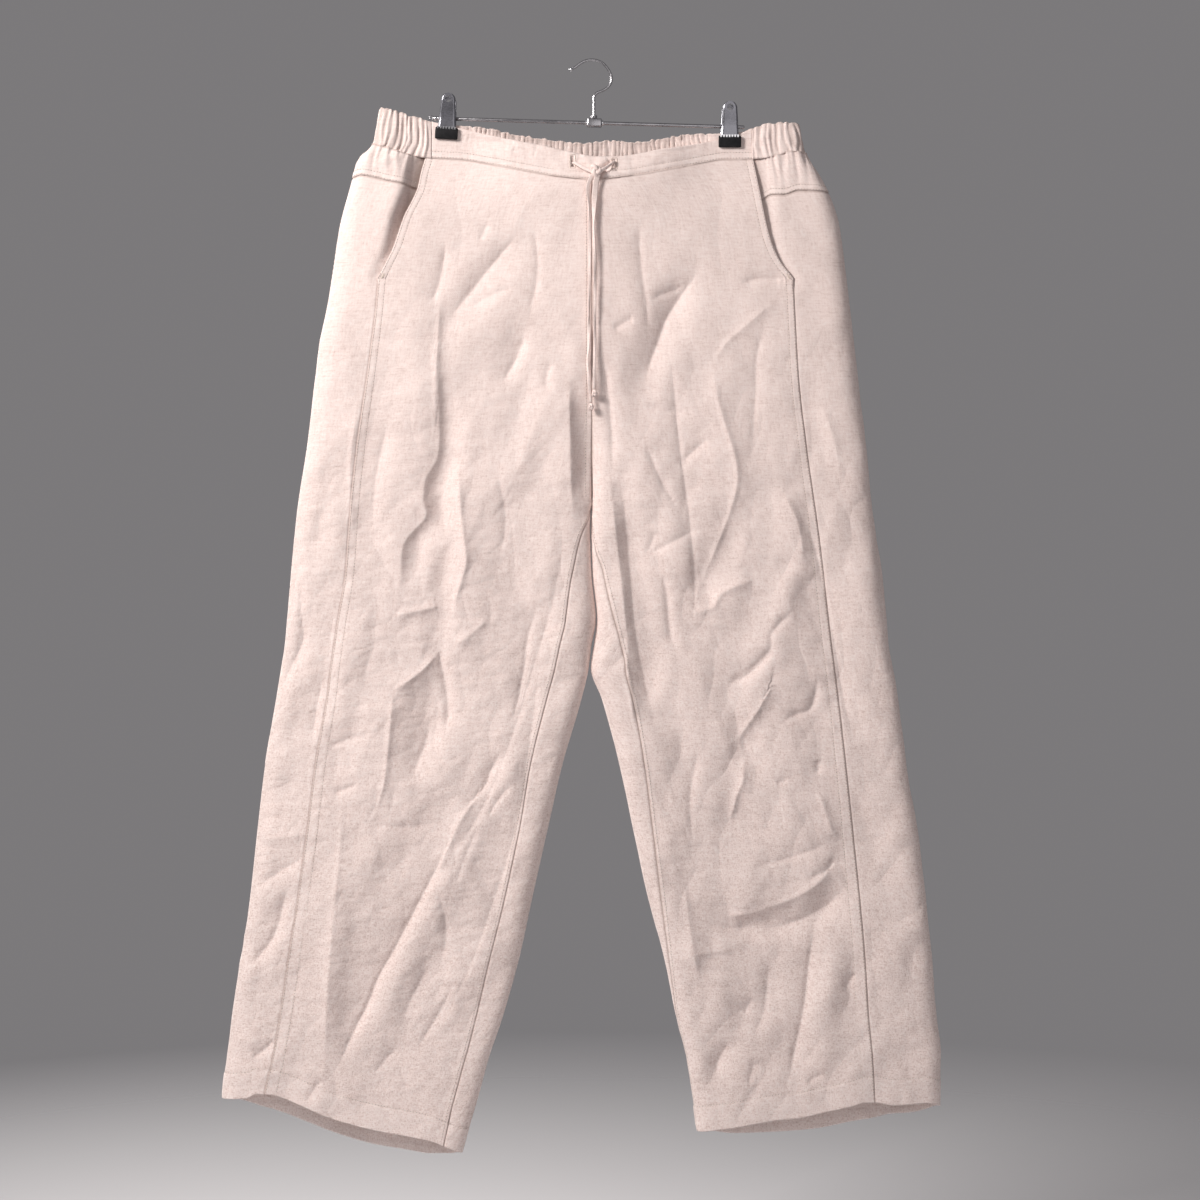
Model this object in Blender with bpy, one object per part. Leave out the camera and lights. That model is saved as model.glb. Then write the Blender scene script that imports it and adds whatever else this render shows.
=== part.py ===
"""Linen drawstring trousers that hang by the waistband from a steel hanger with two clips.

Units are metres, +Z is up and the front of the trousers faces -Y. The origin is the point
where the hanger's hook bears on whatever it hangs from. "Left" and "right" are those of
someone who looks at the front.

Each half of the trousers is a flattened tube. A place on it is given by its level (height)
and by how far it lies round from the outer fold edge: above zero on the front, below zero
on the back. Panels are walls of cloth over a stretch of that tube.
"""

import math

import bmesh
import bpy
import numpy as np
from mathutils import Matrix, Vector

# ---------------------------------------------------------------- driving dimensions

CLOTH = 0.0012          # wall of one layer of linen
DOUBLED = 0.0018        # wall of the waistband and of the elastic casing
SEAM_GAP = 0.0003       # space between two pieces at a seam
INSEAM_GAP = 0.0006     # the same at the inseams, which turn round the leg's inner edge

POCKET_FOOT = -0.231    # level of the lower end of the pocket mouths
CROTCH = -0.463         # level where the two legs part
HEM_ZONE = -1.030       # below this level the rows of a leg follow the slope of its hem
DIP_START = -0.360      # the centre seams start to sink inwards here, down to the crotch

TOP_GUESS = -0.110      # about where the upper seams, the hip seams and the hems lie
HIP_GUESS = -0.140
HEM_GUESS = -1.100
BAND_GUESS = -0.085

EDGE_REACH = 1.5        # a fold edge rounds off over this many depths across the leg
EDGE_ARC = 1.983        # length round that edge, in depths: a quarter of a 1.5 by 1 ellipse
DIP_REACH = 2.2         # the groove along the centre seams is this many depths wide each way
CENTRE_HALF_GAP = 0.0009    # half the space between front and back cloth at the crotch
CENTRE_FLAT = 0.001     # the centre seams' edges face straight out over this distance
SECTION_STEP = 0.0004   # either side of a place, to find which way the cloth faces
LINE_ROUNDS = 6         # rounds in which a column's level settles on a line across the cloth

CLIP_CENTRES = (-0.1523, 0.1452)    # where the clips pinch the waistband
PINCH_HALF = 0.0013     # from the middle plane to the middle of each pinched layer
PINCH_FLAT = 0.014      # the cloth is flat this far to each side of a clip's centre
PINCH_FADE = 0.075      # and free of the pinch at this distance
PINCH_FOOT = -0.085     # the pinch holds down to this level
PINCH_DROP = 0.080      # and fades out over this drop below it

BAND_JOIN = 0.169       # the flat front band meets the elastic casing here, on both sides
BULGE_HALF = 0.155      # half the width over which the front bows out between the clips

# One row for each level. "outer" and "inner" are the fold edges, "side_seam" the seam in
# front of the outer edge, all measured out from the middle. "inseam_wrap" is how far the
# back panel comes round the inner edge on to the front, and "depth" is half the thickness.
LEG_COLUMNS = ("level", "outer", "side_seam", "inner", "inseam_wrap", "depth")
LEG_ROWS = {
    "left": (
        (-0.050, 0.2240, 0.2230, 0.0000, 0.000, 0.0080),
        (-0.088, 0.2310, 0.2230, 0.0000, 0.000, 0.0085),
        (-0.101, 0.2430, 0.2230, 0.0000, 0.000, 0.0090),
        (-0.112, 0.2495, 0.2230, 0.0000, 0.000, 0.0095),
        (-0.125, 0.2525, 0.2230, 0.0000, 0.000, 0.0100),
        (-0.147, 0.2585, 0.2230, 0.0000, 0.000, 0.0120),
        (-0.172, 0.2650, 0.2230, 0.0000, 0.000, 0.0130),
        (-0.205, 0.2705, 0.2230, 0.0000, 0.000, 0.0140),
        (-0.256, 0.2780, 0.2263, 0.0000, 0.000, 0.0150),
        (-0.331, 0.2910, 0.2358, 0.0000, 0.000, 0.0150),
        (-0.406, 0.3000, 0.2468, 0.0000, 0.000, 0.0145),
        (-0.463, 0.3090, 0.2533, 0.0000, 0.000, 0.0140),
        (-0.480, 0.3112, 0.2546, 0.0030, 0.006, 0.0139),
        (-0.500, 0.3133, 0.2562, 0.0042, 0.015, 0.0138),
        (-0.540, 0.3170, 0.2593, 0.0028, 0.0245, 0.0135),
        (-0.590, 0.3213, 0.2677, -0.0030, 0.037, 0.0130),
        (-0.615, 0.3235, 0.2715, 0.0008, 0.039, 0.0130),
        (-0.640, 0.3274, 0.2750, 0.0040, 0.041, 0.0128),
        (-0.674, 0.3329, 0.2794, 0.0120, 0.042, 0.0126),
        (-0.742, 0.3444, 0.2909, 0.0317, 0.039, 0.0125),
        (-0.810, 0.3523, 0.2993, 0.0473, 0.035, 0.0124),
        (-0.881, 0.3601, 0.3091, 0.0632, 0.034, 0.0122),
        (-0.946, 0.3690, 0.3191, 0.0772, 0.036, 0.0120),
        (-1.010, 0.3791, 0.3287, 0.0953, 0.033, 0.0120),
        (-1.052, 0.3849, 0.3361, 0.1094, 0.030, 0.0120),
        (-1.092, 0.3896, 0.3444, 0.1204, 0.030, 0.0120),
        (-1.151, 0.3900, 0.3470, 0.1375, 0.026, 0.0120),
    ),
    "right": (
        (-0.050, 0.2160, 0.2100, 0.0000, 0.000, 0.0080),
        (-0.088, 0.2220, 0.2100, 0.0000, 0.000, 0.0085),
        (-0.101, 0.2262, 0.2100, 0.0000, 0.000, 0.0090),
        (-0.112, 0.2337, 0.2100, 0.0000, 0.000, 0.0095),
        (-0.125, 0.2418, 0.2100, 0.0000, 0.000, 0.0100),
        (-0.147, 0.2524, 0.2100, 0.0000, 0.000, 0.0120),
        (-0.172, 0.2601, 0.2100, 0.0000, 0.000, 0.0130),
        (-0.205, 0.2649, 0.2100, 0.0000, 0.000, 0.0140),
        (-0.256, 0.2710, 0.2125, 0.0000, 0.000, 0.0150),
        (-0.331, 0.2798, 0.2166, 0.0000, 0.000, 0.0150),
        (-0.406, 0.2873, 0.2251, 0.0000, 0.000, 0.0145),
        (-0.463, 0.2924, 0.2330, 0.0000, 0.000, 0.0140),
        (-0.500, 0.2987, 0.2380, 0.0018, 0.006, 0.0138),
        (-0.540, 0.3055, 0.2431, 0.0028, 0.017, 0.0135),
        (-0.590, 0.3097, 0.2490, 0.0062, 0.024, 0.0130),
        (-0.615, 0.3118, 0.2519, 0.0025, 0.034, 0.0130),
        (-0.640, 0.3163, 0.2551, -0.0008, 0.042, 0.0128),
        (-0.674, 0.3224, 0.2594, 0.0112, 0.038, 0.0126),
        (-0.742, 0.3303, 0.2666, 0.0293, 0.032, 0.0125),
        (-0.810, 0.3418, 0.2740, 0.0438, 0.026, 0.0124),
        (-0.881, 0.3501, 0.2812, 0.0591, 0.020, 0.0122),
        (-0.946, 0.3570, 0.2868, 0.0766, 0.012, 0.0120),
        (-1.010, 0.3633, 0.2910, 0.0897, 0.005, 0.0120),
        (-1.052, 0.3670, 0.2949, 0.1004, 0.002, 0.0120),
        (-1.151, 0.3660, 0.2995, 0.1140, 0.001, 0.0120),
    ),
}

# The slanted pocket mouths: how far out the front panel's edge lies at each level.
MOUTH_COLUMNS = ("level", "across")
MOUTH_ROWS = {
    "left": ((-0.100, 0.1750), (-0.118, 0.1800), (-0.136, 0.1835), (-0.150, 0.1890),
             (-0.166, 0.1970), (-0.185, 0.2035), (-0.197, 0.2075), (-0.214, 0.2155),
             (-0.231, 0.2240)),
    "right": ((-0.100, 0.1690), (-0.131, 0.1750), (-0.161, 0.1805), (-0.189, 0.1870),
              (-0.211, 0.1960), (-0.231, 0.2115)),
}

# Level lines across the whole garment: the upper edge of the casing all round, the upper
# edge of the flat front band, and the waist seam under both.
LINE_COLUMNS = ("x", "level")
CASING_TOP = ((-0.228, -0.0495), (-0.209, -0.0530), (-0.191, -0.0590), (-0.165, -0.0648),
              (-0.142, -0.0675), (-0.122, -0.0690), (-0.098, -0.0725), (-0.077, -0.0770),
              (-0.052, -0.0795), (-0.013, -0.0850), (0.018, -0.0825), (0.040, -0.0830),
              (0.067, -0.0815), (0.088, -0.0780), (0.109, -0.0765), (0.133, -0.0760),
              (0.156, -0.0745), (0.172, -0.0705), (0.189, -0.0670), (0.207, -0.0660),
              (0.224, -0.0685))
BAND_TOP = ((-0.169, -0.0640), (-0.142, -0.0705), (-0.097, -0.0815), (-0.052, -0.0910),
            (-0.021, -0.0985), (0.005, -0.1030), (0.029, -0.1025), (0.071, -0.0950),
            (0.113, -0.0875), (0.150, -0.0790), (0.169, -0.0715))
WAIST_SEAM = ((-0.232, -0.0880), (-0.212, -0.0940), (-0.195, -0.0995), (-0.176, -0.1025),
              (-0.139, -0.1045), (-0.104, -0.1110), (-0.069, -0.1185), (-0.035, -0.1250),
              (0.000, -0.1280), (0.041, -0.1240), (0.085, -0.1155), (0.120, -0.1075),
              (0.138, -0.1045), (0.168, -0.1040), (0.184, -0.1030), (0.198, -0.1000),
              (0.209, -0.0970), (0.228, -0.0980))
CASING_HEIGHT = ((-0.228, 0.037), (0.0, 0.036), (0.228, 0.030))    # on the back

# Level lines of each half, by how far out they lie: the seam between yoke and leg panel,
# and the hem, on the front and on the back.
HALF_LINE_COLUMNS = ("across", "front", "back")
HIP_SEAM = {
    "left": ((0.000, -0.1400, -0.1690), (0.150, -0.1380, -0.1540), (0.183, -0.1350, -0.1440),
             (0.196, -0.1315, -0.1400), (0.215, -0.1280, -0.1330), (0.231, -0.1240, -0.1280),
             (0.243, -0.1220, -0.1250), (0.253, -0.1240, -0.1240)),
    "right": ((0.000, -0.1500, -0.1690), (0.150, -0.1490, -0.1600), (0.180, -0.1465, -0.1550),
              (0.189, -0.1425, -0.1530), (0.201, -0.1430, -0.1500), (0.218, -0.1385, -0.1450),
              (0.235, -0.1390, -0.1410), (0.249, -0.1395, -0.1395)),
}
HEM = {
    "left": ((0.1375, -1.1510, -1.1510), (0.150, -1.1450, -1.1550), (0.170, -1.1370, -1.1550),
             (0.194, -1.1320, -1.1515), (0.231, -1.1250, -1.1450), (0.271, -1.1140, -1.1335),
             (0.299, -1.1020, -1.1225), (0.321, -1.0930, -1.1140), (0.337, -1.0880, -1.1085),
             (0.353, -1.0870, -1.1040), (0.361, -1.0910, -1.1010), (0.3899, -1.0930, -1.0930)),
    "right": ((0.112, -1.1280, -1.1280), (0.152, -1.1220, -1.1335), (0.196, -1.1150, -1.1325),
              (0.216, -1.1130, -1.1310), (0.243, -1.1070, -1.1280), (0.272, -1.1000, -1.1220),
              (0.287, -1.0960, -1.1190), (0.299, -1.0960, -1.1170), (0.316, -1.0990, -1.1130),
              (0.335, -1.0980, -1.1120), (0.351, -1.0970, -1.1090), (0.3668, -1.1015, -1.1015)),
}

# How far the front bows out between the clips, at the middle, beyond the legs' depth.
BULGE_COLUMNS = ("level", "bulge")
BULGE_ROWS = ((-0.080, 0.003), (-0.105, 0.005), (-0.128, 0.009), (-0.170, 0.007),
              (-0.230, 0.003), (-0.330, 0.0015), (-0.400, 0.000))

# Pocket mouths: how far the front panel's edge lifts and the cloth under it sinks at the
# middle of the mouth, and how far the pocket bag stands off the front panel.
MOUTH_HEAD = -0.100     # the tables of the mouths start at this level
MOUTH_ROUND = 0.6       # the smaller, the more suddenly a mouth opens from its ends
LIFT_REACH = 0.030      # the front panel's lift dies out over this distance inwards
SINK_REACH = 0.021      # the sunk cloth comes back up this far outside the mouth at its head,
SINK_FOOT_REACH = 0.012     # this far at its foot,
SINK_FADE = 0.013       # over this distance
SINK_FOOT = 0.020       # and over this drop below the mouth
UNDERLAP_FADE = 0.030   # the cloth under the mouth gets its full width over this rise
UNDERLAP = 0.025
UNDER_STOP = 0.166      # the underlap never reaches further in than this
UNDER_STEP = 0.0018
BAG_STEP = 0.0022
BAG_EDGE_GAP = 0.0020
BAG_SEAM_GAP = 0.006    # from the side seam in to the bag, below the mouth
BAG_COLUMNS = 8
BAG_LEVELS = 9
BAG_RIM_SHARE = 0.25    # of the bag's width, over which it comes away at its outer side
BAG_END_SHARE = 0.33    # and at its inner side
BAG_HEAD_GAP = 0.003    # below the waist seam
MOUTH_DEPTH = {"left": (0.0022, 0.0068), "right": (0.0016, 0.0042)}     # lift, sink
BAG_DEPTH = 0.0062
BAG_INNER = 0.072
BAG_HEAD = -0.110
BAG_FOOT = -0.305

# Folds and creases. Each row is a height (below zero for a trough), a half width, and the
# route of the fold as (x, level) places.
FRONT_FOLDS = (
    (-0.0065, 0.015, ((-0.163, -0.329), (-0.152, -0.379), (-0.150, -0.416), (-0.164, -0.451),
                      (-0.163, -0.479), (-0.183, -0.509), (-0.189, -0.547), (-0.194, -0.581))),
    (-0.0040, 0.015, ((-0.152, -0.423), (-0.154, -0.552), (-0.160, -0.621), (-0.154, -0.694))),
    (-0.0045, 0.018, ((-0.065, -0.179), (-0.130, -0.256), (-0.166, -0.293), (-0.160, -0.340))),
    (-0.0030, 0.014, ((-0.069, -0.270), (-0.098, -0.350))),
    (-0.0045, 0.015, ((-0.008, -0.350), (-0.009, -0.410), (-0.011, -0.474))),
    (0.0055, 0.018, ((-0.069, -0.686), (-0.089, -0.749), (-0.124, -0.823), (-0.168, -0.899),
                     (-0.202, -0.962), (-0.233, -1.030))),
    (-0.0045, 0.018, ((-0.170, -0.636), (-0.172, -0.705), (-0.188, -0.768))),
    (0.0040, 0.014, ((-0.260, -0.872), (-0.267, -0.915), (-0.272, -0.972), (-0.278, -1.041))),
    (-0.0050, 0.018, ((0.106, -0.225), (0.075, -0.285), (0.056, -0.331), (0.046, -0.380))),
    (-0.0050, 0.015, ((0.030, -0.440), (0.040, -0.498), (0.052, -0.560), (0.058, -0.620),
                      (0.066, -0.688))),
    (0.0045, 0.018, ((0.056, -0.406), (0.090, -0.478), (0.100, -0.560))),
    (-0.0045, 0.018, ((0.152, -0.455), (0.142, -0.504), (0.108, -0.575))),
    (0.0060, 0.018, ((0.200, -0.440), (0.220, -0.530), (0.191, -0.601), (0.176, -0.637),
                     (0.172, -0.690))),
    (-0.0050, 0.018, ((0.189, -0.665), (0.154, -0.717), (0.151, -0.753), (0.151, -0.834))),
    (-0.0065, 0.018, ((0.264, -0.845), (0.250, -0.882), (0.235, -0.900), (0.175, -0.909),
                      (0.110, -0.900))),
    (0.0050, 0.017, ((0.254, -0.920), (0.250, -0.969), (0.231, -1.072))),
    (-0.0040, 0.016, ((0.165, -0.985), (0.129, -1.068))),
)
BACK_FOLDS = (
    (-0.0050, 0.020, ((-0.040, -0.250), (-0.120, -0.330), (-0.150, -0.420))),
    (-0.0050, 0.020, ((0.045, -0.240), (0.105, -0.320), (0.150, -0.430))),
    (0.0050, 0.020, ((-0.060, -0.400), (-0.110, -0.470), (-0.150, -0.600))),
    (0.0050, 0.020, ((0.070, -0.390), (0.120, -0.500), (0.140, -0.610))),
    (-0.0050, 0.020, ((-0.200, -0.560), (-0.170, -0.650), (-0.190, -0.760))),
    (-0.0050, 0.020, ((0.200, -0.540), (0.165, -0.640), (0.185, -0.750))),
    (0.0050, 0.020, ((-0.110, -0.720), (-0.170, -0.820), (-0.200, -0.950))),
    (0.0050, 0.020, ((0.110, -0.700), (0.180, -0.830), (0.210, -0.960))),
    (-0.0045, 0.020, ((-0.290, -0.780), (-0.250, -0.880), (-0.270, -1.000))),
    (-0.0045, 0.020, ((0.290, -0.760), (0.260, -0.890), (0.270, -1.010))),
)
FOLD_TAPER = 0.22       # share of a fold's length over which each end runs out
FOLD_END = 0.25         # what is left of its height at its very ends
FOLD_FADE_START = 0.003     # folds start where the cloth is this deep, in front or behind,
FOLD_FADE_RANGE = 0.009     # and are full this much deeper

# Rows and columns of the panels' walls: columns as shares of a panel's width, rows as shares
# of the stretch above the pocket mouths' foot, as counts below it and as shares of the hem.
FRONT_SHARES = np.array((0.0, 0.1, 0.2, 0.3, 0.4, 0.5, 0.6, 0.7, 0.8, 0.89, 0.95, 1.0))
BACK_SHARES = np.array((0.0, 0.03, 0.06, 0.10, 0.15, 0.22, 0.30, 0.38, 0.46, 0.54, 0.62, 0.70,
                        0.765, 0.80, 0.835, 0.88, 0.94, 1.0))
UPPER_SHARES = (0.0, 0.25, 0.5, 0.75)
HIP_LEVELS = 7
LEG_LEVELS = 18
LEG_CLOSER = 1.25       # above 1, a leg's rows lie closer together towards the crotch
HEM_SHARES = (0.34, 0.67, 1.0)

# Gathers: the pitch of a crest and a trough, and half their height.
GATHER_SIDE_PITCH = 0.0062
GATHER_SIDE_HALF = 0.0014
GATHER_BACK_PITCH = 0.0048
GATHER_BACK_HALF = 0.0009
GATHER_FULL = (0.8, 1.0, 0.75)      # their strength at the casing's foot, middle and head
GATHER_HELD = 0.08      # what is left of them where a clip holds the casing
YOKE_GATHER_PITCH = 0.0105
YOKE_GATHER_HALF = 0.0016
YOKE_ROWS = (0.0, 0.45, 1.0)        # shares of the yoke's height, from its foot
YOKE_GATHER_FOOT = 0.1  # what is left of the yoke's gathers at its foot
YOKE_GATHER_HELD = 0.15     # and under a clip
YOKE_FLAT = 0.020       # the yoke is flat this far outside the pocket mouth
YOKE_FLAT_FADE = 0.015
YOKE_LEVEL = -0.115     # its length and its gathers are counted at this level

# Drawstring.
TIE_RADIUS = 0.0022
TIE_STEP = 0.011
BUTTONHOLES = ((-0.0236, -0.0155), (0.0190, 0.0272))    # from and to, across the front band
BUTTONHOLE_FOOT = 0.40      # lower and upper end, as shares of the band's height
BUTTONHOLE_HEAD = 0.90
BAND_STOPS = 10         # columns of the front band on each side of its buttonholes
BAND_INNER = (-0.030, 0.034)
BAND_MIDDLE = (-0.008, 0.004, 0.014)
KNOT_CENTRE = (0.0042, -0.0241, -0.1200)
KNOT_HALF = (0.0072, 0.0046, 0.0074)
TIE_ROUTES = {
    "tie_run_left": ((-0.0200, -0.0148, -0.1096), (-0.0186, -0.0186, -0.1104),
                     (-0.0138, -0.0214, -0.1134), (-0.0080, -0.0230, -0.1172),
                     (-0.0035, -0.0236, -0.1192)),
    "tie_run_right": ((0.0236, -0.0148, -0.1098), (0.0226, -0.0184, -0.1104),
                      (0.0196, -0.0208, -0.1128), (0.0158, -0.0226, -0.1160),
                      (0.0120, -0.0236, -0.1182)),
    "tie_end_left": ((-0.0010, -0.0248, -0.1272), (-0.0052, -0.0244, -0.1380),
                     (-0.0040, -0.0244, -0.1580), (-0.0038, -0.0240, -0.1960),
                     (-0.0040, -0.0228, -0.2340), (-0.0050, -0.0220, -0.2700),
                     (-0.0058, -0.0214, -0.3050), (-0.0078, -0.0210, -0.3180),
                     (-0.0048, -0.0206, -0.3420), (-0.0020, -0.0200, -0.3620)),
    "tie_end_right": ((0.0050, -0.0252, -0.1284), (0.0040, -0.0250, -0.1430),
                      (0.0028, -0.0248, -0.1770), (0.0044, -0.0242, -0.2150),
                      (0.0048, -0.0230, -0.2540), (0.0046, -0.0222, -0.2900),
                      (0.0040, -0.0216, -0.3200), (0.0032, -0.0212, -0.3480)),
}
TIP_CENTRES = {
    "tie_tip_left": (-0.0010, -0.0198, -0.3664),
    "tie_tip_right": (0.0026, -0.0210, -0.3524),
}
TIP_HALF = (0.0032, 0.0028, 0.0044)

# Hanger.
BAR_RADIUS = 0.0020
BAR_ENDS = ((-0.168, -0.0602), (0.161, -0.0697))     # (x, level) of the bar's two ends
CLAMP_CENTRE_X = 0.0025
CLAMP_SIZE = (0.0155, 0.0088, 0.0088)
CLAMP_BEVEL = 0.0012
COLLAR_GAP = 0.0005
BORE_RADIUS = 0.0023
COLLAR_RADIUS = 0.0034
COLLAR_HEIGHT = 0.0030
WIRE_RADIUS = 0.0014
WIRE_STEP = 0.0034
HOOK_ROUTE = ((0.0021, -0.0530), (0.0021, -0.0440), (0.0022, -0.0375), (0.0050, -0.0335),
              (0.0110, -0.0310), (0.0170, -0.0270), (0.0204, -0.0210), (0.0200, -0.0145),
              (0.0160, -0.0070), (0.0100, -0.0012), (0.0020, 0.0014), (-0.0060, 0.0008),
              (-0.0120, -0.0020), (-0.0170, -0.0058), (-0.0200, -0.0076))
HOOK_TIP_RADIUS = 0.0023
CLIP_TILTS = (3.7, 0.0)     # degrees, the left clip and the right clip
CLIP_TOP = 0.0256           # above the bar
PAD_TOP = -0.0104
PAD_FOOT = -0.0224
PAD_HALF_WIDTH = 0.0119
PAD_DEPTH = 0.0036
PAD_FACE = 0.0026           # from the middle plane to the pad's gripping face
PAD_BEVEL = 0.0010
PLATE = 0.0010
PLATE_COLUMNS = ("rise", "half_width", "stand_off")
PLATE_ROWS = ((-0.0101, 0.0095, 0.0046), (-0.0040, 0.0090, 0.0049), (0.0000, 0.0087, 0.0052),
              (0.0060, 0.0085, 0.0064), (0.0120, 0.0080, 0.0078), (0.0175, 0.0076, 0.0090))
PLATE_HEAD = 0.0180         # the plate's rounded top is centred at this rise
PLATE_HEAD_STAND_OFF = 0.0094
PLATE_HEAD_DEGREES = (15, 30, 45, 60, 75, 86)
PLATE_ACROSS = (-1.0, -0.4, 0.4, 1.0)       # columns of a plate, as shares of its half width
PLATE_HOLE_RADIUS = 0.0034
PLATE_HOLE_RISE = 0.0192
PLATE_HOLE_SPAN = (0.004, 0.016)    # how far out the hole's cutter starts and ends
BORE_OVERRUN = 0.02
BARREL_RADIUS = 0.0043
BARREL_HALF_LENGTH = 0.0062

SHARP_EDGE = 50         # degrees: a sharper edge than this is shaded as one

# ---------------------------------------------------------------- materials

LINEN = ("linen", (0.79, 0.70, 0.62), 0.9, 0.0)
CASING_LINEN = ("gathered_linen", (0.80, 0.71, 0.63), 0.9, 0.0)
TIE_LINEN = ("tie_linen", (0.82, 0.73, 0.66), 0.88, 0.0)
STEEL = ("polished_steel", (0.42, 0.41, 0.43), 0.25, 1.0)
CLIP_STEEL = ("clip_steel", (0.30, 0.30, 0.32), 0.32, 1.0)
RUBBER = ("black_rubber", (0.01, 0.01, 0.012), 0.6, 0.0)


def material(kind, piece_name):
    """Make a piece's own Principled material from a (name, colour, roughness, metallic) row."""
    name, colour, roughness, metallic = kind
    made = bpy.data.materials.new(name + "_" + piece_name)
    made.use_nodes = True
    shader = made.node_tree.nodes["Principled BSDF"]
    shader.inputs["Base Color"].default_value = (*colour, 1.0)
    shader.inputs["Roughness"].default_value = roughness
    shader.inputs["Metallic"].default_value = metallic
    made.diffuse_color = (*colour, 1.0)
    return made


# ---------------------------------------------------------------- tables and curves

def curve(columns, rows, name):
    """Return a smooth function of a table's first column that never overshoots its rows."""
    ordered = sorted(rows)
    at = np.array([row[0] for row in ordered])
    value = np.array([row[columns.index(name)] for row in ordered])
    rise = np.diff(value) / np.diff(at)
    slope = np.concatenate((rise[:1], np.zeros(len(at) - 2), rise[-1:]))
    for i in range(1, len(at) - 1):
        before, after = rise[i - 1], rise[i]
        if before * after > 0:
            slope[i] = 2 * before * after / (before + after)

    def read(place):
        place = np.clip(place, at[0], at[-1])
        i = np.clip(np.searchsorted(at, place) - 1, 0, len(at) - 2)
        width = at[i + 1] - at[i]
        t = (place - at[i]) / width
        ends = value[i] * (1 + 2 * t) * (1 - t) ** 2 + value[i + 1] * t * t * (3 - 2 * t)
        return ends + width * t * (1 - t) * (slope[i] * (1 - t) - slope[i + 1] * t)

    return read


def ease(share):
    """Rise smoothly from 0 to 1."""
    share = np.clip(share, 0.0, 1.0)
    return share * share * (3 - 2 * share)


def fold_relief(x, level, folds):
    """Sum of soft troughs and ridges along their routes."""
    total = np.zeros(np.broadcast(x, level).shape)
    for height, half_width, route in folds:
        places = np.array(route)
        steps = np.diff(places, axis=0)
        lengths = np.hypot(steps[:, 0], steps[:, 1])
        run = np.concatenate(([0.0], np.cumsum(lengths)))
        nearest = np.full(total.shape, 1.0)
        share = np.zeros(total.shape)
        for start, step, length, before in zip(places, steps, lengths, run):
            along = ((x - start[0]) * step[0] + (level - start[1]) * step[1]) / length ** 2
            along = np.clip(along, 0.0, 1.0)
            away = np.hypot(x - start[0] - along * step[0], level - start[1] - along * step[1])
            closer = away < nearest
            nearest = np.where(closer, away, nearest)
            share = np.where(closer, (before + along * length) / run[-1], share)
        ends = ease(np.minimum(share, 1 - share) / FOLD_TAPER)
        height = height * (FOLD_END + (1 - FOLD_END) * ends)
        total += height * np.exp(-(nearest / half_width) ** 2)
    return total


casing_top = curve(LINE_COLUMNS, CASING_TOP, "level")
band_top = curve(LINE_COLUMNS, BAND_TOP, "level")
waist_seam = curve(LINE_COLUMNS, WAIST_SEAM, "level")
casing_height = curve(LINE_COLUMNS, CASING_HEIGHT, "level")
bulge = curve(BULGE_COLUMNS, BULGE_ROWS, "bulge")


def pinch(x, level):
    """1 where a clip holds the two layers together, 0 where they hang free."""
    held = 1 - ease((PINCH_FOOT - level) / PINCH_DROP)
    near = 0.0
    for centre in CLIP_CENTRES:
        away = (np.abs(x - centre) - PINCH_FLAT) / (PINCH_FADE - PINCH_FLAT)
        near = np.maximum(near, 1 - ease(away))
    return held * near


def swell(face, x, level, depth):
    """How much further out than its depth the cloth stands at a place."""
    middle = np.clip(1 - (x / BULGE_HALF) ** 2, 0.0, 1.0) ** 2
    bowed = np.where(face > 0, bulge(level) * middle, 0.0)
    held = pinch(x, level)
    return bowed * (1 - held) - (depth - PINCH_HALF) * held


# ---------------------------------------------------------------- the tube of each half

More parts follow.
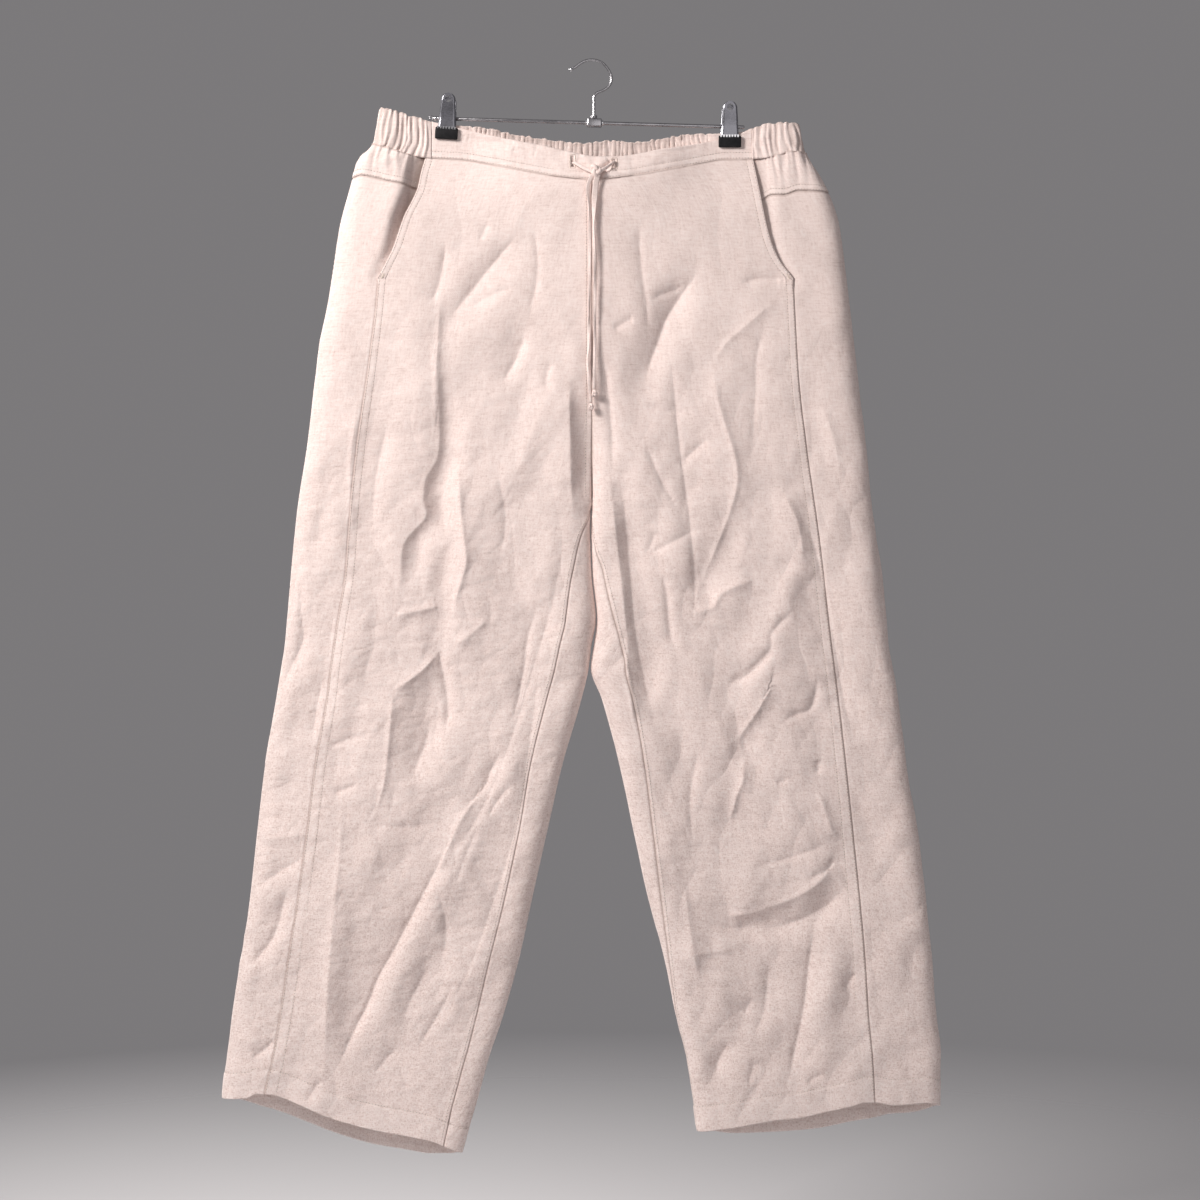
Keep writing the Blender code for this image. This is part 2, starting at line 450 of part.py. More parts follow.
class Half:
    """One half of the trousers, left (sign -1) or right (sign +1)."""

    def __init__(self, name, sign):
        self.name = name
        self.sign = sign
        rows = LEG_ROWS[name]
        self.outer = curve(LEG_COLUMNS, rows, "outer")
        self.seam = curve(LEG_COLUMNS, rows, "side_seam")
        self.inner = curve(LEG_COLUMNS, rows, "inner")
        self.inseam_wrap = curve(LEG_COLUMNS, rows, "inseam_wrap")
        self.depth = curve(LEG_COLUMNS, rows, "depth")
        self.mouth = curve(MOUTH_COLUMNS, MOUTH_ROWS[name], "across")
        self.lift, self.sink = MOUTH_DEPTH[name]
        self.hip_front = curve(HALF_LINE_COLUMNS, HIP_SEAM[name], "front")
        self.hip_back = curve(HALF_LINE_COLUMNS, HIP_SEAM[name], "back")
        self.hem_front = curve(HALF_LINE_COLUMNS, HEM[name], "front")
        self.hem_back = curve(HALF_LINE_COLUMNS, HEM[name], "back")

    def reach(self, level):
        """Distance round from the outer edge to the centre line, or to a leg's inner edge."""
        depth = self.depth(level)
        to_centre = self.outer(level) - self.inner(level) + (EDGE_ARC - EDGE_REACH) * depth
        return to_centre + np.where(level < CROTCH, (EDGE_ARC - EDGE_REACH) * depth, 0.0)

    def around_at(self, across, level):
        """Distance round from the outer edge of a place on the flat of the front."""
        return self.outer(level) - across + (EDGE_ARC - EDGE_REACH) * self.depth(level)

    def front_edge(self, level):
        """Distance round to the pocket mouth and, below it, to the side seam."""
        across = np.where(level >= POCKET_FOOT, self.mouth(level), self.seam(level))
        return self.around_at(across, level)

    def face_of(self, around, level):
        """1 on the front and -1 on the back."""
        face = np.where(around >= 0, 1.0, -1.0)
        past = (np.abs(around) > self.reach(level)) & (level < CROTCH)
        return np.where(past, -face, face)

    def section(self, around, level):
        """The place (x, y) on the tube, before folds and gathers."""
        depth = self.depth(level)
        reach = self.reach(level)
        leg = level < CROTCH
        face = self.face_of(around, level)
        run = np.abs(around)
        run = np.where((run > reach) & leg, 2 * reach - run, run)
        arc = EDGE_ARC * depth
        turn = np.minimum(run / arc, 1.0) * math.pi / 2
        across = (self.outer(level) - EDGE_REACH * depth * (1 - np.cos(turn))
                  - np.maximum(run - arc, 0.0))
        height = depth * np.sin(turn)
        left = np.maximum(reach - run, 0.0)
        inner_turn = np.minimum(left / arc, 1.0) * math.pi / 2
        at_inner = leg & (left < arc)
        across = np.where(at_inner, self.inner(level)
                          + EDGE_REACH * depth * (1 - np.cos(inner_turn)), across)
        height = np.where(at_inner, depth * np.sin(inner_turn), height)
        dip = ease((DIP_START - level) / (DIP_START - CROTCH))
        shallow = np.sin(np.minimum(left / (DIP_REACH * depth), 1.0) * math.pi / 2)
        edge = np.minimum(left / (EDGE_REACH * depth), 1.0)
        rounded = np.sqrt(1 - (1 - edge) ** 2)
        groove = shallow + (rounded - shallow) * dip ** 2
        sunk = CENTRE_HALF_GAP + (depth - CENTRE_HALF_GAP) * (1 - dip + dip * groove)
        height = np.where(leg, height, np.minimum(height, sunk))
        x = self.sign * across
        height = height + swell(face, x, level, depth) * height / depth
        return x, -face * height

    def surface(self, around, level, relief):
        """Middle of the wall and its outward direction, each an array of points."""
        x, y = self.section(around, level)
        x_after, y_after = self.section(around + SECTION_STEP, level)
        x_before, y_before = self.section(around - SECTION_STEP, level)
        along_x = x_after - x_before
        along_y = y_after - y_before
        length = np.hypot(along_x, along_y)
        out_x = -self.sign * along_y / length
        out_y = self.sign * along_x / length
        face = self.face_of(around, level)
        at_centre = (level >= CROTCH) & (self.reach(level) - np.abs(around) < CENTRE_FLAT)
        out_x = np.where(at_centre, 0.0, out_x)
        out_y = np.where(at_centre, -face, out_y)
        folds = np.where(face > 0, fold_relief(x, level, FRONT_FOLDS),
                         fold_relief(x, level, BACK_FOLDS))
        away = folds * ease((np.abs(y) - FOLD_FADE_START) / FOLD_FADE_RANGE) + relief
        middle = np.stack((x + out_x * away, y + out_y * away, level + 0.0 * x), axis=-1)
        outward = np.stack((out_x, out_y, 0.0 * x), axis=-1)
        return middle, outward

    def line_level(self, spread, front_line, back_line, start):
        """Level at which a column, given by spread(level), meets a line across the cloth."""
        level = start
        for _ in range(LINE_ROUNDS):
            around = spread(level)
            x, _y = self.section(around, level)
            level = np.where(self.face_of(around, level) > 0, front_line(x), back_line(x))
        return level

    def mouth_share(self, level):
        """0 at both ends of the pocket mouth and 1 along its middle."""
        top = waist_seam(self.sign * self.mouth(MOUTH_HEAD))
        share = np.clip((level - POCKET_FOOT) / (top - POCKET_FOOT), 0.0, 1.0)
        return np.sin(math.pi * share) ** MOUTH_ROUND

    def mouth_lift(self, around, level):
        """How far the front panel stands off near the pocket mouth."""
        inward = np.maximum(around - self.front_edge(level), 0.0)
        return self.lift * self.mouth_share(level) * np.exp(-inward / LIFT_REACH)

    def mouth_sink(self, around, level):
        """How far the cloth under the front panel's edge lies behind it, as a drop."""
        outward = self.front_edge(level) - around
        rise = ease((level - POCKET_FOOT) / (MOUTH_HEAD - POCKET_FOOT))
        reach = SINK_FOOT_REACH + (SINK_REACH - SINK_FOOT_REACH) * rise
        near = ease((reach - outward) / SINK_FADE)
        upper = ease((level - POCKET_FOOT + SINK_FOOT) / SINK_FOOT)
        return -near * upper * (UNDER_STEP + self.sink * self.mouth_share(level))

    def under_edge(self, level):
        """Distance round to where the cloth under the pocket mouth ends."""
        full = ease((level - POCKET_FOOT) / UNDERLAP_FADE)
        lapped = self.front_edge(level) + UNDERLAP * full
        return np.minimum(lapped, self.around_at(UNDER_STOP, level))


HALVES = (Half("left", -1.0), Half("right", 1.0))


# ---------------------------------------------------------------- making solids

def finish(name, vertices, faces, kind):
    """Make a mesh object with its faces pointing out, shaded smooth and with its material."""
    mesh = bpy.data.meshes.new(name)
    mesh.from_pydata([tuple(point) for point in vertices], [], faces)
    mesh.validate()
    shape = bmesh.new()
    shape.from_mesh(mesh)
    if shape.calc_volume(signed=True) < 0:
        bmesh.ops.reverse_faces(shape, faces=shape.faces[:])
    shape.to_mesh(mesh)
    shape.free()
    mesh.shade_smooth()
    mesh.set_sharp_from_angle(angle=math.radians(SHARP_EDGE))
    mesh.materials.append(material(kind, name))
    made = bpy.data.objects.new(name, mesh)
    bpy.context.scene.collection.objects.link(made)
    return made


def wall(name, middle, outward, thickness, kind, holes=()):
    """A closed wall over a grid of points. Grid cells listed in holes are left open."""
    rows, columns = middle.shape[:2]
    count = rows * columns
    vertices = np.concatenate(((middle + outward * thickness / 2).reshape(-1, 3),
                               (middle - outward * thickness / 2).reshape(-1, 3)))
    outside = []
    for row in range(rows - 1):
        for column in range(columns - 1):
            if (row, column) in holes:
                continue
            corner = row * columns + column
            above = corner + columns
            outside.append((corner, corner + 1, above + 1))
            outside.append((corner, above + 1, above))
    edges = {(face[i], face[(i + 1) % 3]) for face in outside for i in range(3)}
    faces = outside + [(c + count, b + count, a + count) for a, b, c in outside]
    for a, b in sorted(edges):
        if (b, a) not in edges:
            faces.append((b, a, a + count))
            faces.append((b, a + count, b + count))
    return finish(name, vertices, faces, kind)


def cylinder(name, radius, start, end, kind, sides=16):
    """A round bar from one point to another."""
    axis = Vector(end) - Vector(start)
    shape = bmesh.new()
    bmesh.ops.create_cone(shape, cap_ends=True, segments=sides, radius1=radius,
                          radius2=radius, depth=axis.length)
    turn = Vector((0, 0, 1)).rotation_difference(axis).to_matrix().to_4x4()
    place = Matrix.Translation((Vector(start) + Vector(end)) / 2) @ turn
    bmesh.ops.transform(shape, matrix=place, verts=shape.verts[:])
    mesh = bpy.data.meshes.new(name)
    shape.to_mesh(mesh)
    shape.free()
    mesh.shade_smooth()
    mesh.set_sharp_from_angle(angle=math.radians(SHARP_EDGE))
    mesh.materials.append(material(kind, name))
    made = bpy.data.objects.new(name, mesh)
    bpy.context.scene.collection.objects.link(made)
    return made


def smooth_route(route, step):
    """Evenly spaced points of a smooth curve through the places of a route."""
    places = np.array(route)
    padded = np.concatenate((2 * places[:1] - places[1:2], places, 2 * places[-1:] - places[-2:-1]))
    fine = []
    for i in range(1, len(padded) - 2):
        p0, p1, p2, p3 = padded[i - 1:i + 3]
        for t in np.linspace(0.0, 1.0, 24, endpoint=False):
            fine.append(0.5 * (2 * p1 + (p2 - p0) * t + (2 * p0 - 5 * p1 + 4 * p2 - p3) * t ** 2
                               + (3 * p1 - p0 - 3 * p2 + p3) * t ** 3))
    fine.append(places[-1])
    fine = np.array(fine)
    run = np.concatenate(([0.0], np.cumsum(np.linalg.norm(np.diff(fine, axis=0), axis=1))))
    count = max(2, round(run[-1] / step)) + 1
    even = np.linspace(0.0, run[-1], count)
    return np.stack([np.interp(even, run, fine[:, axis]) for axis in range(3)], axis=1)


def tube(name, route, radius, step, kind):
    """A round tube along a smooth curve through a route, with closed ends."""
    line = bpy.data.curves.new(name, "CURVE")
    line.dimensions = "3D"
    line.bevel_depth = radius
    line.bevel_resolution = 2
    line.use_fill_caps = True
    points = smooth_route(route, step)
    spline = line.splines.new("POLY")
    spline.points.add(len(points) - 1)
    for point, place in zip(spline.points, points):
        point.co = (*place, 1.0)
    line.materials.append(material(kind, name))
    made = bpy.data.objects.new(name, line)
    bpy.context.scene.collection.objects.link(made)
    return made


def pebble(name, centre, half, kind, detail):
    """A rounded lump: a ball stretched to three half sizes."""
    shape = bmesh.new()
    bmesh.ops.create_icosphere(shape, subdivisions=detail, radius=1.0)
    place = Matrix.Translation(centre) @ Matrix.Diagonal((*half, 1.0))
    bmesh.ops.transform(shape, matrix=place, verts=shape.verts[:])
    vertices = [vertex.co.copy() for vertex in shape.verts]
    faces = [tuple(vertex.index for vertex in face.verts) for face in shape.faces]
    shape.free()
    return finish(name, vertices, faces, kind)


def block(name, size, place, bevel, kind):
    """A box with rounded edges, placed by a matrix."""
    shape = bmesh.new()
    bmesh.ops.create_cube(shape, size=1.0)
    bmesh.ops.scale(shape, vec=size, verts=shape.verts[:])
    bmesh.ops.bevel(shape, geom=shape.edges[:], offset=bevel, segments=2, affect="EDGES",
                    profile=0.5)
    bmesh.ops.transform(shape, matrix=place, verts=shape.verts[:])
    vertices = [vertex.co.copy() for vertex in shape.verts]
    faces = [tuple(vertex.index for vertex in face.verts) for face in shape.faces]
    shape.free()
    return finish(name, vertices, faces, kind)


def drill(target, radius, start, end):
    """Cut a round hole through a piece."""
    cutter = cylinder(target.name + "_bore", radius, start, end, STEEL, sides=20)
    cutter.hide_render = True
    cutter.display_type = "WIRE"
    cut = target.modifiers.new("bore", "BOOLEAN")
    cut.operation = "DIFFERENCE"
    cut.solver = "EXACT"
    cut.object = cutter


# ---------------------------------------------------------------- leg panels and yokes

def leg_levels(top_level, hem_level):
    """Levels of a leg panel's rows, from its upper seam down to its hem."""
    rows = [top_level + share * (POCKET_FOOT - top_level) for share in UPPER_SHARES]
    down_leg = np.linspace(0.0, 1.0, LEG_LEVELS + 1) ** LEG_CLOSER
    level_rows = np.concatenate((np.linspace(POCKET_FOOT, CROTCH, HIP_LEVELS, endpoint=False),
                                 CROTCH + down_leg * (HEM_ZONE - CROTCH)))
    rows += [np.full(top_level.shape, level) for level in level_rows]
    rows += [HEM_ZONE + share * (hem_level - HEM_ZONE) for share in HEM_SHARES]
    return np.array(rows)


def front_panel(half):
    count = len(FRONT_SHARES)

    def spread(level):
        start = half.front_edge(level) + SEAM_GAP / 2
        wrap = np.where(level < CROTCH, half.inseam_wrap(level), 0.0)
        gap = np.where(level < CROTCH, INSEAM_GAP, SEAM_GAP)
        return start + FRONT_SHARES * (half.reach(level) - wrap - gap / 2 - start)

    top = half.line_level(spread, waist_seam, waist_seam, np.full(count, TOP_GUESS))
    hem = half.line_level(spread, lambda x: half.hem_front(half.sign * x),
                          lambda x: half.hem_back(half.sign * x), np.full(count, HEM_GUESS))
    level = leg_levels(top - SEAM_GAP / 2, hem)
    around = np.array([spread(row) for row in level])
    middle, outward = half.surface(around, level, half.mouth_lift(around, level))
    return wall("front_" + half.name, middle, outward, CLOTH, LINEN)


def back_spread(half, shares):
    """How the back panel's columns lie round its half, at any level."""

    def spread(level):
        wrap = np.where(level < CROTCH, half.inseam_wrap(level), 0.0)
        gap = np.where(level < CROTCH, INSEAM_GAP, SEAM_GAP)
        start = -half.reach(level) - wrap + gap / 2
        end = np.where(level >= POCKET_FOOT, half.under_edge(level), half.front_edge(level))
        return start + shares * (end - SEAM_GAP / 2 - start)

    return spread


def hip_levels(half, spread, count):
    """Levels of the seam between yoke and back panel at the back panel's columns."""
    return half.line_level(spread, lambda x: half.hip_front(half.sign * x),
                           lambda x: half.hip_back(half.sign * x), np.full(count, HIP_GUESS))


def back_panel(half):
    spread = back_spread(half, BACK_SHARES)
    count = len(BACK_SHARES)
    hem = half.line_level(spread, lambda x: half.hem_front(half.sign * x),
                          lambda x: half.hem_back(half.sign * x), np.full(count, HEM_GUESS))
    level = leg_levels(hip_levels(half, spread, count) - SEAM_GAP / 2, hem)
    around = np.array([spread(row) for row in level])
    middle, outward = half.surface(around, level, half.mouth_sink(around, level))
    return wall("back_" + half.name, middle, outward, CLOTH, LINEN)


def gather_stops(length, pitch):
    """Places and strengths of the crests (above zero) and troughs of uneven gathers."""
    count = 2 * round(length / pitch)
    index = np.arange(count + 1)
    uneven = index + 0.22 * np.sin(1.7 * index) + 0.16 * np.sin(0.61 * index + 1.0)
    uneven = (uneven - uneven[0]) / (uneven[-1] - uneven[0])
    strength = np.where(index % 2 == 0, 1.0, -1.0) * (0.72 + 0.28 * np.sin(2.3 * index + 0.4))
    strength[0] = strength[-1] = 0.0
    return uneven, strength


def yoke(half):
    reference = np.array(YOKE_LEVEL)
    length = float(half.under_edge(reference) + half.reach(reference))
    shares, strength = gather_stops(length, YOKE_GATHER_PITCH)

    def spread(level):
        start = -half.reach(level) + SEAM_GAP / 2
        return start + shares * (half.under_edge(level) - SEAM_GAP / 2 - start)

    below = back_spread(half, BACK_SHARES)
    seam = hip_levels(half, below, len(BACK_SHARES))
    foot = np.full(len(shares), HIP_GUESS)
    for _ in range(LINE_ROUNDS):
        foot = np.interp(spread(foot), below(seam), seam)
    head = half.line_level(spread, waist_seam, back_waist_seam, np.full(len(shares), TOP_GUESS))
    foot = foot + SEAM_GAP / 2
    head = head - SEAM_GAP / 2
    level = np.array([foot + row * (head - foot) for row in YOKE_ROWS])
    around = np.array([spread(row) for row in level])
    x, _y = half.section(around, level)
    calm = YOKE_GATHER_HELD + (1 - YOKE_GATHER_HELD) * (1 - pinch(x, level))
    full = YOKE_GATHER_FOOT + (1 - YOKE_GATHER_FOOT) * np.array(YOKE_ROWS)[:, None]
    gathers = YOKE_GATHER_HALF * strength * full * calm
    under = 1 - ease((around - half.front_edge(level) + YOKE_FLAT) / YOKE_FLAT_FADE)
    relief = gathers * under + half.mouth_sink(around, level)
    middle, outward = half.surface(around, level, relief)
    return wall("yoke_" + half.name, middle, outward, CLOTH, LINEN)


def back_waist_seam(x):
    return casing_top(x) - casing_height(x)


def pocket_bag(half):
    """The bag's back layer: its rim lies on the front panel and its middle stands off it."""
    columns = np.linspace(0.0, 1.0, BAG_COLUMNS)
    levels = np.linspace(BAG_HEAD, BAG_FOOT, BAG_LEVELS)
    level = np.repeat(levels[:, None], len(columns), axis=1)
    seam_side = half.around_at(half.seam(level), level) + BAG_SEAM_GAP
    start = np.where(level >= POCKET_FOOT, half.under_edge(level) + BAG_EDGE_GAP, seam_side)
    end = half.around_at(BAG_INNER, level)
    around = start + columns * (end - start)
    x, _y = half.section(around, level)
    down = (BAG_HEAD - level) / (BAG_HEAD - BAG_FOOT)
    level = np.minimum(level, waist_seam(x) - BAG_HEAD_GAP)
    hollow = np.sqrt(np.sin(math.pi * np.clip(down, 0.0, 1.0)))
    off_side = ease(columns / BAG_RIM_SHARE)
    off_end = ease((1 - columns) / BAG_END_SHARE)
    open_side = np.where(level >= POCKET_FOOT, 1.0, off_side)
    depth = BAG_STEP + BAG_DEPTH * hollow * np.minimum(open_side, off_end)
    at_mouth = BAG_STEP + half.sink * half.mouth_share(level)
    blend = np.where(level >= POCKET_FOOT, off_side, 1.0)
    depth = at_mouth * (1 - blend) + depth * blend
    middle, outward = half.surface(around, level, -depth)
    return wall("pocket_" + half.name, middle, outward, CLOTH, LINEN)


# ---------------------------------------------------------------- waistband

def waistband_back():
    """The elastic casing, from the left join round the back to the right join."""
    left, right = HALVES
    reference = np.array(BAND_GUESS)
    stretches = []
    for half, forwards in ((left, True), (right, False)):
        join = float(half.around_at(BAND_JOIN, reference))
        back = float(half.reach(reference))
        side_stops, side_strength = gather_stops(join, GATHER_SIDE_PITCH)
        back_stops, back_strength = gather_stops(back, GATHER_BACK_PITCH)
        part = [(share, "side", force * GATHER_SIDE_HALF)
                for share, force in zip(side_stops[::-1], side_strength[::-1])]
        part += [(share, "back", force * GATHER_BACK_HALF)
                 for share, force in zip(back_stops[1:], back_strength[1:])]
        stretches.append((half, part if forwards else part[::-1]))
    middles = []
    outwards = []
    for half, part in stretches:
        if half is right:
            part = part[1:]
        shares = np.array([share for share, _zone, _height in part])
        on_side = np.array([zone == "side" for _share, zone, _height in part])
        heights = np.array([height for _share, _zone, height in part])

        def spread(level, half=half, shares=shares, on_side=on_side):
            join = half.around_at(BAND_JOIN, level) - SEAM_GAP / 2
            return np.where(on_side, shares * join, -shares * half.reach(level))

        start = np.full(len(shares), BAND_GUESS)
        head = half.line_level(spread, casing_top, casing_top, start)
        foot = half.line_level(spread, waist_seam, back_waist_seam, start) + SEAM_GAP / 2
        level = np.array([foot, (foot + head) / 2, head])
        around = np.array([spread(row) for row in level])
        x, _y = half.section(around, level)
        calm = GATHER_HELD + (1 - GATHER_HELD) * (1 - pinch(x, level))
        relief = heights * np.array(GATHER_FULL)[:, None] * calm
        middle, outward = half.surface(around, level, relief)
        middles.append(middle)
        outwards.append(outward)
    middle = np.concatenate(middles, axis=1)
    outward = np.concatenate(outwards, axis=1)
    return wall("waistband_back", middle, outward, DOUBLED, CASING_LINEN)


def waistband_front():
    """The flat front band, cut through at its two buttonholes."""
    end = BAND_JOIN - SEAM_GAP / 2
    inner_left, inner_right = BAND_INNER
    stops = sorted([*np.linspace(-end, inner_left, BAND_STOPS), *BAND_MIDDLE,
                    *np.linspace(inner_right, end, BAND_STOPS), *np.array(BUTTONHOLES).ravel()])
    x = np.array(stops)
    foot = waist_seam(x) + SEAM_GAP / 2
    head = band_top(x)
    rows = (0.0, BUTTONHOLE_FOOT, BUTTONHOLE_HEAD, 1.0)
    level = np.array([foot + row * (head - foot) for row in rows])
    middles = []
    outwards = []
    for half in HALVES:
        mine = (x < 0) if half.sign < 0 else (x >= 0)
        around = half.around_at(half.sign * x[mine], level[:, mine])
        middle, outward = half.surface(around, level[:, mine], 0.0 * around)
        middles.append(middle)
        outwards.append(outward)
    middle = np.concatenate(middles, axis=1)
    outward = np.concatenate(outwards, axis=1)
    holes = {(1, stops.index(start)) for start, _end in BUTTONHOLES}
    return wall("waistband_front", middle, outward, DOUBLED, LINEN, holes)


# ---------------------------------------------------------------- drawstring

def drawstring():
    for name, route in TIE_ROUTES.items():
        tube(name, route, TIE_RADIUS, TIE_STEP / 2 if "run" in name else TIE_STEP, TIE_LINEN)
    pebble("tie_knot", KNOT_CENTRE, KNOT_HALF, TIE_LINEN, 3)
    for name, centre in TIP_CENTRES.items():
        pebble(name, centre, TIP_HALF, TIE_LINEN, 2)


# ---------------------------------------------------------------- hanger

def bar_level(x):
    """Level of the bar's axis at a place along it."""
    (start_x, start_level), (end_x, end_level) = BAR_ENDS
    return start_level + (x - start_x) / (end_x - start_x) * (end_level - start_level)


def hanger():
    (start_x, start_level), (end_x, end_level) = BAR_ENDS
    bar_start = (start_x, 0.0, start_level)
    bar_end = (end_x, 0.0, end_level)
    cylinder("hanger_bar", BAR_RADIUS, bar_start, bar_end, STEEL, sides=12)
    clamp_level = bar_level(CLAMP_CENTRE_X)
    tilt = Matrix.Rotation(math.atan2(start_level - end_level, end_x - start_x), 4, "Y")
    clamp_place = Matrix.Translation((CLAMP_CENTRE_X, 0.0, clamp_level)) @ tilt
    clamp = block("hanger_clamp", CLAMP_SIZE, clamp_place, CLAMP_BEVEL, STEEL)
    drill(clamp, BORE_RADIUS, bar_start, bar_end)
    collar_foot = clamp_level + CLAMP_SIZE[2] / 2 + COLLAR_GAP
    collar_head = collar_foot + COLLAR_HEIGHT
    stem_x = HOOK_ROUTE[0][0]
    cylinder("hanger_collar", COLLAR_RADIUS, (stem_x, 0.0, collar_foot),
             (stem_x, 0.0, collar_head), STEEL, sides=16)
    wire = [(x, 0.0, level) for x, level in HOOK_ROUTE]
    wire[0] = (stem_x, 0.0, collar_head + SEAM_GAP)
    tube("hanger_hook", wire, WIRE_RADIUS, WIRE_STEP, STEEL)
    end = Vector(wire[-1])
    onward = (end - Vector(wire[-2])).normalized()
    centre = end + onward * (HOOK_TIP_RADIUS + SEAM_GAP)
    pebble("hook_tip", centre, (HOOK_TIP_RADIUS,) * 3, STEEL, 2)
    for side, centre_x, degrees in zip(("left", "right"), CLIP_CENTRES, CLIP_TILTS):
        clip(side, centre_x, degrees)


def clip(side, centre_x, degrees):
    """A spring clip: a barrel on the bar, two steel plates and two rubber pads."""
    level = bar_level(centre_x)
    place = Matrix.Translation((centre_x, 0.0, level)) @ Matrix.Rotation(
        math.radians(degrees), 4, "Y")
    slope = (BAR_ENDS[1][1] - BAR_ENDS[0][1]) / (BAR_ENDS[1][0] - BAR_ENDS[0][0])
    along = Vector((1.0, 0.0, slope)).normalized()
    middle = Vector((centre_x, 0.0, level))
    barrel = cylinder("clip_barrel_" + side, BARREL_RADIUS, middle - along * BARREL_HALF_LENGTH,
                      middle + along * BARREL_HALF_LENGTH, CLIP_STEEL, sides=16)
    drill(barrel, BORE_RADIUS, middle - along * BORE_OVERRUN, middle + along * BORE_OVERRUN)
    for facing, name in ((-1.0, "front"), (1.0, "back")):
        plate = clip_plate(f"clip_{name}_{side}", facing, place)
        ends = [place @ Vector((0.0, facing * out, PLATE_HOLE_RISE)) for out in PLATE_HOLE_SPAN]
        drill(plate, PLATE_HOLE_RADIUS, *ends)
        size = (2 * PAD_HALF_WIDTH, PAD_DEPTH, PAD_TOP - PAD_FOOT)
        centre = Vector((0.0, facing * (PAD_FACE + PAD_DEPTH / 2), (PAD_TOP + PAD_FOOT) / 2))
        block(f"pad_{name}_{side}", size, place @ Matrix.Translation(centre), PAD_BEVEL, RUBBER)


def clip_plate(name, facing, place):
    """A bent plate with a rounded top."""
    rows = list(PLATE_ROWS)
    _rise, radius, shoulder = rows[-1]
    for degrees in PLATE_HEAD_DEGREES:
        share = math.sin(math.radians(degrees))
        half_width = radius * math.cos(math.radians(degrees))
        stand_off = shoulder + (PLATE_HEAD_STAND_OFF - shoulder) * share
        rows.append((PLATE_HEAD + radius * share, half_width, stand_off))
    middle = np.array([[place @ Vector((half_width * across, facing * stand_off, rise))
                        for across in PLATE_ACROSS] for rise, half_width, stand_off in rows])
    outward = np.array([[place.to_3x3() @ Vector((0.0, facing, 0.0))
                         for _across in PLATE_ACROSS] for _row in rows])
    return wall(name, middle, outward, PLATE, CLIP_STEEL)


# ---------------------------------------------------------------- the whole garment

def main():
    for thing in list(bpy.data.objects):
        bpy.data.objects.remove(thing, do_unlink=True)
    for half in HALVES:
        front_panel(half)
        back_panel(half)
        yoke(half)
        pocket_bag(half)
    waistband_back()
    waistband_front()
    drawstring()
    hanger()


main()
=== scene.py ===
"""Looks of the linen drawstring trousers on their clip hanger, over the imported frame.

Units are metres, +Z is up and the front faces -Y. Tables and the maths of the cloth's form
repeat those of the model, so every shell lies on the solid that it stands for.
"""
import math
from collections import namedtuple
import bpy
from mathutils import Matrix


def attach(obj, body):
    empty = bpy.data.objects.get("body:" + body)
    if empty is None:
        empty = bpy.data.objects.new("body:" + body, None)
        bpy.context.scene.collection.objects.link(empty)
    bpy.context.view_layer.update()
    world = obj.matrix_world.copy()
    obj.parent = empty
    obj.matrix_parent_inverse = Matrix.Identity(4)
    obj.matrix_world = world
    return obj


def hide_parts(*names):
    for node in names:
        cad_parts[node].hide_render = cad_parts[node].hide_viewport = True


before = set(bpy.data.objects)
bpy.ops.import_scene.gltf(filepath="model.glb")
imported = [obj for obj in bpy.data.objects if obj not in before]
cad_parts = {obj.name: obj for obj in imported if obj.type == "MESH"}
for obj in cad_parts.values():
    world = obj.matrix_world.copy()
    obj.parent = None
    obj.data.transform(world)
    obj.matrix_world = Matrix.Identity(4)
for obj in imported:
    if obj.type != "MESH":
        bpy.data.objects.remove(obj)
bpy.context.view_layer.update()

from types import SimpleNamespace

import bmesh
import bpy
import numpy as np
from mathutils import Matrix, Vector

SCENE = bpy.context.scene

# ---------------------------------------------------------------- camera, light and floor

CAMERA_DISTANCE = 2.40      # from the plane of the trousers' front
FRAME_WIDTH = 1.260         # of the picture, in that plane
FRAME_CENTRE = (0.0084, -0.5685)
GARMENT_PLANE = -0.012
FLOOR_LEVEL = -1.42
SENSOR = 36.0           # millimetres wide


def aimed(thing, place, target):
    """Put a lamp or camera at a place, looking at a target."""
    thing.location = place
    thing.rotation_euler = (Vector(target) - Vector(place)).to_track_quat("-Z", "Y").to_euler()
    SCENE.collection.objects.link(thing)
    return thing


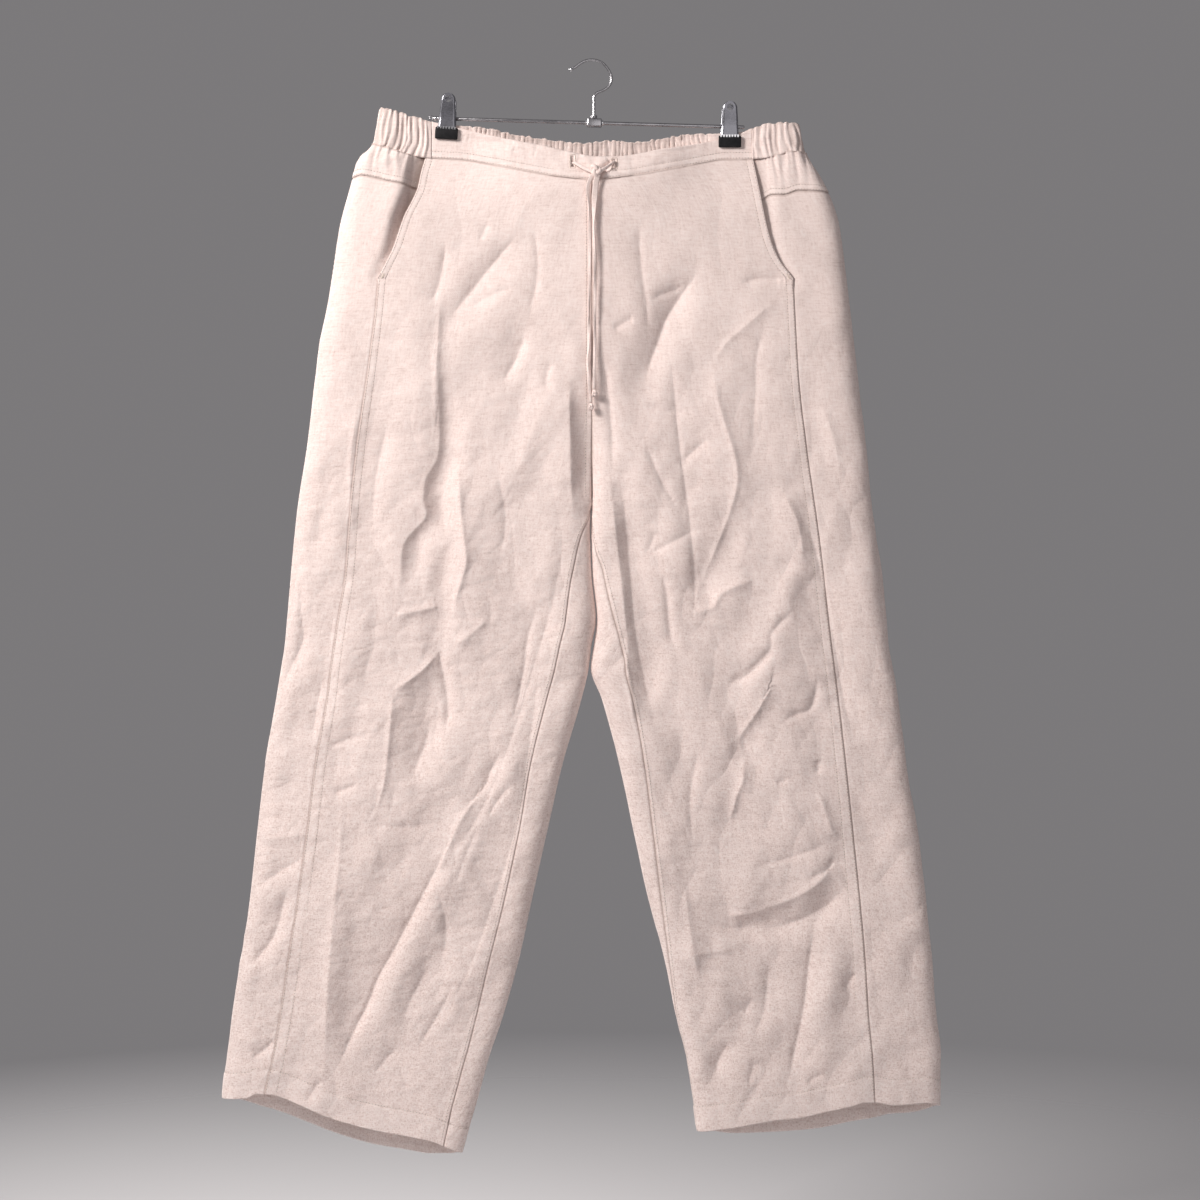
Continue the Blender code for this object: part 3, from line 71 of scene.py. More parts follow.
def studio():
    """The camera, three lamps, a dim sky and the floor."""
    data = bpy.data.cameras.new("camera")
    data.sensor_fit = "HORIZONTAL"
    data.sensor_width = SENSOR
    data.lens = SENSOR * CAMERA_DISTANCE / FRAME_WIDTH
    camera = bpy.data.objects.new("camera", data)
    camera.location = (FRAME_CENTRE[0], GARMENT_PLANE - CAMERA_DISTANCE, FRAME_CENTRE[1])
    camera.rotation_euler = (math.radians(90), 0.0, 0.0)
    SCENE.collection.objects.link(camera)
    SCENE.camera = camera

    # name, place, target, size, watts and colour of each lamp
    lamps = (("key", (-1.42, -1.20, 0.58), (-0.03, 0.0, -0.34), 0.5, 46.8, (1.0, 0.958, 0.930)),
             ("front", (0.7, -2.6, -0.1), (0.0, 0.0, -0.5), 1.8, 9.0, (1.0, 0.965, 0.965)),
             ("back", (-1.45, 1.45, 0.5), (0.0, 0.0, -0.5), 0.8, 34.0, (1.0, 0.97, 0.95)))
    for name, place, target, size, power, colour in lamps:
        lamp = bpy.data.lights.new(name, "AREA")
        lamp.size = size
        lamp.energy = power
        lamp.color = colour
        aimed(bpy.data.objects.new(name, lamp), place, target)

    world = bpy.data.worlds.new("studio")
    world.use_nodes = True
    sky = world.node_tree.nodes["Background"]
    sky.inputs["Color"].default_value = (0.80, 0.77, 0.79, 1.0)
    sky.inputs["Strength"].default_value = 0.25
    SCENE.world = world
    SCENE.view_settings.view_transform = "Standard"

    mesh = bpy.data.meshes.new("floor")
    shape = bmesh.new()
    bmesh.ops.create_circle(shape, cap_ends=True, segments=96, radius=2.2)
    shape.to_mesh(mesh)
    shape.free()
    floor = bpy.data.objects.new("floor", mesh)
    floor.location = (0.0, 0.0, FLOOR_LEVEL)
    SCENE.collection.objects.link(floor)
    mesh.materials.append(floor_material())


def floor_material():
    """Pale matte floor that fades out towards its rim."""
    made = bpy.data.materials.new("floor")
    made.use_nodes = True
    tree = made.node_tree
    shader = tree.nodes["Principled BSDF"]
    shader.inputs["Base Color"].default_value = (0.72, 0.71, 0.72, 1.0)
    shader.inputs["Roughness"].default_value = 0.9
    place = tree.nodes.new("ShaderNodeTexCoord")
    length = tree.nodes.new("ShaderNodeVectorMath")
    length.operation = "LENGTH"
    tree.links.new(place.outputs["Object"], length.inputs[0])
    fade = tree.nodes.new("ShaderNodeMapRange")
    fade.inputs["From Min"].default_value = 0.7
    fade.inputs["From Max"].default_value = 2.1
    fade.inputs["To Min"].default_value = 1.0
    fade.inputs["To Max"].default_value = 0.0
    tree.links.new(length.outputs["Value"], fade.inputs["Value"])
    tree.links.new(fade.outputs["Result"], shader.inputs["Alpha"])
    return made


# ---------------------------------------------------------------- the model's sizes

def metres(rows):
    """A number or nested rows of numbers, given in millimetres, in metres."""
    if isinstance(rows, tuple):
        return tuple(metres(row) for row in rows)
    return round(rows / 1000, 7)


def fold_rows(widths, *rows):
    """Folds from rows in millimetres: a height, one or two widths, then x, level, x, level..."""
    made = []
    for row in rows:
        places = metres(row[1 + widths:])
        made.append((*metres(row[:1 + widths]), tuple(zip(places[::2], places[1::2]))))
    return tuple(made)


CLOTH = 0.0012          # wall of one layer of linen
DOUBLED = 0.0018        # wall of the waistband and of the elastic casing

POCKET_FOOT = -0.231    # level of the lower end of the pocket mouths
CROTCH = -0.463         # level where the two legs part
HEM_ZONE = -1.030       # below this level the rows of a leg follow the slope of its hem
DIP_START = -0.360      # the centre seams start to sink inwards here, down to the crotch

TOP_GUESS = -0.110      # about where the upper seams, the hip seams and the hems lie
HIP_GUESS = -0.140
HEM_GUESS = -1.100
BAND_GUESS = -0.085

EDGE_REACH = 1.5        # a fold edge rounds off over this many depths across the leg
EDGE_ARC = 1.983        # length round that edge, in depths: a quarter of a 1.5 by 1 ellipse
DIP_REACH = 2.2         # the groove along the centre seams is this many depths wide each way
CENTRE_HALF_GAP = 0.0009    # half the space between front and back cloth at the crotch
CENTRE_FLAT = 0.001     # the centre seams' edges face straight out over this distance
SECTION_STEP = 0.0004   # either side of a place, to find which way the cloth faces
LINE_ROUNDS = 6         # rounds in which a column's level settles on a line across the cloth

CLIP_CENTRES = (-0.1523, 0.1452)    # where the clips pinch the waistband
PINCH_HALF = 0.0013     # from the middle plane to the middle of each pinched layer
PINCH_FLAT = 0.014      # the cloth is flat this far to each side of a clip's centre
PINCH_FADE = 0.075      # and free of the pinch at this distance
PINCH_FOOT = -0.085     # the pinch holds down to this level
PINCH_DROP = 0.080      # and fades out over this drop below it

BAND_JOIN = 0.169       # the flat front band meets the elastic casing here, on both sides
BULGE_HALF = 0.155      # half the width over which the front bows out between the clips

# One row for each level. "outer" and "inner" are the fold edges, "side_seam" the seam in
# front of the outer edge, all measured out from the middle. "inseam_wrap" is how far the
# back panel comes round the inner edge on to the front, and "depth" is half the thickness.
LEG_COLUMNS = ("level", "outer", "side_seam", "inner", "inseam_wrap", "depth")
LEG_ROWS = {
    "left": metres((
        (-50, 224, 223, 0, 0, 8), (-88, 231, 223, 0, 0, 8.5), (-101, 243, 223, 0, 0, 9),
        (-112, 249.5, 223, 0, 0, 9.5), (-125, 252.5, 223, 0, 0, 10), (-147, 258.5, 223, 0, 0, 12),
        (-172, 265, 223, 0, 0, 13), (-205, 270.5, 223, 0, 0, 14), (-256, 278, 226.3, 0, 0, 15),
        (-331, 291, 235.8, 0, 0, 15), (-406, 300, 246.8, 0, 0, 14.5), (-463, 309, 253.3, 0, 0, 14),
        (-480, 311.2, 254.6, 3, 6, 13.9), (-500, 313.3, 256.2, 4.2, 15, 13.8),
        (-540, 317, 259.3, 2.8, 24.5, 13.5), (-590, 321.3, 267.7, -3, 37, 13),
        (-615, 323.5, 271.5, 0.8, 39, 13), (-640, 327.4, 275, 4, 41, 12.8),
        (-674, 332.9, 279.4, 12, 42, 12.6), (-742, 344.4, 290.9, 31.7, 39, 12.5),
        (-810, 352.3, 299.3, 47.3, 35, 12.4), (-881, 360.1, 309.1, 63.2, 34, 12.2),
        (-946, 369, 319.1, 77.2, 36, 12), (-1010, 379.1, 328.7, 95.3, 33, 12),
        (-1052, 384.9, 336.1, 109.4, 30, 12), (-1092, 389.6, 344.4, 120.4, 30, 12),
        (-1151, 390, 347, 137.5, 26, 12))),
    "right": metres((
        (-50, 216, 210, 0, 0, 8), (-88, 222, 210, 0, 0, 8.5), (-101, 226.2, 210, 0, 0, 9),
        (-112, 233.7, 210, 0, 0, 9.5), (-125, 241.8, 210, 0, 0, 10), (-147, 252.4, 210, 0, 0, 12),
        (-172, 260.1, 210, 0, 0, 13), (-205, 264.9, 210, 0, 0, 14), (-256, 271, 212.5, 0, 0, 15),
        (-331, 279.8, 216.6, 0, 0, 15), (-406, 287.3, 225.1, 0, 0, 14.5),
        (-463, 292.4, 233, 0, 0, 14), (-500, 298.7, 238, 1.8, 6, 13.8),
        (-540, 305.5, 243.1, 2.8, 17, 13.5), (-590, 309.7, 249, 6.2, 24, 13),
        (-615, 311.8, 251.9, 2.5, 34, 13), (-640, 316.3, 255.1, -0.8, 42, 12.8),
        (-674, 322.4, 259.4, 11.2, 38, 12.6), (-742, 330.3, 266.6, 29.3, 32, 12.5),
        (-810, 341.8, 274, 43.8, 26, 12.4), (-881, 350.1, 281.2, 59.1, 20, 12.2),
        (-946, 357, 286.8, 76.6, 12, 12), (-1010, 363.3, 291, 89.7, 5, 12),
        (-1052, 367, 294.9, 100.4, 2, 12), (-1151, 366, 299.5, 114, 1, 12))),
}

# The slanted pocket mouths: how far out the front panel's edge lies at each level.
MOUTH_COLUMNS = ("level", "across")
MOUTH_ROWS = {
    "left": metres((
        (-100, 175), (-118, 180), (-136, 183.5), (-150, 189), (-166, 197), (-185, 203.5),
        (-197, 207.5), (-214, 215.5), (-231, 224))),
    "right": metres((
        (-100, 169), (-131, 175), (-161, 180.5), (-189, 187), (-211, 196), (-231, 211.5))),
}

# Level lines across the whole garment: the upper edge of the casing all round, the upper
# edge of the flat front band, and the waist seam under both.
LINE_COLUMNS = ("x", "level")
CASING_TOP = metres(((-228, -49.5), (-209, -53), (-191, -59), (-165, -64.8), (-142, -67.5),
                     (-122, -69), (-98, -72.5), (-77, -77), (-52, -79.5), (-13, -85), (18, -82.5),
                     (40, -83), (67, -81.5), (88, -78), (109, -76.5), (133, -76), (156, -74.5),
                     (172, -70.5), (189, -67), (207, -66), (224, -68.5)))
BAND_TOP = metres(((-169, -64), (-142, -70.5), (-97, -81.5), (-52, -91), (-21, -98.5), (5, -103),
                   (29, -102.5), (71, -95), (113, -87.5), (150, -79), (169, -71.5)))
WAIST_SEAM = metres(((-232, -88), (-212, -94), (-195, -99.5), (-176, -102.5), (-139, -104.5),
                     (-104, -111), (-69, -118.5), (-35, -125), (0, -128), (41, -124), (85, -115.5),
                     (120, -107.5), (138, -104.5), (168, -104), (184, -103), (198, -100),
                     (209, -97), (228, -98)))
CASING_HEIGHT = metres(((-228, 37), (0, 36), (228, 30)))

# Level lines of each half, by how far out they lie: the seam between yoke and leg panel,
# and the hem, on the front and on the back.
HALF_LINE_COLUMNS = ("across", "front", "back")
HIP_SEAM = {
    "left": metres((
        (0, -140, -169), (150, -138, -154), (183, -135, -144), (196, -131.5, -140),
        (215, -128, -133), (231, -124, -128), (243, -122, -125), (253, -124, -124))),
    "right": metres((
        (0, -150, -169), (150, -149, -160), (180, -146.5, -155), (189, -142.5, -153),
        (201, -143, -150), (218, -138.5, -145), (235, -139, -141), (249, -139.5, -139.5))),
}
HEM = {
    "left": metres((
        (137.5, -1151, -1151), (150, -1145, -1155), (170, -1137, -1155), (194, -1132, -1151.5),
        (231, -1125, -1145), (271, -1114, -1133.5), (299, -1102, -1122.5), (321, -1093, -1114),
        (337, -1088, -1108.5), (353, -1087, -1104), (361, -1091, -1101), (389.9, -1093, -1093))),
    "right": metres((
        (112, -1128, -1128), (152, -1122, -1133.5), (196, -1115, -1132.5), (216, -1113, -1131),
        (243, -1107, -1128), (272, -1100, -1122), (287, -1096, -1119), (299, -1096, -1117),
        (316, -1099, -1113), (335, -1098, -1112), (351, -1097, -1109), (366.8, -1101.5, -1101.5))),
}

# How far the front bows out between the clips, at the middle, beyond the legs' depth.
BULGE_COLUMNS = ("level", "bulge")
BULGE_ROWS = metres(((-80, 3), (-105, 5), (-128, 9), (-170, 7), (-230, 3), (-330, 1.5), (-400, 0)))

# Pocket mouths: how far the front panel's edge lifts and the cloth under it sinks at the
# middle of the mouth, and how far the pocket bag stands off the front panel.
MOUTH_HEAD = -0.100     # the tables of the mouths start at this level
MOUTH_ROUND = 0.6       # the smaller, the more suddenly a mouth opens from its ends
LIFT_REACH = 0.030      # the front panel's lift dies out over this distance inwards
SINK_REACH = 0.021      # the sunk cloth comes back up this far outside the mouth at its head,
SINK_FOOT_REACH = 0.012     # this far at its foot,
SINK_FADE = 0.013       # over this distance
SINK_FOOT = 0.020       # and over this drop below the mouth
UNDERLAP_FADE = 0.030   # the cloth under the mouth gets its full width over this rise
UNDERLAP = 0.025
UNDER_STOP = 0.166      # the underlap never reaches further in than this
UNDER_STEP = 0.0018
BAG_STEP = 0.0022
BAG_EDGE_GAP = 0.0020
BAG_SEAM_GAP = 0.006    # from the side seam in to the bag, below the mouth
BAG_RIM_SHARE = 0.25    # of the bag's width, over which it comes away at its outer side
BAG_END_SHARE = 0.33    # and at its inner side
BAG_HEAD_GAP = 0.003    # below the waist seam
MOUTH_DEPTH = {"left": (0.0022, 0.0068), "right": (0.0009, 0.0020)}     # lift, sink
BAG_DEPTH = 0.0062
BAG_INNER = 0.072
BAG_HEAD = -0.110
BAG_FOOT = -0.305

# The largest folds: a height (below zero for a trough), a half width, and the route.
FRONT_FOLDS = fold_rows(1,
    (-6.5, 15, -163, -329, -152, -379, -150, -416, -164, -451, -163, -479, -183, -509, -189, -547,
     -194, -581),
    (-4, 15, -152, -423, -154, -552, -160, -621, -154, -694),
    (-4.5, 18, -65, -179, -130, -256, -166, -293, -160, -340),
    (-3, 14, -69, -270, -98, -350),
    (-4.5, 15, -8, -350, -9, -410, -11, -474),
    (5.5, 18, -69, -686, -89, -749, -124, -823, -168, -899, -202, -962, -233, -1030),
    (-4.5, 18, -170, -636, -172, -705, -188, -768),
    (4, 14, -260, -872, -267, -915, -272, -972, -278, -1041),
    (-5, 18, 106, -225, 75, -285, 56, -331, 46, -380),
    (-5, 15, 30, -440, 40, -498, 52, -560, 58, -620, 66, -688),
    (4.5, 18, 56, -406, 90, -478, 100, -560),
    (-4.5, 18, 152, -455, 142, -504, 108, -575),
    (6, 18, 200, -440, 220, -530, 191, -601, 176, -637, 172, -690),
    (-5, 18, 189, -665, 154, -717, 151, -753, 151, -834),
    (-6.5, 18, 264, -845, 250, -882, 235, -900, 175, -909, 110, -900),
    (5, 17, 254, -920, 250, -969, 231, -1072),
    (-4, 16, 165, -985, 129, -1068))
BACK_FOLDS = fold_rows(1,
    (-5, 20, -40, -250, -120, -330, -150, -420),
    (-5, 20, 45, -240, 105, -320, 150, -430),
    (5, 20, -60, -400, -110, -470, -150, -600),
    (5, 20, 70, -390, 120, -500, 140, -610),
    (-5, 20, -200, -560, -170, -650, -190, -760),
    (-5, 20, 200, -540, 165, -640, 185, -750),
    (5, 20, -110, -720, -170, -820, -200, -950),
    (5, 20, 110, -700, 180, -830, 210, -960),
    (-4.5, 20, -290, -780, -250, -880, -270, -1000),
    (-4.5, 20, 290, -760, 260, -890, 270, -1010))
FOLD_TAPER = 0.22       # share of a fold's length over which each end runs out
FOLD_END = 0.25         # what is left of its height at its very ends
FOLD_FADE_START = 0.003     # folds start where the cloth is this deep, in front or behind,
FOLD_FADE_RANGE = 0.009     # and are full this much deeper

# Gathers: the pitch of a crest and a trough, and half their height.
GATHER_SIDE_PITCH = 0.0062
GATHER_SIDE_HALF = 0.0014
GATHER_BACK_PITCH = 0.0048
GATHER_BACK_HALF = 0.0009
YOKE_GATHER_PITCH = 0.0105
YOKE_GATHER_HALF = 0.0016
YOKE_GATHER_FOOT = 0.1  # what is left of the yoke's gathers at its foot
YOKE_GATHER_HELD = 0.15     # and under a clip
YOKE_FLAT = 0.020       # the yoke is flat this far outside the pocket mouth
YOKE_FLAT_FADE = 0.015
YOKE_LEVEL = -0.115     # its length and its gathers are counted at this level

# Drawstring.
KNOT_CENTRE = (0.0042, -0.0241, -0.1200)
TIE_ROUTES = {
    "tie_run_left": metres((
        (-20, -14.8, -109.6), (-18.6, -18.6, -110.4), (-13.8, -21.4, -113.4), (-8, -23, -117.2),
        (-3.5, -23.6, -119.2))),
    "tie_run_right": metres((
        (23.6, -14.8, -109.8), (22.6, -18.4, -110.4), (19.6, -20.8, -112.8), (15.8, -22.6, -116),
        (12, -23.6, -118.2))),
    "tie_end_left": metres((
        (-1, -24.8, -127.2), (-5.2, -24.4, -138), (-4, -24.4, -158), (-3.8, -24, -196),
        (-4, -22.8, -234), (-5, -22, -270), (-5.8, -21.4, -305), (-7.8, -21, -318),
        (-4.8, -20.6, -342), (-2, -20, -362))),
    "tie_end_right": metres((
        (5, -25.2, -128.4), (4, -25, -143), (2.8, -24.8, -177), (4.4, -24.2, -215),
        (4.8, -23, -254), (4.6, -22.2, -290), (4, -21.6, -320), (3.2, -21.2, -348))),
}
TIP_CENTRES = {
    "tie_tip_left": metres((-1, -19.8, -366.4)),
    "tie_tip_right": metres((2.6, -21, -352.4)),
}

# Hanger.
BAR_RADIUS = 0.0020
BAR_ENDS = ((-0.168, -0.0602), (0.161, -0.0697))     # (x, level) of the bar's two ends
CLAMP_CENTRE_X = 0.0025
CLAMP_SIZE = (0.0155, 0.0088, 0.0088)
CLAMP_BEVEL = 0.0013
BALL = (0.0026, 0.0027)     # half the height and the radius of the ball at the bar's left end
BALL_PLACE = 0.0030         # in from that end
LOOP_PLACE = (0.0014, 0.0004)       # the wire loop past that end: how far out and above
LOOP_RADIUS = 0.0022
LOOP_WIRE = 0.0005
# Turned pieces as (height, radius) rows: the rings beside the clamp, the collar above it.
RING = metres(((-0.9, 2.1), (-0.9, 3), (-0.5, 3.4), (0.5, 3.4), (0.9, 3), (0.9, 2.1)))
COLLAR = metres(((0, 2.6), (0, 3.2), (0.4, 3.4), (1.2, 3.4), (1.5, 3), (1.8, 3.4), (2.6, 3.4),
                 (3, 3), (3, 1.6)))
COLLAR_GAP = 0.0005
HOOK_STEP = 0.0012
COLLAR_HEIGHT = 0.0030
WIRE_RADIUS = 0.0014
HOOK_ROUTE = metres(((2.1, -53), (2.1, -44), (2.2, -37.5), (5, -33.5), (11, -31), (17, -27),
                     (20.4, -21), (20, -14.5), (16, -7), (10, -1.2), (2, 1.4), (-6, 0.8),
                     (-12, -2), (-17, -5.8), (-20, -7.6)))
HOOK_TIP_RADIUS = 0.0023
CLIP_TILTS = (3.7, 0.0)     # degrees, the left clip and the right clip
PAD_TOP = -0.0104
PAD_FOOT = -0.0224
PAD_HALF_WIDTH = 0.0119
PAD_DEPTH = 0.0036
PAD_FACE = 0.0026           # from the middle plane to the pad's gripping face
PLATE = 0.0010
# A clip plate's rises, its half width there and how far it stands off the middle plane.
PLATE_ROWS = metres(((-10.1, 9.5, 4.6), (-4, 9, 4.9), (0, 8.7, 5.2), (6, 8.5, 6.4), (12, 8, 7.8),
                     (17.5, 7.6, 9)))
PLATE_HEAD = 0.0180         # the plate's rounded top is centred at this rise
PLATE_HEAD_STAND_OFF = 0.0094
PLATE_HOLE_RADIUS = 0.0034
BARREL_RADIUS = 0.0043
BARREL_HALF_LENGTH = 0.0062


# ---------------------------------------------------------------- curves and folds


def curve(columns, rows, name):
    """Return a smooth function of a table's first column that never overshoots its rows."""
    ordered = sorted(rows)
    at = np.array([row[0] for row in ordered])
    value = np.array([row[columns.index(name)] for row in ordered])
    rise = np.diff(value) / np.diff(at)
    slope = np.concatenate((rise[:1], np.zeros(len(at) - 2), rise[-1:]))
    for i in range(1, len(at) - 1):
        before, after = rise[i - 1], rise[i]
        if before * after > 0:
            slope[i] = 2 * before * after / (before + after)

    def read(place):
        place = np.clip(place, at[0], at[-1])
        i = np.clip(np.searchsorted(at, place) - 1, 0, len(at) - 2)
        width = at[i + 1] - at[i]
        t = (place - at[i]) / width
        ends = value[i] * (1 + 2 * t) * (1 - t) ** 2 + value[i + 1] * t * t * (3 - 2 * t)
        return ends + width * t * (1 - t) * (slope[i] * (1 - t) - slope[i + 1] * t)

    return read


def ease(share):
    """Rise smoothly from 0 to 1."""
    share = np.clip(share, 0.0, 1.0)
    return share * share * (3 - 2 * share)


def fold_relief(x, level, folds):
    """Sum of soft troughs and ridges along their routes."""
    total = np.zeros(np.broadcast(x, level).shape)
    for height, half_width, route in folds:
        places = np.array(route)
        steps = np.diff(places, axis=0)
        lengths = np.hypot(steps[:, 0], steps[:, 1])
        run = np.concatenate(([0.0], np.cumsum(lengths)))
        nearest = np.full(total.shape, 1.0)
        share = np.zeros(total.shape)
        for start, step, length, before in zip(places, steps, lengths, run):
            along = ((x - start[0]) * step[0] + (level - start[1]) * step[1]) / length ** 2
            along = np.clip(along, 0.0, 1.0)
            away = np.hypot(x - start[0] - along * step[0], level - start[1] - along * step[1])
            closer = away < nearest
            nearest = np.where(closer, away, nearest)
            share = np.where(closer, (before + along * length) / run[-1], share)
        ends = ease(np.minimum(share, 1 - share) / FOLD_TAPER)
        height = height * (FOLD_END + (1 - FOLD_END) * ends)
        total += height * np.exp(-(nearest / half_width) ** 2)
    return total


def largest_folds(x, level, face):
    """Relief of the folds that the model has too."""
    return np.where(face > 0, fold_relief(x, level, FRONT_FOLDS),
                    fold_relief(x, level, BACK_FOLDS))


casing_top = curve(LINE_COLUMNS, CASING_TOP, "level")
band_top = curve(LINE_COLUMNS, BAND_TOP, "level")
waist_seam = curve(LINE_COLUMNS, WAIST_SEAM, "level")
casing_height = curve(LINE_COLUMNS, CASING_HEIGHT, "level")
bulge = curve(BULGE_COLUMNS, BULGE_ROWS, "bulge")


def pinch(x, level):
    """1 where a clip holds the two layers together, 0 where they hang free."""
    held = 1 - ease((PINCH_FOOT - level) / PINCH_DROP)
    near = 0.0
    for centre in CLIP_CENTRES:
        away = (np.abs(x - centre) - PINCH_FLAT) / (PINCH_FADE - PINCH_FLAT)
        near = np.maximum(near, 1 - ease(away))
    return held * near


def swell(face, x, level, depth):
    """How much further out than its depth the cloth stands at a place."""
    middle = np.clip(1 - (x / BULGE_HALF) ** 2, 0.0, 1.0) ** 2
    bowed = np.where(face > 0, bulge(level) * middle, 0.0)
    held = pinch(x, level)
    return bowed * (1 - held) - (depth - PINCH_HALF) * held


# ---------------------------------------------------------------- the tube of each half

class Half:
    """One half of the trousers, left (sign -1) or right (sign +1)."""

    def __init__(self, name, sign):
        self.name = name
        self.sign = sign
        rows = LEG_ROWS[name]
        self.outer = curve(LEG_COLUMNS, rows, "outer")
        self.seam = curve(LEG_COLUMNS, rows, "side_seam")
        self.inner = curve(LEG_COLUMNS, rows, "inner")
        self.inseam_wrap = curve(LEG_COLUMNS, rows, "inseam_wrap")
        self.depth = curve(LEG_COLUMNS, rows, "depth")
        self.mouth = curve(MOUTH_COLUMNS, MOUTH_ROWS[name], "across")
        self.lift, self.sink = MOUTH_DEPTH[name]
        self.hip_front = curve(HALF_LINE_COLUMNS, HIP_SEAM[name], "front")
        self.hip_back = curve(HALF_LINE_COLUMNS, HIP_SEAM[name], "back")
        self.hem_front = curve(HALF_LINE_COLUMNS, HEM[name], "front")
        self.hem_back = curve(HALF_LINE_COLUMNS, HEM[name], "back")

    def reach(self, level):
        """Distance round from the outer edge to the centre line, or to a leg's inner edge."""
        depth = self.depth(level)
        to_centre = self.outer(level) - self.inner(level) + (EDGE_ARC - EDGE_REACH) * depth
        return to_centre + np.where(level < CROTCH, (EDGE_ARC - EDGE_REACH) * depth, 0.0)

    def around_at(self, across, level):
        """Distance round from the outer edge of a place on the flat of the front."""
        return self.outer(level) - across + (EDGE_ARC - EDGE_REACH) * self.depth(level)

    def front_edge(self, level):
        """Distance round to the pocket mouth and, below it, to the side seam."""
        across = np.where(level >= POCKET_FOOT, self.mouth(level), self.seam(level))
        return self.around_at(across, level)

    def face_of(self, around, level):
        """1 on the front and -1 on the back."""
        face = np.where(around >= 0, 1.0, -1.0)
        past = (np.abs(around) > self.reach(level)) & (level < CROTCH)
        return np.where(past, -face, face)

    def section(self, around, level):
        """The place (x, y) on the tube, before folds and gathers."""
        depth = self.depth(level)
        reach = self.reach(level)
        leg = level < CROTCH
        face = self.face_of(around, level)
        run = np.abs(around)
        run = np.where((run > reach) & leg, 2 * reach - run, run)
        arc = EDGE_ARC * depth
        turn = np.minimum(run / arc, 1.0) * math.pi / 2
        across = (self.outer(level) - EDGE_REACH * depth * (1 - np.cos(turn))
                  - np.maximum(run - arc, 0.0))
        height = depth * np.sin(turn)
        left = np.maximum(reach - run, 0.0)
        inner_turn = np.minimum(left / arc, 1.0) * math.pi / 2
        at_inner = leg & (left < arc)
        across = np.where(at_inner, self.inner(level)
                          + EDGE_REACH * depth * (1 - np.cos(inner_turn)), across)
        height = np.where(at_inner, depth * np.sin(inner_turn), height)
        dip = ease((DIP_START - level) / (DIP_START - CROTCH))
        shallow = np.sin(np.minimum(left / (DIP_REACH * depth), 1.0) * math.pi / 2)
        edge = np.minimum(left / (EDGE_REACH * depth), 1.0)
        rounded = np.sqrt(1 - (1 - edge) ** 2)
        dipped = shallow + (rounded - shallow) * dip ** 2
        sunk = CENTRE_HALF_GAP + (depth - CENTRE_HALF_GAP) * (1 - dip + dip * dipped)
        height = np.where(leg, height, np.minimum(height, sunk))
        x = self.sign * across
        height = height + swell(face, x, level, depth) * height / depth
        return x, -face * height

    def surface(self, around, level, relief):
        """Middle of the wall and its outward direction, each an array of points."""
        x, y = self.section(around, level)
        x_after, y_after = self.section(around + SECTION_STEP, level)
        x_before, y_before = self.section(around - SECTION_STEP, level)
        along_x = x_after - x_before
        along_y = y_after - y_before
        length = np.hypot(along_x, along_y)
        out_x = -self.sign * along_y / length
        out_y = self.sign * along_x / length
        face = self.face_of(around, level)
        at_centre = (level >= CROTCH) & (self.reach(level) - np.abs(around) < CENTRE_FLAT)
        out_x = np.where(at_centre, 0.0, out_x)
        out_y = np.where(at_centre, -face, out_y)
        full = ease((np.abs(y) - FOLD_FADE_START) / FOLD_FADE_RANGE)
        away = largest_folds(x, level, face) * full + relief
        middle = np.stack((x + out_x * away, y + out_y * away, level + 0.0 * x), axis=-1)
        outward = np.stack((out_x, out_y, 0.0 * x), axis=-1)
        return middle, outward

    def line_level(self, spread, line, guess):
        """Level at which each column, given by spread(level), meets a line(face, x)."""
        level = guess
        for _ in range(LINE_ROUNDS):
            around = spread(level)
            level = line(self.face_of(around, level), self.section(around, level)[0])
        return level

    def hip(self, face, x):
        """Level of the seam between yoke and leg panel."""
        across = self.sign * x
        return np.where(face > 0, self.hip_front(across), self.hip_back(across))

    def hem(self, face, x):
        """Level of the hem."""
        across = self.sign * x
        return np.where(face > 0, self.hem_front(across), self.hem_back(across))

    def wrap(self, level):
        """How far the back panel comes round a leg's inner edge on to the front."""
        return np.where(level < CROTCH, self.inseam_wrap(level), 0.0)

    def mouth_share(self, level):
        """0 at both ends of the pocket mouth and 1 along its middle."""
        top = waist_seam(self.sign * self.mouth(MOUTH_HEAD))
        share = np.clip((level - POCKET_FOOT) / (top - POCKET_FOOT), 0.0, 1.0)
        return np.sin(math.pi * share) ** MOUTH_ROUND

    def mouth_lift(self, around, level):
        """How far the front panel stands off near the pocket mouth."""
        inward = np.maximum(around - self.front_edge(level), 0.0)
        return self.lift * self.mouth_share(level) * np.exp(-inward / LIFT_REACH)

    def mouth_sink(self, around, level):
        """How far the cloth under the front panel's edge lies behind it, as a drop."""
        outward = self.front_edge(level) - around
        rise = ease((level - POCKET_FOOT) / (MOUTH_HEAD - POCKET_FOOT))
        reach = SINK_FOOT_REACH + (SINK_REACH - SINK_FOOT_REACH) * rise
        near = ease((reach - outward) / SINK_FADE)
        upper = ease((level - POCKET_FOOT + SINK_FOOT) / SINK_FOOT)
        return -near * upper * (UNDER_STEP + self.sink * self.mouth_share(level))

    def under_edge(self, level):
        """Distance round to where the cloth under the pocket mouth ends."""
        full = ease((level - POCKET_FOOT) / UNDERLAP_FADE)
        lapped = self.front_edge(level) + UNDERLAP * full
        return np.minimum(lapped, self.around_at(UNDER_STOP, level))


HALVES = (Half("left", -1.0), Half("right", 1.0))


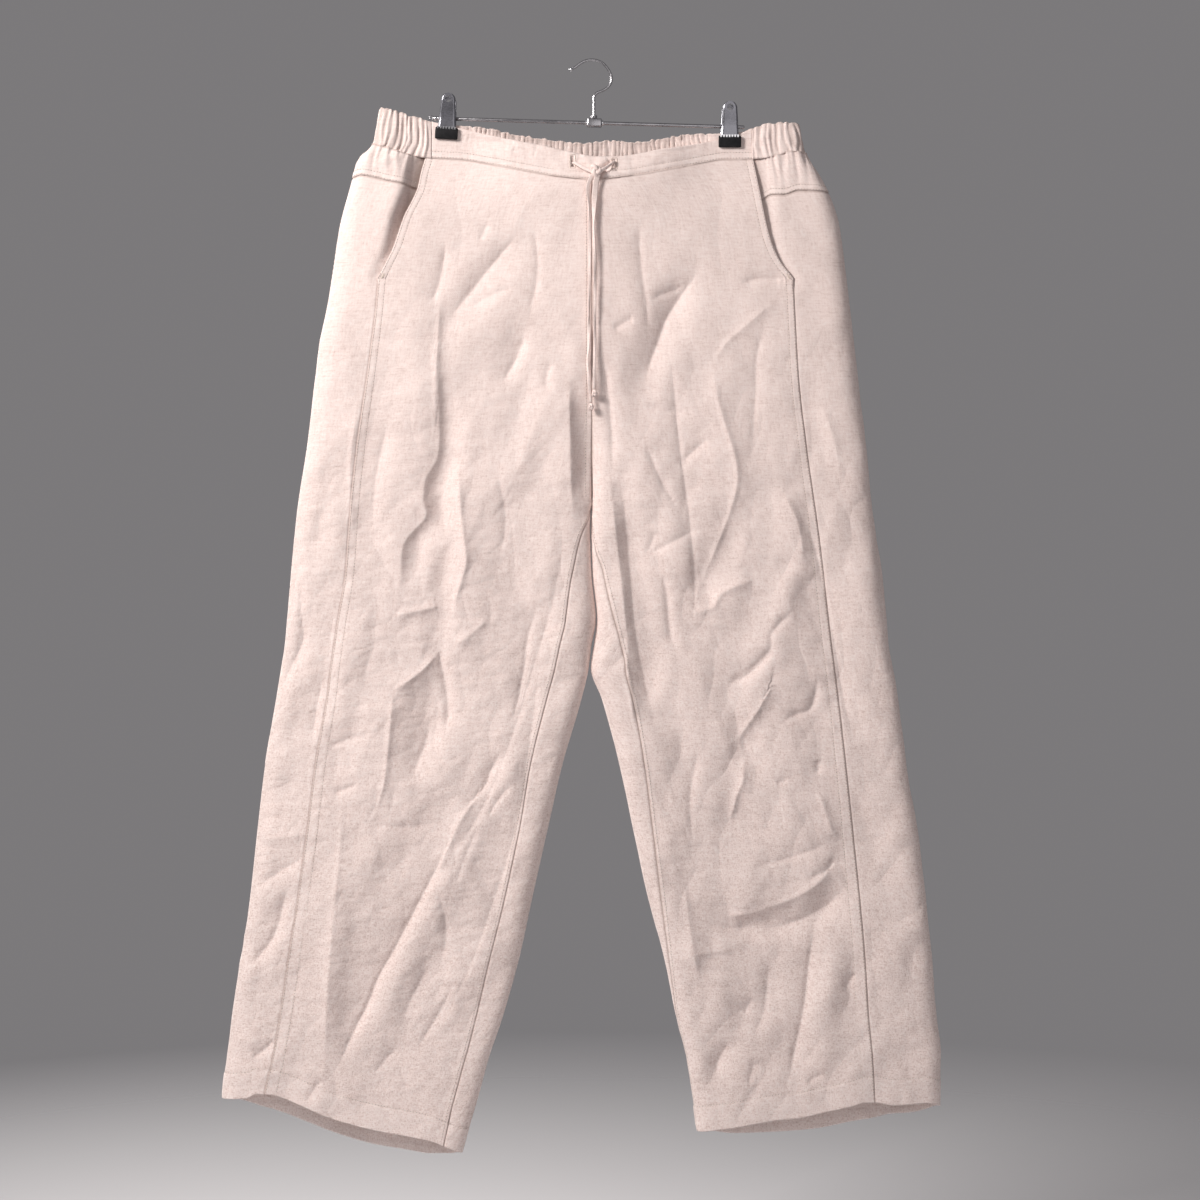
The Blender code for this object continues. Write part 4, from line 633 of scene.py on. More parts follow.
def smooth_route(route, step):
    """Evenly spaced points of a smooth curve through the places of a route."""
    places = np.array(route)
    padded = np.concatenate((2 * places[:1] - places[1:2], places, 2 * places[-1:] - places[-2:-1]))
    fine = []
    for i in range(1, len(padded) - 2):
        p0, p1, p2, p3 = padded[i - 1:i + 3]
        for t in np.linspace(0.0, 1.0, 24, endpoint=False):
            fine.append(0.5 * (2 * p1 + (p2 - p0) * t + (2 * p0 - 5 * p1 + 4 * p2 - p3) * t ** 2
                               + (3 * p1 - p0 - 3 * p2 + p3) * t ** 3))
    fine.append(places[-1])
    fine = np.array(fine)
    run = np.concatenate(([0.0], np.cumsum(np.linalg.norm(np.diff(fine, axis=0), axis=1))))
    count = max(2, round(run[-1] / step)) + 1
    even = np.linspace(0.0, run[-1], count)
    return np.stack([np.interp(even, run, fine[:, axis]) for axis in range(3)], axis=1)


def gather_stops(length, pitch):
    """Places and strengths of the crests (above zero) and troughs of uneven gathers."""
    count = 2 * round(length / pitch)
    index = np.arange(count + 1)
    uneven = index + 0.22 * np.sin(1.7 * index) + 0.16 * np.sin(0.61 * index + 1.0)
    uneven = (uneven - uneven[0]) / (uneven[-1] - uneven[0])
    strength = np.where(index % 2 == 0, 1.0, -1.0) * (0.72 + 0.28 * np.sin(2.3 * index + 0.4))
    strength[0] = strength[-1] = 0.0
    return uneven, strength


def waist(face, x):
    """Level of the waist seam, under the front band or under the casing."""
    return np.where(face > 0, waist_seam(x), casing_top(x) - casing_height(x))


# ---------------------------------------------------------------- creases and crumple

# Creases of the front, sharper than the folds of the model. Each row is a height, how wide
# its slope is on the right of its route and on the left of it, looking along, and the route.
FRONT_CREASES = fold_rows(2,
    (2.1, 6, 6, -227, -113, -216, -105, -195, -100),
    (-1.4, 4, 4, -110, -173, -117, -192),
    (-2.2, 10, 6, -77, -184, -102, -213, -126, -243, -150, -274),
    (-1.6, 5, 5, -79, -239, -103, -248, -128, -261),
    (-2.7, 9, 5, -69, -289, -81, -318, -95, -340),
    (-2, 6, 5, -42, -318, -47, -332, -47, -353),
    (-2.7, 12, 10, -152, -192, -160, -234, -171, -261),
    (-2.4, 12, 12, -60, -177, -57, -222, -65, -270),
    (3.8, 20, 7, -24, -332, -23, -390, -22, -442, -19, -484),
    (3.3, 24, 7, -173, -280, -166, -308, -162, -337, -161, -412, -174, -440, -177, -463,
     -175, -481, -197, -509, -201, -543, -206, -581),
    (4.2, 12, 7, -141, -424, -137, -484, -132, -526, -138, -551, -143, -568, -147, -592),
    (3.6, 6, 10, -206, -586, -189, -581, -156, -574),
    (4.8, 9, 12, -211, -664, -196, -656, -177, -641, -163, -625),
    (5.1, 26, 14, -208, -661, -211, -694, -214, -726, -218, -761, -228, -795),
    (-4.2, 4, 6, -162, -617, -158, -639, -154, -658, -152, -687, -153, -709),
    (-2.4, 10, 6, -169, -663, -171, -694, -176, -721, -191, -757),
    (2.2, 8, 6, -147, -619, -128, -605, -107, -587),
    (-4.2, 22, 7, -59, -577, -68, -610, -71, -637, -79, -679, -89, -703),
    (-4.2, 9, 5, -93, -724, -106, -748, -112, -763, -133, -787),
    (-3.3, 8, 5, -84, -761, -96, -775, -110, -797),
    (-2.1, 4, 4, -273, -771, -256, -766, -244, -760),
    (-1.8, 4, 4, -277, -723, -256, -715, -241, -713),
    (-4.8, 8, 9, -307, -537, -306, -579, -304, -610, -314, -634, -328, -663),
    (-1.8, 5, 5, -234, -805, -196, -806, -160, -803),
    (3, 9, 6, -116, -768, -142, -808, -164, -862),
    (-2.2, 12, 8, -283, -648, -290, -686, -294, -721),
    (-2, 8, 8, -99, -432, -91, -484, -97, -526),
    (2.1, 14, 8, -244, -358, -254, -432, -250, -505),
    (-2.1, 10, 8, -214, -379, -227, -442, -231, -495),
    (-6.3, 15, 7, -146, -812, -160, -843, -170, -864, -183, -889, -197, -916, -212, -944,
     -225, -967, -236, -995, -249, -1020, -259, -1042, -271, -1065),
    (-3.9, 6, 12, -353, -872, -331, -856, -303, -839),
    (2.1, 6, 6, -351, -822, -328, -818, -300, -816),
    (-4.8, 10, 6, -320, -869, -332, -916, -349, -942, -367, -956),
    (-3, 5, 5, -334, -1030, -344, -1041, -357, -1048),
    (-2.4, 10, 10, -171, -953, -189, -986, -198, -1009),
    (-2.4, 6, 6, -204, -1038, -216, -1051, -228, -1064),
    (-3.3, 13, 7, -143, -967, -152, -986, -163, -1007, -184, -1040),
    (-2.4, 10, 8, -120, -806, -132, -836, -144, -868),
    (-2.1, 6, 6, -283, -1070, -293, -1085, -301, -1098),
    (-2.1, 8, 8, -163, -862, -153, -915, -160, -957),
    (-3, 9, 6, 111, -222, 104, -234, 92, -251, 78, -274, 69, -299, 61, -320, 55, -341),
    (-2.1, 5, 5, 61, -253, 78, -246, 97, -239),
    (-2.1, 9, 9, 56, -169, 50, -183, 52, -222, 57, -257, 59, -291),
    (-1.8, 4, 4, 22, -286, 37, -276, 45, -274),
    (-3, 8, 7, 11, -308, 16, -344, 19, -370, 21, -396, 22, -432),
    (-2.1, 4, 6, 52, -365, 69, -367, 83, -371, 105, -370),
    (1.9, 10, 6, 130, -319, 141, -299, 165, -278, 190, -256),
    (-2, 10, 10, 183, -272, 173, -314, 172, -344, 170, -378, 168, -416),
    (-2.4, 5, 5, 91, -428, 106, -413, 121, -400),
    (-2.4, 5, 5, 156, -237, 172, -232, 188, -232, 204, -234),
    (2.4, 14, 8, 241, -361, 252, -396, 263, -441),
    (3.6, 18, 9, 18, -432, 24, -489, 32, -559, 37, -610, 38, -644),
    (-2.7, 8, 7, 56, -403, 71, -440, 91, -475),
    (-2.4, 5, 4, 67, -495, 63, -508, 57, -521),
    (-2.5, 7, 5, 112, -493, 84, -508, 56, -522),
    (-3.3, 7, 5, 71, -537, 78, -559, 82, -600, 89, -625),
    (3.3, 7, 8, 99, -582, 126, -577, 137, -561, 172, -546),
    (-3.3, 9, 6, 214, -577, 189, -603, 187, -620, 169, -640, 156, -650),
    (-2.4, 6, 6, 190, -644, 186, -660, 178, -676),
    (3, 14, 8, 197, -451, 216, -489, 222, -532),
    (-3.9, 6, 6, 143, -657, 162, -648, 176, -636, 191, -619),
    (4.2, 12, 8, 188, -641, 187, -657, 176, -681, 164, -699, 155, -715, 159, -731),
    (-3.3, 7, 6, 238, -646, 234, -671, 228, -684, 213, -689, 200, -697),
    (4.2, 16, 10, 156, -734, 159, -754, 151, -778, 145, -804),
    (-1.8, 4, 4, 192, -762, 206, -756),
    (-2.4, 5, 5, 237, -734, 237, -753),
    (2.7, 7, 7, 237, -769, 246, -794, 252, -811, 258, -822),
    (-2.7, 5, 5, 226, -862, 249, -850, 253, -836),
    (3, 12, 9, 36, -623, 40, -663, 44, -699),
    (2.1, 5, 9, 90, -946, 119, -939, 152, -937),
    (-2.4, 5, 5, 169, -987, 159, -1004),
    (-3, 9, 7, 146, -1033, 135, -1049, 129, -1070),
    (-2.4, 6, 5, 172, -1051, 164, -1077),
    (-2.4, 6, 5, 276, -959, 265, -978),
    (-2.1, 4, 4, 225, -1076, 243, -1065),
    (-2.7, 12, 8, 113, -721, 103, -778, 107, -831),
    (2.7, 16, 9, 97, -862, 103, -915, 113, -973),
    (-2.4, 12, 10, 187, -946, 181, -999, 168, -1030),
    (3.4, 30, 8, -159, -249, -161, -285, -163, -327, -164, -369, -165, -400),
    (-2.2, 13, 6, -29, -505, -42, -573, -59, -631, -78, -694, -101, -757, -128, -810, -160, -858),
    (-1.9, 13, 7, -50, -589, -61, -684, -76, -791, -103, -883, -134, -967, -176, -1035),
    (3, 18, 14, -260, -757, -265, -841, -273, -925, -278, -999, -282, -1085),
    (-4, 18, 24, 80, -300, 86, -345, 91, -397, 102, -481, 108, -546, 106, -600),
    (4.2, 24, 12, 126, -320, 134, -365, 152, -430, 146, -472, 129, -517, 110, -565),
    (-2.6, 11, 9, 223, -478, 232, -508, 241, -542, 254, -610, 263, -663, 277, -726),
    (-2.6, 6, 11, 30, -432, 39, -526, 47, -610, 67, -705),
    (-3.2, 10, 6, 120, -911, 155, -914, 193, -913, 227, -902, 252, -886, 269, -865),
    (3.8, 7, 17, 128, -904, 168, -897, 205, -884, 234, -868, 258, -844),
    (-2.2, 6, 10, 164, -852, 208, -839, 254, -823),
    (-5, 9, 12, 234, -910, 229, -946, 224, -988, 216, -1030, 209, -1062, 205, -1079))
BACK_CREASES = fold_rows(2,
    (-3.2, 11, 7, -30, -300, -80, -370, -120, -410),
    (-3.2, 11, 7, 30, -310, 78, -365, 128, -420),
    (2.8, 11, 7, -100, -240, -130, -300, -180, -350),
    (2.8, 11, 7, 95, -250, 140, -310, 190, -350),
    (-2.8, 9, 6, -60, -520, -100, -580, -96, -660),
    (-2.8, 9, 6, 60, -530, 98, -600, 110, -680),
    (3, 11, 7, -220, -450, -200, -530, -230, -620),
    (3, 11, 7, 215, -430, 200, -520, 236, -620),
    (-3, 10, 6, -150, -700, -200, -760, -216, -850),
    (-3, 10, 6, 150, -710, 205, -780, 200, -860),
    (2.8, 11, 7, -280, -700, -250, -800, -290, -880),
    (2.8, 11, 7, 270, -690, 250, -800, 300, -880),
    (-2.8, 9, 6, -180, -920, -230, -980, -226, -1060),
    (-2.8, 9, 6, 170, -930, 230, -990, 240, -1050))
LEG_CREASES = -0.430    # creases that start below this level are in the legs
BACK_DROP = 0.035       # the back's legs crease like the front's, mirrored and this much lower
BACK_CREASES += tuple((height, right, left, tuple((-x, level - BACK_DROP) for x, level in route))
                      for height, right, left, route in FRONT_CREASES
                      if route[0][1] < LEG_CREASES)

# Crumple: flat facets between uneven creases. Each row is a facet's width, its height, how
# far it rises and falls, its lean in degrees and the seed that its unevenness comes from.
CRUMPLE = ((0.070, 0.210, 0.0034, 14, 3), (0.038, 0.090, 0.0024, 20, 11),
           (0.034, 0.060, 0.0018, -28, 17), (0.045, 0.012, 0.0004, -4, 31))
CRUMPLE_COLUMNS = ("level", "share")
CRUMPLE_ROWS = ((-0.100, 0.25), (-0.170, 0.35), (-0.260, 0.50), (-0.360, 0.75), (-0.480, 0.95),
                (-0.600, 1.00), (-0.760, 1.00), (-0.900, 1.00), (-1.030, 0.85), (-1.120, 0.50))
FACET_WARP = 0.45       # facets bend this far out of line, as a share of their size,
FACET_BEND = 0.6        # in bends that are this share of a facet apart
FACET_SKEW = 0.3660254  # makes a square lattice one of equal triangles
CREASE_STEP = 0.005     # between the places of a crease's smoothed line
CREASE_TAPER = 0.24     # share of a crease's length over which each end runs out
CREASE_END = 0.1        # what is left of its height at its very ends
CREASE_WIDTHS = 3.5     # its relief is counted out to this many of its widths
SHADE_WIDTHS = 3.0      # and its shading out to this many
CREASE_DEEP = 0.006     # creases start with the folds, and are full this much deeper
CREASE_LINE = 0.0012    # the line of a crease is rounded over this distance
LINE_REACH = 0.0065     # the shading of a crease sharpens its line out to this distance
LAYER_SPACE = 0.0025    # creases come no closer than this to the middle plane
CENTRE_CALM = 0.022     # the crumple dies out this near the centre seams and inner leg edges
WAIST_CALM = 0.020      # and over this distance below the waist seam
CLIP_CALM = 0.85        # share of the crumple that a clip takes away
EDGE_CALM = 0.45        # and that the thin edges take away,
EDGE_CALM_DEPTH = 0.010     # where the cloth is less deep than this
# Each half crumples in its own way.
CRUMPLE_SEEDS = {"left": 0, "right": 500}
# The legs' inner folds meet above the second of these levels, and not below the first.
MEET_LEVELS = (-0.618, -0.592)
MEET_GAP = 0.0006       # left between them there
MEET_MOST = 0.0032      # the furthest that each fills out
MEET_WIDTH = 0.012      # and how wide the filled-out place is


def lattice(i, j, seed):
    """Repeatable uneven values from -1 to 1 at the corners of a lattice."""
    mixed = (i.astype(np.int64) * 374761393 + j.astype(np.int64) * 668265263
             + seed * 974634777) & 0xFFFFFFFF
    mixed = ((mixed ^ (mixed >> 13)) * 1274126177) & 0xFFFFFFFF
    mixed = ((mixed ^ (mixed >> 15)) * 2246822519) & 0xFFFFFFFF
    return ((mixed ^ (mixed >> 16)) & 0xFFFF) / 32767.5 - 1.0


def soft_noise(a, b, seed):
    """Smooth uneven hills, from -1 to 1, one lattice step across."""
    i, j = np.floor(a), np.floor(b)
    u, v = ease(a - i), ease(b - j)
    low = lattice(i, j, seed) * (1 - u) + lattice(i + 1, j, seed) * u
    high = lattice(i, j + 1, seed) * (1 - u) + lattice(i + 1, j + 1, seed) * u
    return low * (1 - v) + high * v


def facets(a, b, seed):
    """Flat triangles between uneven heights from -1 to 1."""
    warped_a = a + FACET_WARP * soft_noise(a * FACET_BEND, b * FACET_BEND, seed + 1)
    warped_b = b + FACET_WARP * soft_noise(a * FACET_BEND, b * FACET_BEND, seed + 2)
    skew = (warped_a + warped_b) * FACET_SKEW
    i, j = np.floor(warped_a + skew), np.floor(warped_b + skew)
    u, v = warped_a + skew - i, warped_b + skew - j
    across = u > v
    middle = np.where(across, lattice(i + 1, j, seed), lattice(i, j + 1, seed))
    return (lattice(i, j, seed) * (1 - np.maximum(u, v)) + middle * np.abs(u - v)
            + lattice(i + 1, j + 1, seed) * np.minimum(u, v))


def crumple(around, level, seed):
    """Sum of the rows of facets, each leaning its own way."""
    total = np.zeros(np.broadcast(around, level).shape)
    for width, height, rise, degrees, row_seed in CRUMPLE:
        turn = math.radians(degrees)
        across = around * math.cos(turn) - level * math.sin(turn)
        upward = around * math.sin(turn) + level * math.cos(turn)
        total += rise * facets(across / width, upward / height, row_seed + seed)
    return total * crumple_share(level)


def crease_sides(x, level, creases, reach_widths):
    """For each crease, the places near it, their signed distance from its line and its height."""
    for height, right_width, left_width, route in creases:
        places = np.array(route)
        reach = reach_widths * max(right_width, left_width)
        low, high = places.min(axis=0) - reach, places.max(axis=0) + reach
        near = (x > low[0]) & (x < high[0]) & (level > low[1]) & (level < high[1])
        if not near.any():
            continue
        fine = smooth_route([(px, 0.0, pz) for px, pz in route], CREASE_STEP)
        ahead = np.gradient(fine, axis=0)
        ahead /= np.linalg.norm(ahead, axis=1)[:, None]
        run = np.linspace(0.0, 1.0, len(fine))
        away = np.hypot(x[near][:, None] - fine[None, :, 0], level[near][:, None] - fine[None, :, 2])
        closest = away.argmin(axis=1)
        off_x, off_z = x[near] - fine[closest, 0], level[near] - fine[closest, 2]
        side = off_z * ahead[closest, 0] - off_x * ahead[closest, 2]
        along = off_x * ahead[closest, 0] + off_z * ahead[closest, 2]
        past_end = ((closest == 0) | (closest == len(run) - 1)) * along
        distance = np.hypot(side, past_end)
        ends = ease(np.minimum(run, 1 - run) / CREASE_TAPER)[closest]
        width = right_width + (left_width - right_width) * ease(side / CREASE_LINE + 0.5)
        yield near, side, distance, width, height * (CREASE_END + (1 - CREASE_END) * ends)


def crease_relief(x, level, creases):
    """Sum of troughs and ridges with a sharp line and a slope of its own width on each side."""
    total = np.zeros(np.broadcast(x, level).shape)
    for near, _side, distance, width, height in crease_sides(x, level, creases,
                                                              CREASE_WIDTHS):
        sharp = np.sqrt(distance ** 2 + CREASE_LINE ** 2) - CREASE_LINE
        total[near] += height * np.exp(-sharp / width)
    return total


def crease_lines(x, level, creases):
    """Signed distance from the nearest crease line, and how much sharper its line looks."""
    nearest = np.full(x.shape, 1.0)
    offset = np.zeros(x.shape)
    height = np.zeros(x.shape)
    for near, side, distance, _width, rise in crease_sides(x, level, creases, SHADE_WIDTHS):
        closer = distance < nearest[near]
        nearest[near] = np.where(closer, distance, nearest[near])
        offset[near] = np.where(closer, side, offset[near])
        height[near] = np.where(closer, rise, height[near])
    return offset, height * (1 - ease(nearest / LINE_REACH))


crumple_share = curve(CRUMPLE_COLUMNS, CRUMPLE_ROWS, "share")

# ---------------------------------------------------------------- seams

SIDE_FELL = ("level", "width")      # how far in from the side seam its second stitch row runs
SIDE_FELL_ROWS = ((-0.231, 0.0074), (-0.600, 0.0095), (-1.030, 0.0125), (-1.130, 0.0125))
HEM_TURN = 0.027        # height of the turned-up hem
WAIST_ROW = 0.0075      # from the waist seam up to the band's second stitch row
MOUTH_ROW = 0.0075      # from the pocket mouth in to its second stitch row
side_fell = curve(SIDE_FELL, SIDE_FELL_ROWS, "width")
BACK_FELL = 0.0042      # width of the doubled cloth on the back panel's side of the side seam
FELL_PALE = 0.07        # doubled cloth looks this much paler
SEAM_PAINTED_SHADE = 0.72        # painted shade along the line of a seam: it looks this much darker
ROW_PAINTED_SHADE = 0.12         # and painted shade in a stitch row's groove
SEAM_LINE = 0.00075     # half the width of those lines
MOUTH_PAINTED_SHADE = {"left": 0.80, "right": 0.30}      # painted shade down behind a pocket mouth's edge, this much darker
MOUTH_SHADE = 0.012     # how far out from that edge
# Heights above the pocket's foot where the mouth's hollow starts and where it is full.
MOUTH_NARROW = (0.022, 0.105)

# The relief along each seam: depth and half width of its stitched groove, then height, pitch
# and reach of the puckers beside it, and the seed of their unevenness.
Seam = namedtuple("Seam", "depth width ripple pitch reach seed")
SIDE = Seam(0.00032, 0.0009, 0.00055, 0.0062, 0.011, 0)
INSEAM = Seam(0.00040, 0.0009, 0.00040, 0.0070, 0.008, 3)
CENTRE = Seam(0.00050, 0.0012, 0.00030, 0.0075, 0.007, 5)
HEMMED = Seam(0.00055, 0.0010, 0.00070, 0.0100, 0.010, 9)
WAIST = Seam(0.00050, 0.0015, 0.00045, 0.0080, 0.014, 13)
HIP = Seam(0.00060, 0.0012, 0.00040, 0.0075, 0.008, 17)
MOUTH = Seam(0.00032, 0.0009, 0.00042, 0.0060, 0.007, 71)
FELL_EDGE = 0.0012      # a doubled layer's edge rises over this distance
FELL_BACK = 0.0015      # and the hem's and the side fell's far edges over this one
# How far the doubled cloth stands up beside each seam.
SIDE_FELL_RISE = 0.00022
MOUTH_FELL_RISE = 0.00020
HEM_RISE = 0.00040
HIP_FELL_RISE = 0.00040
HIP_FELL = 0.0065       # height of the doubled cloth above the hip seam
HIP_ROW_DEPTH = 0.00030     # the groove of its upper stitch row
HIP_ROW_WIDTH = 0.0010
INSEAM_FELL = (0.00018, 0.0030, 0.0020)     # rise, distance from the seam and width
INSEAM_PALE = 0.006     # the doubled cloth looks paler out to this distance
SIDE_START = 0.010      # each seam comes in over such a distance from where it starts
LEG_START = 0.012
SHORT_START = 0.004
CROTCH_OVERLAP = 0.004      # the centre seams run on this far below the crotch
SEAM_SEEDS = {"left": 40, "right": 60}


def groove(distance, width):
    """1 on a line, falling to 0 a few widths away from it."""
    return np.exp(-(distance / width) ** 2)


def puckers(seam, along, away, seed):
    """Small uneven waves that stitching draws up beside a seam."""
    at = along / seam.pitch
    return seam.ripple * soft_noise(at, 0.0 * at + 0.5, seam.seed + seed) * groove(away, seam.reach)


def strip(place, low, high):
    """1 between two places and 0 outside them."""
    return ease((place - low) / FELL_EDGE) * (1 - ease((place - high) / FELL_EDGE))


def seam_places(half, around, level, x, face):
    """How far a place is from each seam of its half, and how fully each seam is there."""
    reach = half.reach(level)
    wrap = half.wrap(level)
    side = around - half.front_edge(level)
    return SimpleNamespace(
        side=side, side_row=side - side_fell(level), side_width=side_fell(level),
        low=ease((POCKET_FOOT - level) / SIDE_START),
        inseam=np.where(around > 0, reach - wrap - around, around + reach + wrap),
        legs=ease((CROTCH - level) / LEG_START),
        centre=reach - np.abs(around),
        torso=1 - ease((CROTCH + CROTCH_OVERLAP - level) / SIDE_START),
        hem=level - half.hem(face, x) - HEM_TURN,
        waist=waist(face, x) - level,
        hip=level - half.hip(face, x),
        yoke=1 - ease((side + SHORT_START) / SHORT_START))


def seam_relief(half, around, level, x, face):
    """Grooves, raised fells and puckers at the seams of one half."""
    at = seam_places(half, around, level, x, face)
    seed = SEAM_SEEDS[half.name]
    fell = ease((at.side + 0.0010) / FELL_EDGE) * (1 - ease(at.side_row / FELL_BACK))
    total = at.low * (SIDE_FELL_RISE * fell - SIDE.depth * groove(at.side, SIDE.width)
                      - SIDE.depth * groove(at.side_row, SIDE.width)
                      + puckers(SIDE, level, at.side - at.side_width / 2, seed))
    rise, away, width = INSEAM_FELL
    total += at.legs * (rise * groove(np.abs(at.inseam) - away, width)
                        - INSEAM.depth * groove(at.inseam, INSEAM.width)
                        + puckers(INSEAM, level, at.inseam, seed))
    total += at.torso * (puckers(CENTRE, level, at.centre, seed + 2 * (face > 0))
                         - CENTRE.depth * groove(at.centre, CENTRE.width))
    up = at.hem + HEM_TURN
    total += (HEM_RISE * (1 - ease(at.hem / FELL_BACK)) - HEMMED.depth * groove(at.hem, HEMMED.width)
              + puckers(HEMMED, around + 0.5 * up, at.hem, seed))
    free = 1 - 0.8 * pinch(x, level)
    ripple = WAIST.ripple * soft_noise(around / WAIST.pitch, 0.0 * around + 0.5, seed + WAIST.seed)
    total += free * ease(at.waist / 0.001) * (ripple * np.exp(-at.waist / WAIST.reach)
                                              - WAIST.depth * np.exp(-at.waist / WAIST.width))
    past_row = at.hip - HIP_FELL
    total += at.yoke * (HIP_FELL_RISE * ease(at.hip / 0.001) * (1 - ease(past_row / FELL_EDGE))
                        - HIP.depth * groove(at.hip, HIP.width)
                        - HIP_ROW_DEPTH * groove(past_row, HIP_ROW_WIDTH)
                        + puckers(HIP, around, at.hip - 0.003, seed))
    return total


def seam_pale_and_shade(half, around, level, x, face):
    """How the seams colour the cloth: paler above 0, where it lies double, and darker below 0, which
    is painted shade along the seam lines and in the stitch grooves.
    """
    at = seam_places(half, around, level, x, face)
    total = at.low * (FELL_PALE * strip(at.side, -BACK_FELL, at.side_width)
                      - SEAM_PAINTED_SHADE * groove(at.side - SEAM_LINE / 2, SEAM_LINE)
                      - ROW_PAINTED_SHADE * groove(at.side_row, SEAM_LINE))
    total += at.legs * (0.5 * FELL_PALE * strip(at.inseam, -INSEAM_PALE, INSEAM_PALE)
                        - SEAM_PAINTED_SHADE * groove(at.inseam, SEAM_LINE))
    total -= at.torso * 0.8 * SEAM_PAINTED_SHADE * groove(at.centre, SEAM_LINE)
    total += FELL_PALE * (1 - ease(at.hem / FELL_BACK)) - ROW_PAINTED_SHADE * groove(at.hem, SEAM_LINE)
    total -= SEAM_PAINTED_SHADE * groove(at.waist, SEAM_LINE)
    total += at.yoke * (FELL_PALE * strip(at.hip, 0.0, HIP_FELL)
                        - SEAM_PAINTED_SHADE * groove(at.hip, SEAM_LINE)
                        - ROW_PAINTED_SHADE * groove(at.hip - HIP_FELL, SEAM_LINE))
    return total


def mouth_open(level):
    """How widely the pocket mouth stands open: 0 at its foot, 1 from its middle up."""
    low, high = MOUTH_NARROW
    return ease((level - POCKET_FOOT - low) / (high - low))


def mouth_pale_and_shade(half, around, level, kind):
    """The same at the pocket mouth: its doubled edge with painted shade in its stitch groove, and
    painted shade behind that edge.
    """
    inward = around - half.front_edge(level)
    upper = ease((level - POCKET_FOOT) / SHORT_START)
    if kind == "front":
        return upper * (FELL_PALE * strip(inward, 0.0, MOUTH_ROW)
                        - ROW_PAINTED_SHADE * groove(inward - MOUTH_ROW, SEAM_LINE))
    # painted shade in the pocket behind the mouth's edge, wider where the mouth stands open
    open_share = mouth_open(level)
    shade = MOUTH_SHADE * open_share + 1e-6
    return -MOUTH_PAINTED_SHADE[half.name] * open_share * ease(1 + inward / shade)


def mouth_finish(half, around, level):
    """The stitched edge of the pocket mouth on the front panel."""
    inward = around - half.front_edge(level)
    upper = ease((level - POCKET_FOOT) / SHORT_START)
    fell = 1 - ease((inward - MOUTH_ROW) / FELL_EDGE)
    return upper * (MOUTH_FELL_RISE * fell - MOUTH.depth * groove(inward - MOUTH_ROW, MOUTH.width)
                    + puckers(MOUTH, level, inward - 0.004, 0))


def thighs_meet(level):
    """How far each leg's inner fold fills out below the crotch, to lie against the other."""
    low, high = MEET_LEVELS
    gap = sum(leg.inner(level) for leg in HALVES) - CLOTH - MEET_GAP
    return np.clip(gap / 2, 0.0, MEET_MOST) * ease((level - low) / (high - low))


def cloth(half, around, level, relief):
    """Middle of the cloth and its outward direction, with its creases, crumple and seams."""
    face = half.face_of(around, level)
    x, y = half.section(around, level)
    reach = half.reach(level)
    legs = level < CROTCH
    round_inner = np.where(around < 0, 2 * reach + around, around - 2 * reach)
    place = np.where((np.abs(around) > reach) & legs, round_inner, around)
    calm = ease((reach - np.abs(place)) / CENTRE_CALM)
    calm = calm * ease((waist(face, x) - level) / WAIST_CALM) * (1 - CLIP_CALM * pinch(x, level))
    calm = calm * (1 - EDGE_CALM + EDGE_CALM * ease(np.abs(y) / EDGE_CALM_DEPTH))
    fine = calm * crumple(place, level, CRUMPLE_SEEDS[half.name])
    creases = np.where(face > 0, crease_relief(x, level, FRONT_CREASES),
                       crease_relief(x, level, BACK_CREASES))
    fine = fine + creases * ease((np.abs(y) - FOLD_FADE_START) / CREASE_DEEP)
    deepest = LAYER_SPACE - np.abs(y) - np.minimum(largest_folds(x, level, face), 0.0)
    fine = np.maximum(fine, np.minimum(deepest, 0.0)) + seam_relief(half, around, level, x, face)
    fine = fine + legs * thighs_meet(level) * groove(reach - np.abs(place), MEET_WIDTH)
    return half.surface(around, level, fine + relief)


# ---------------------------------------------------------------- materials

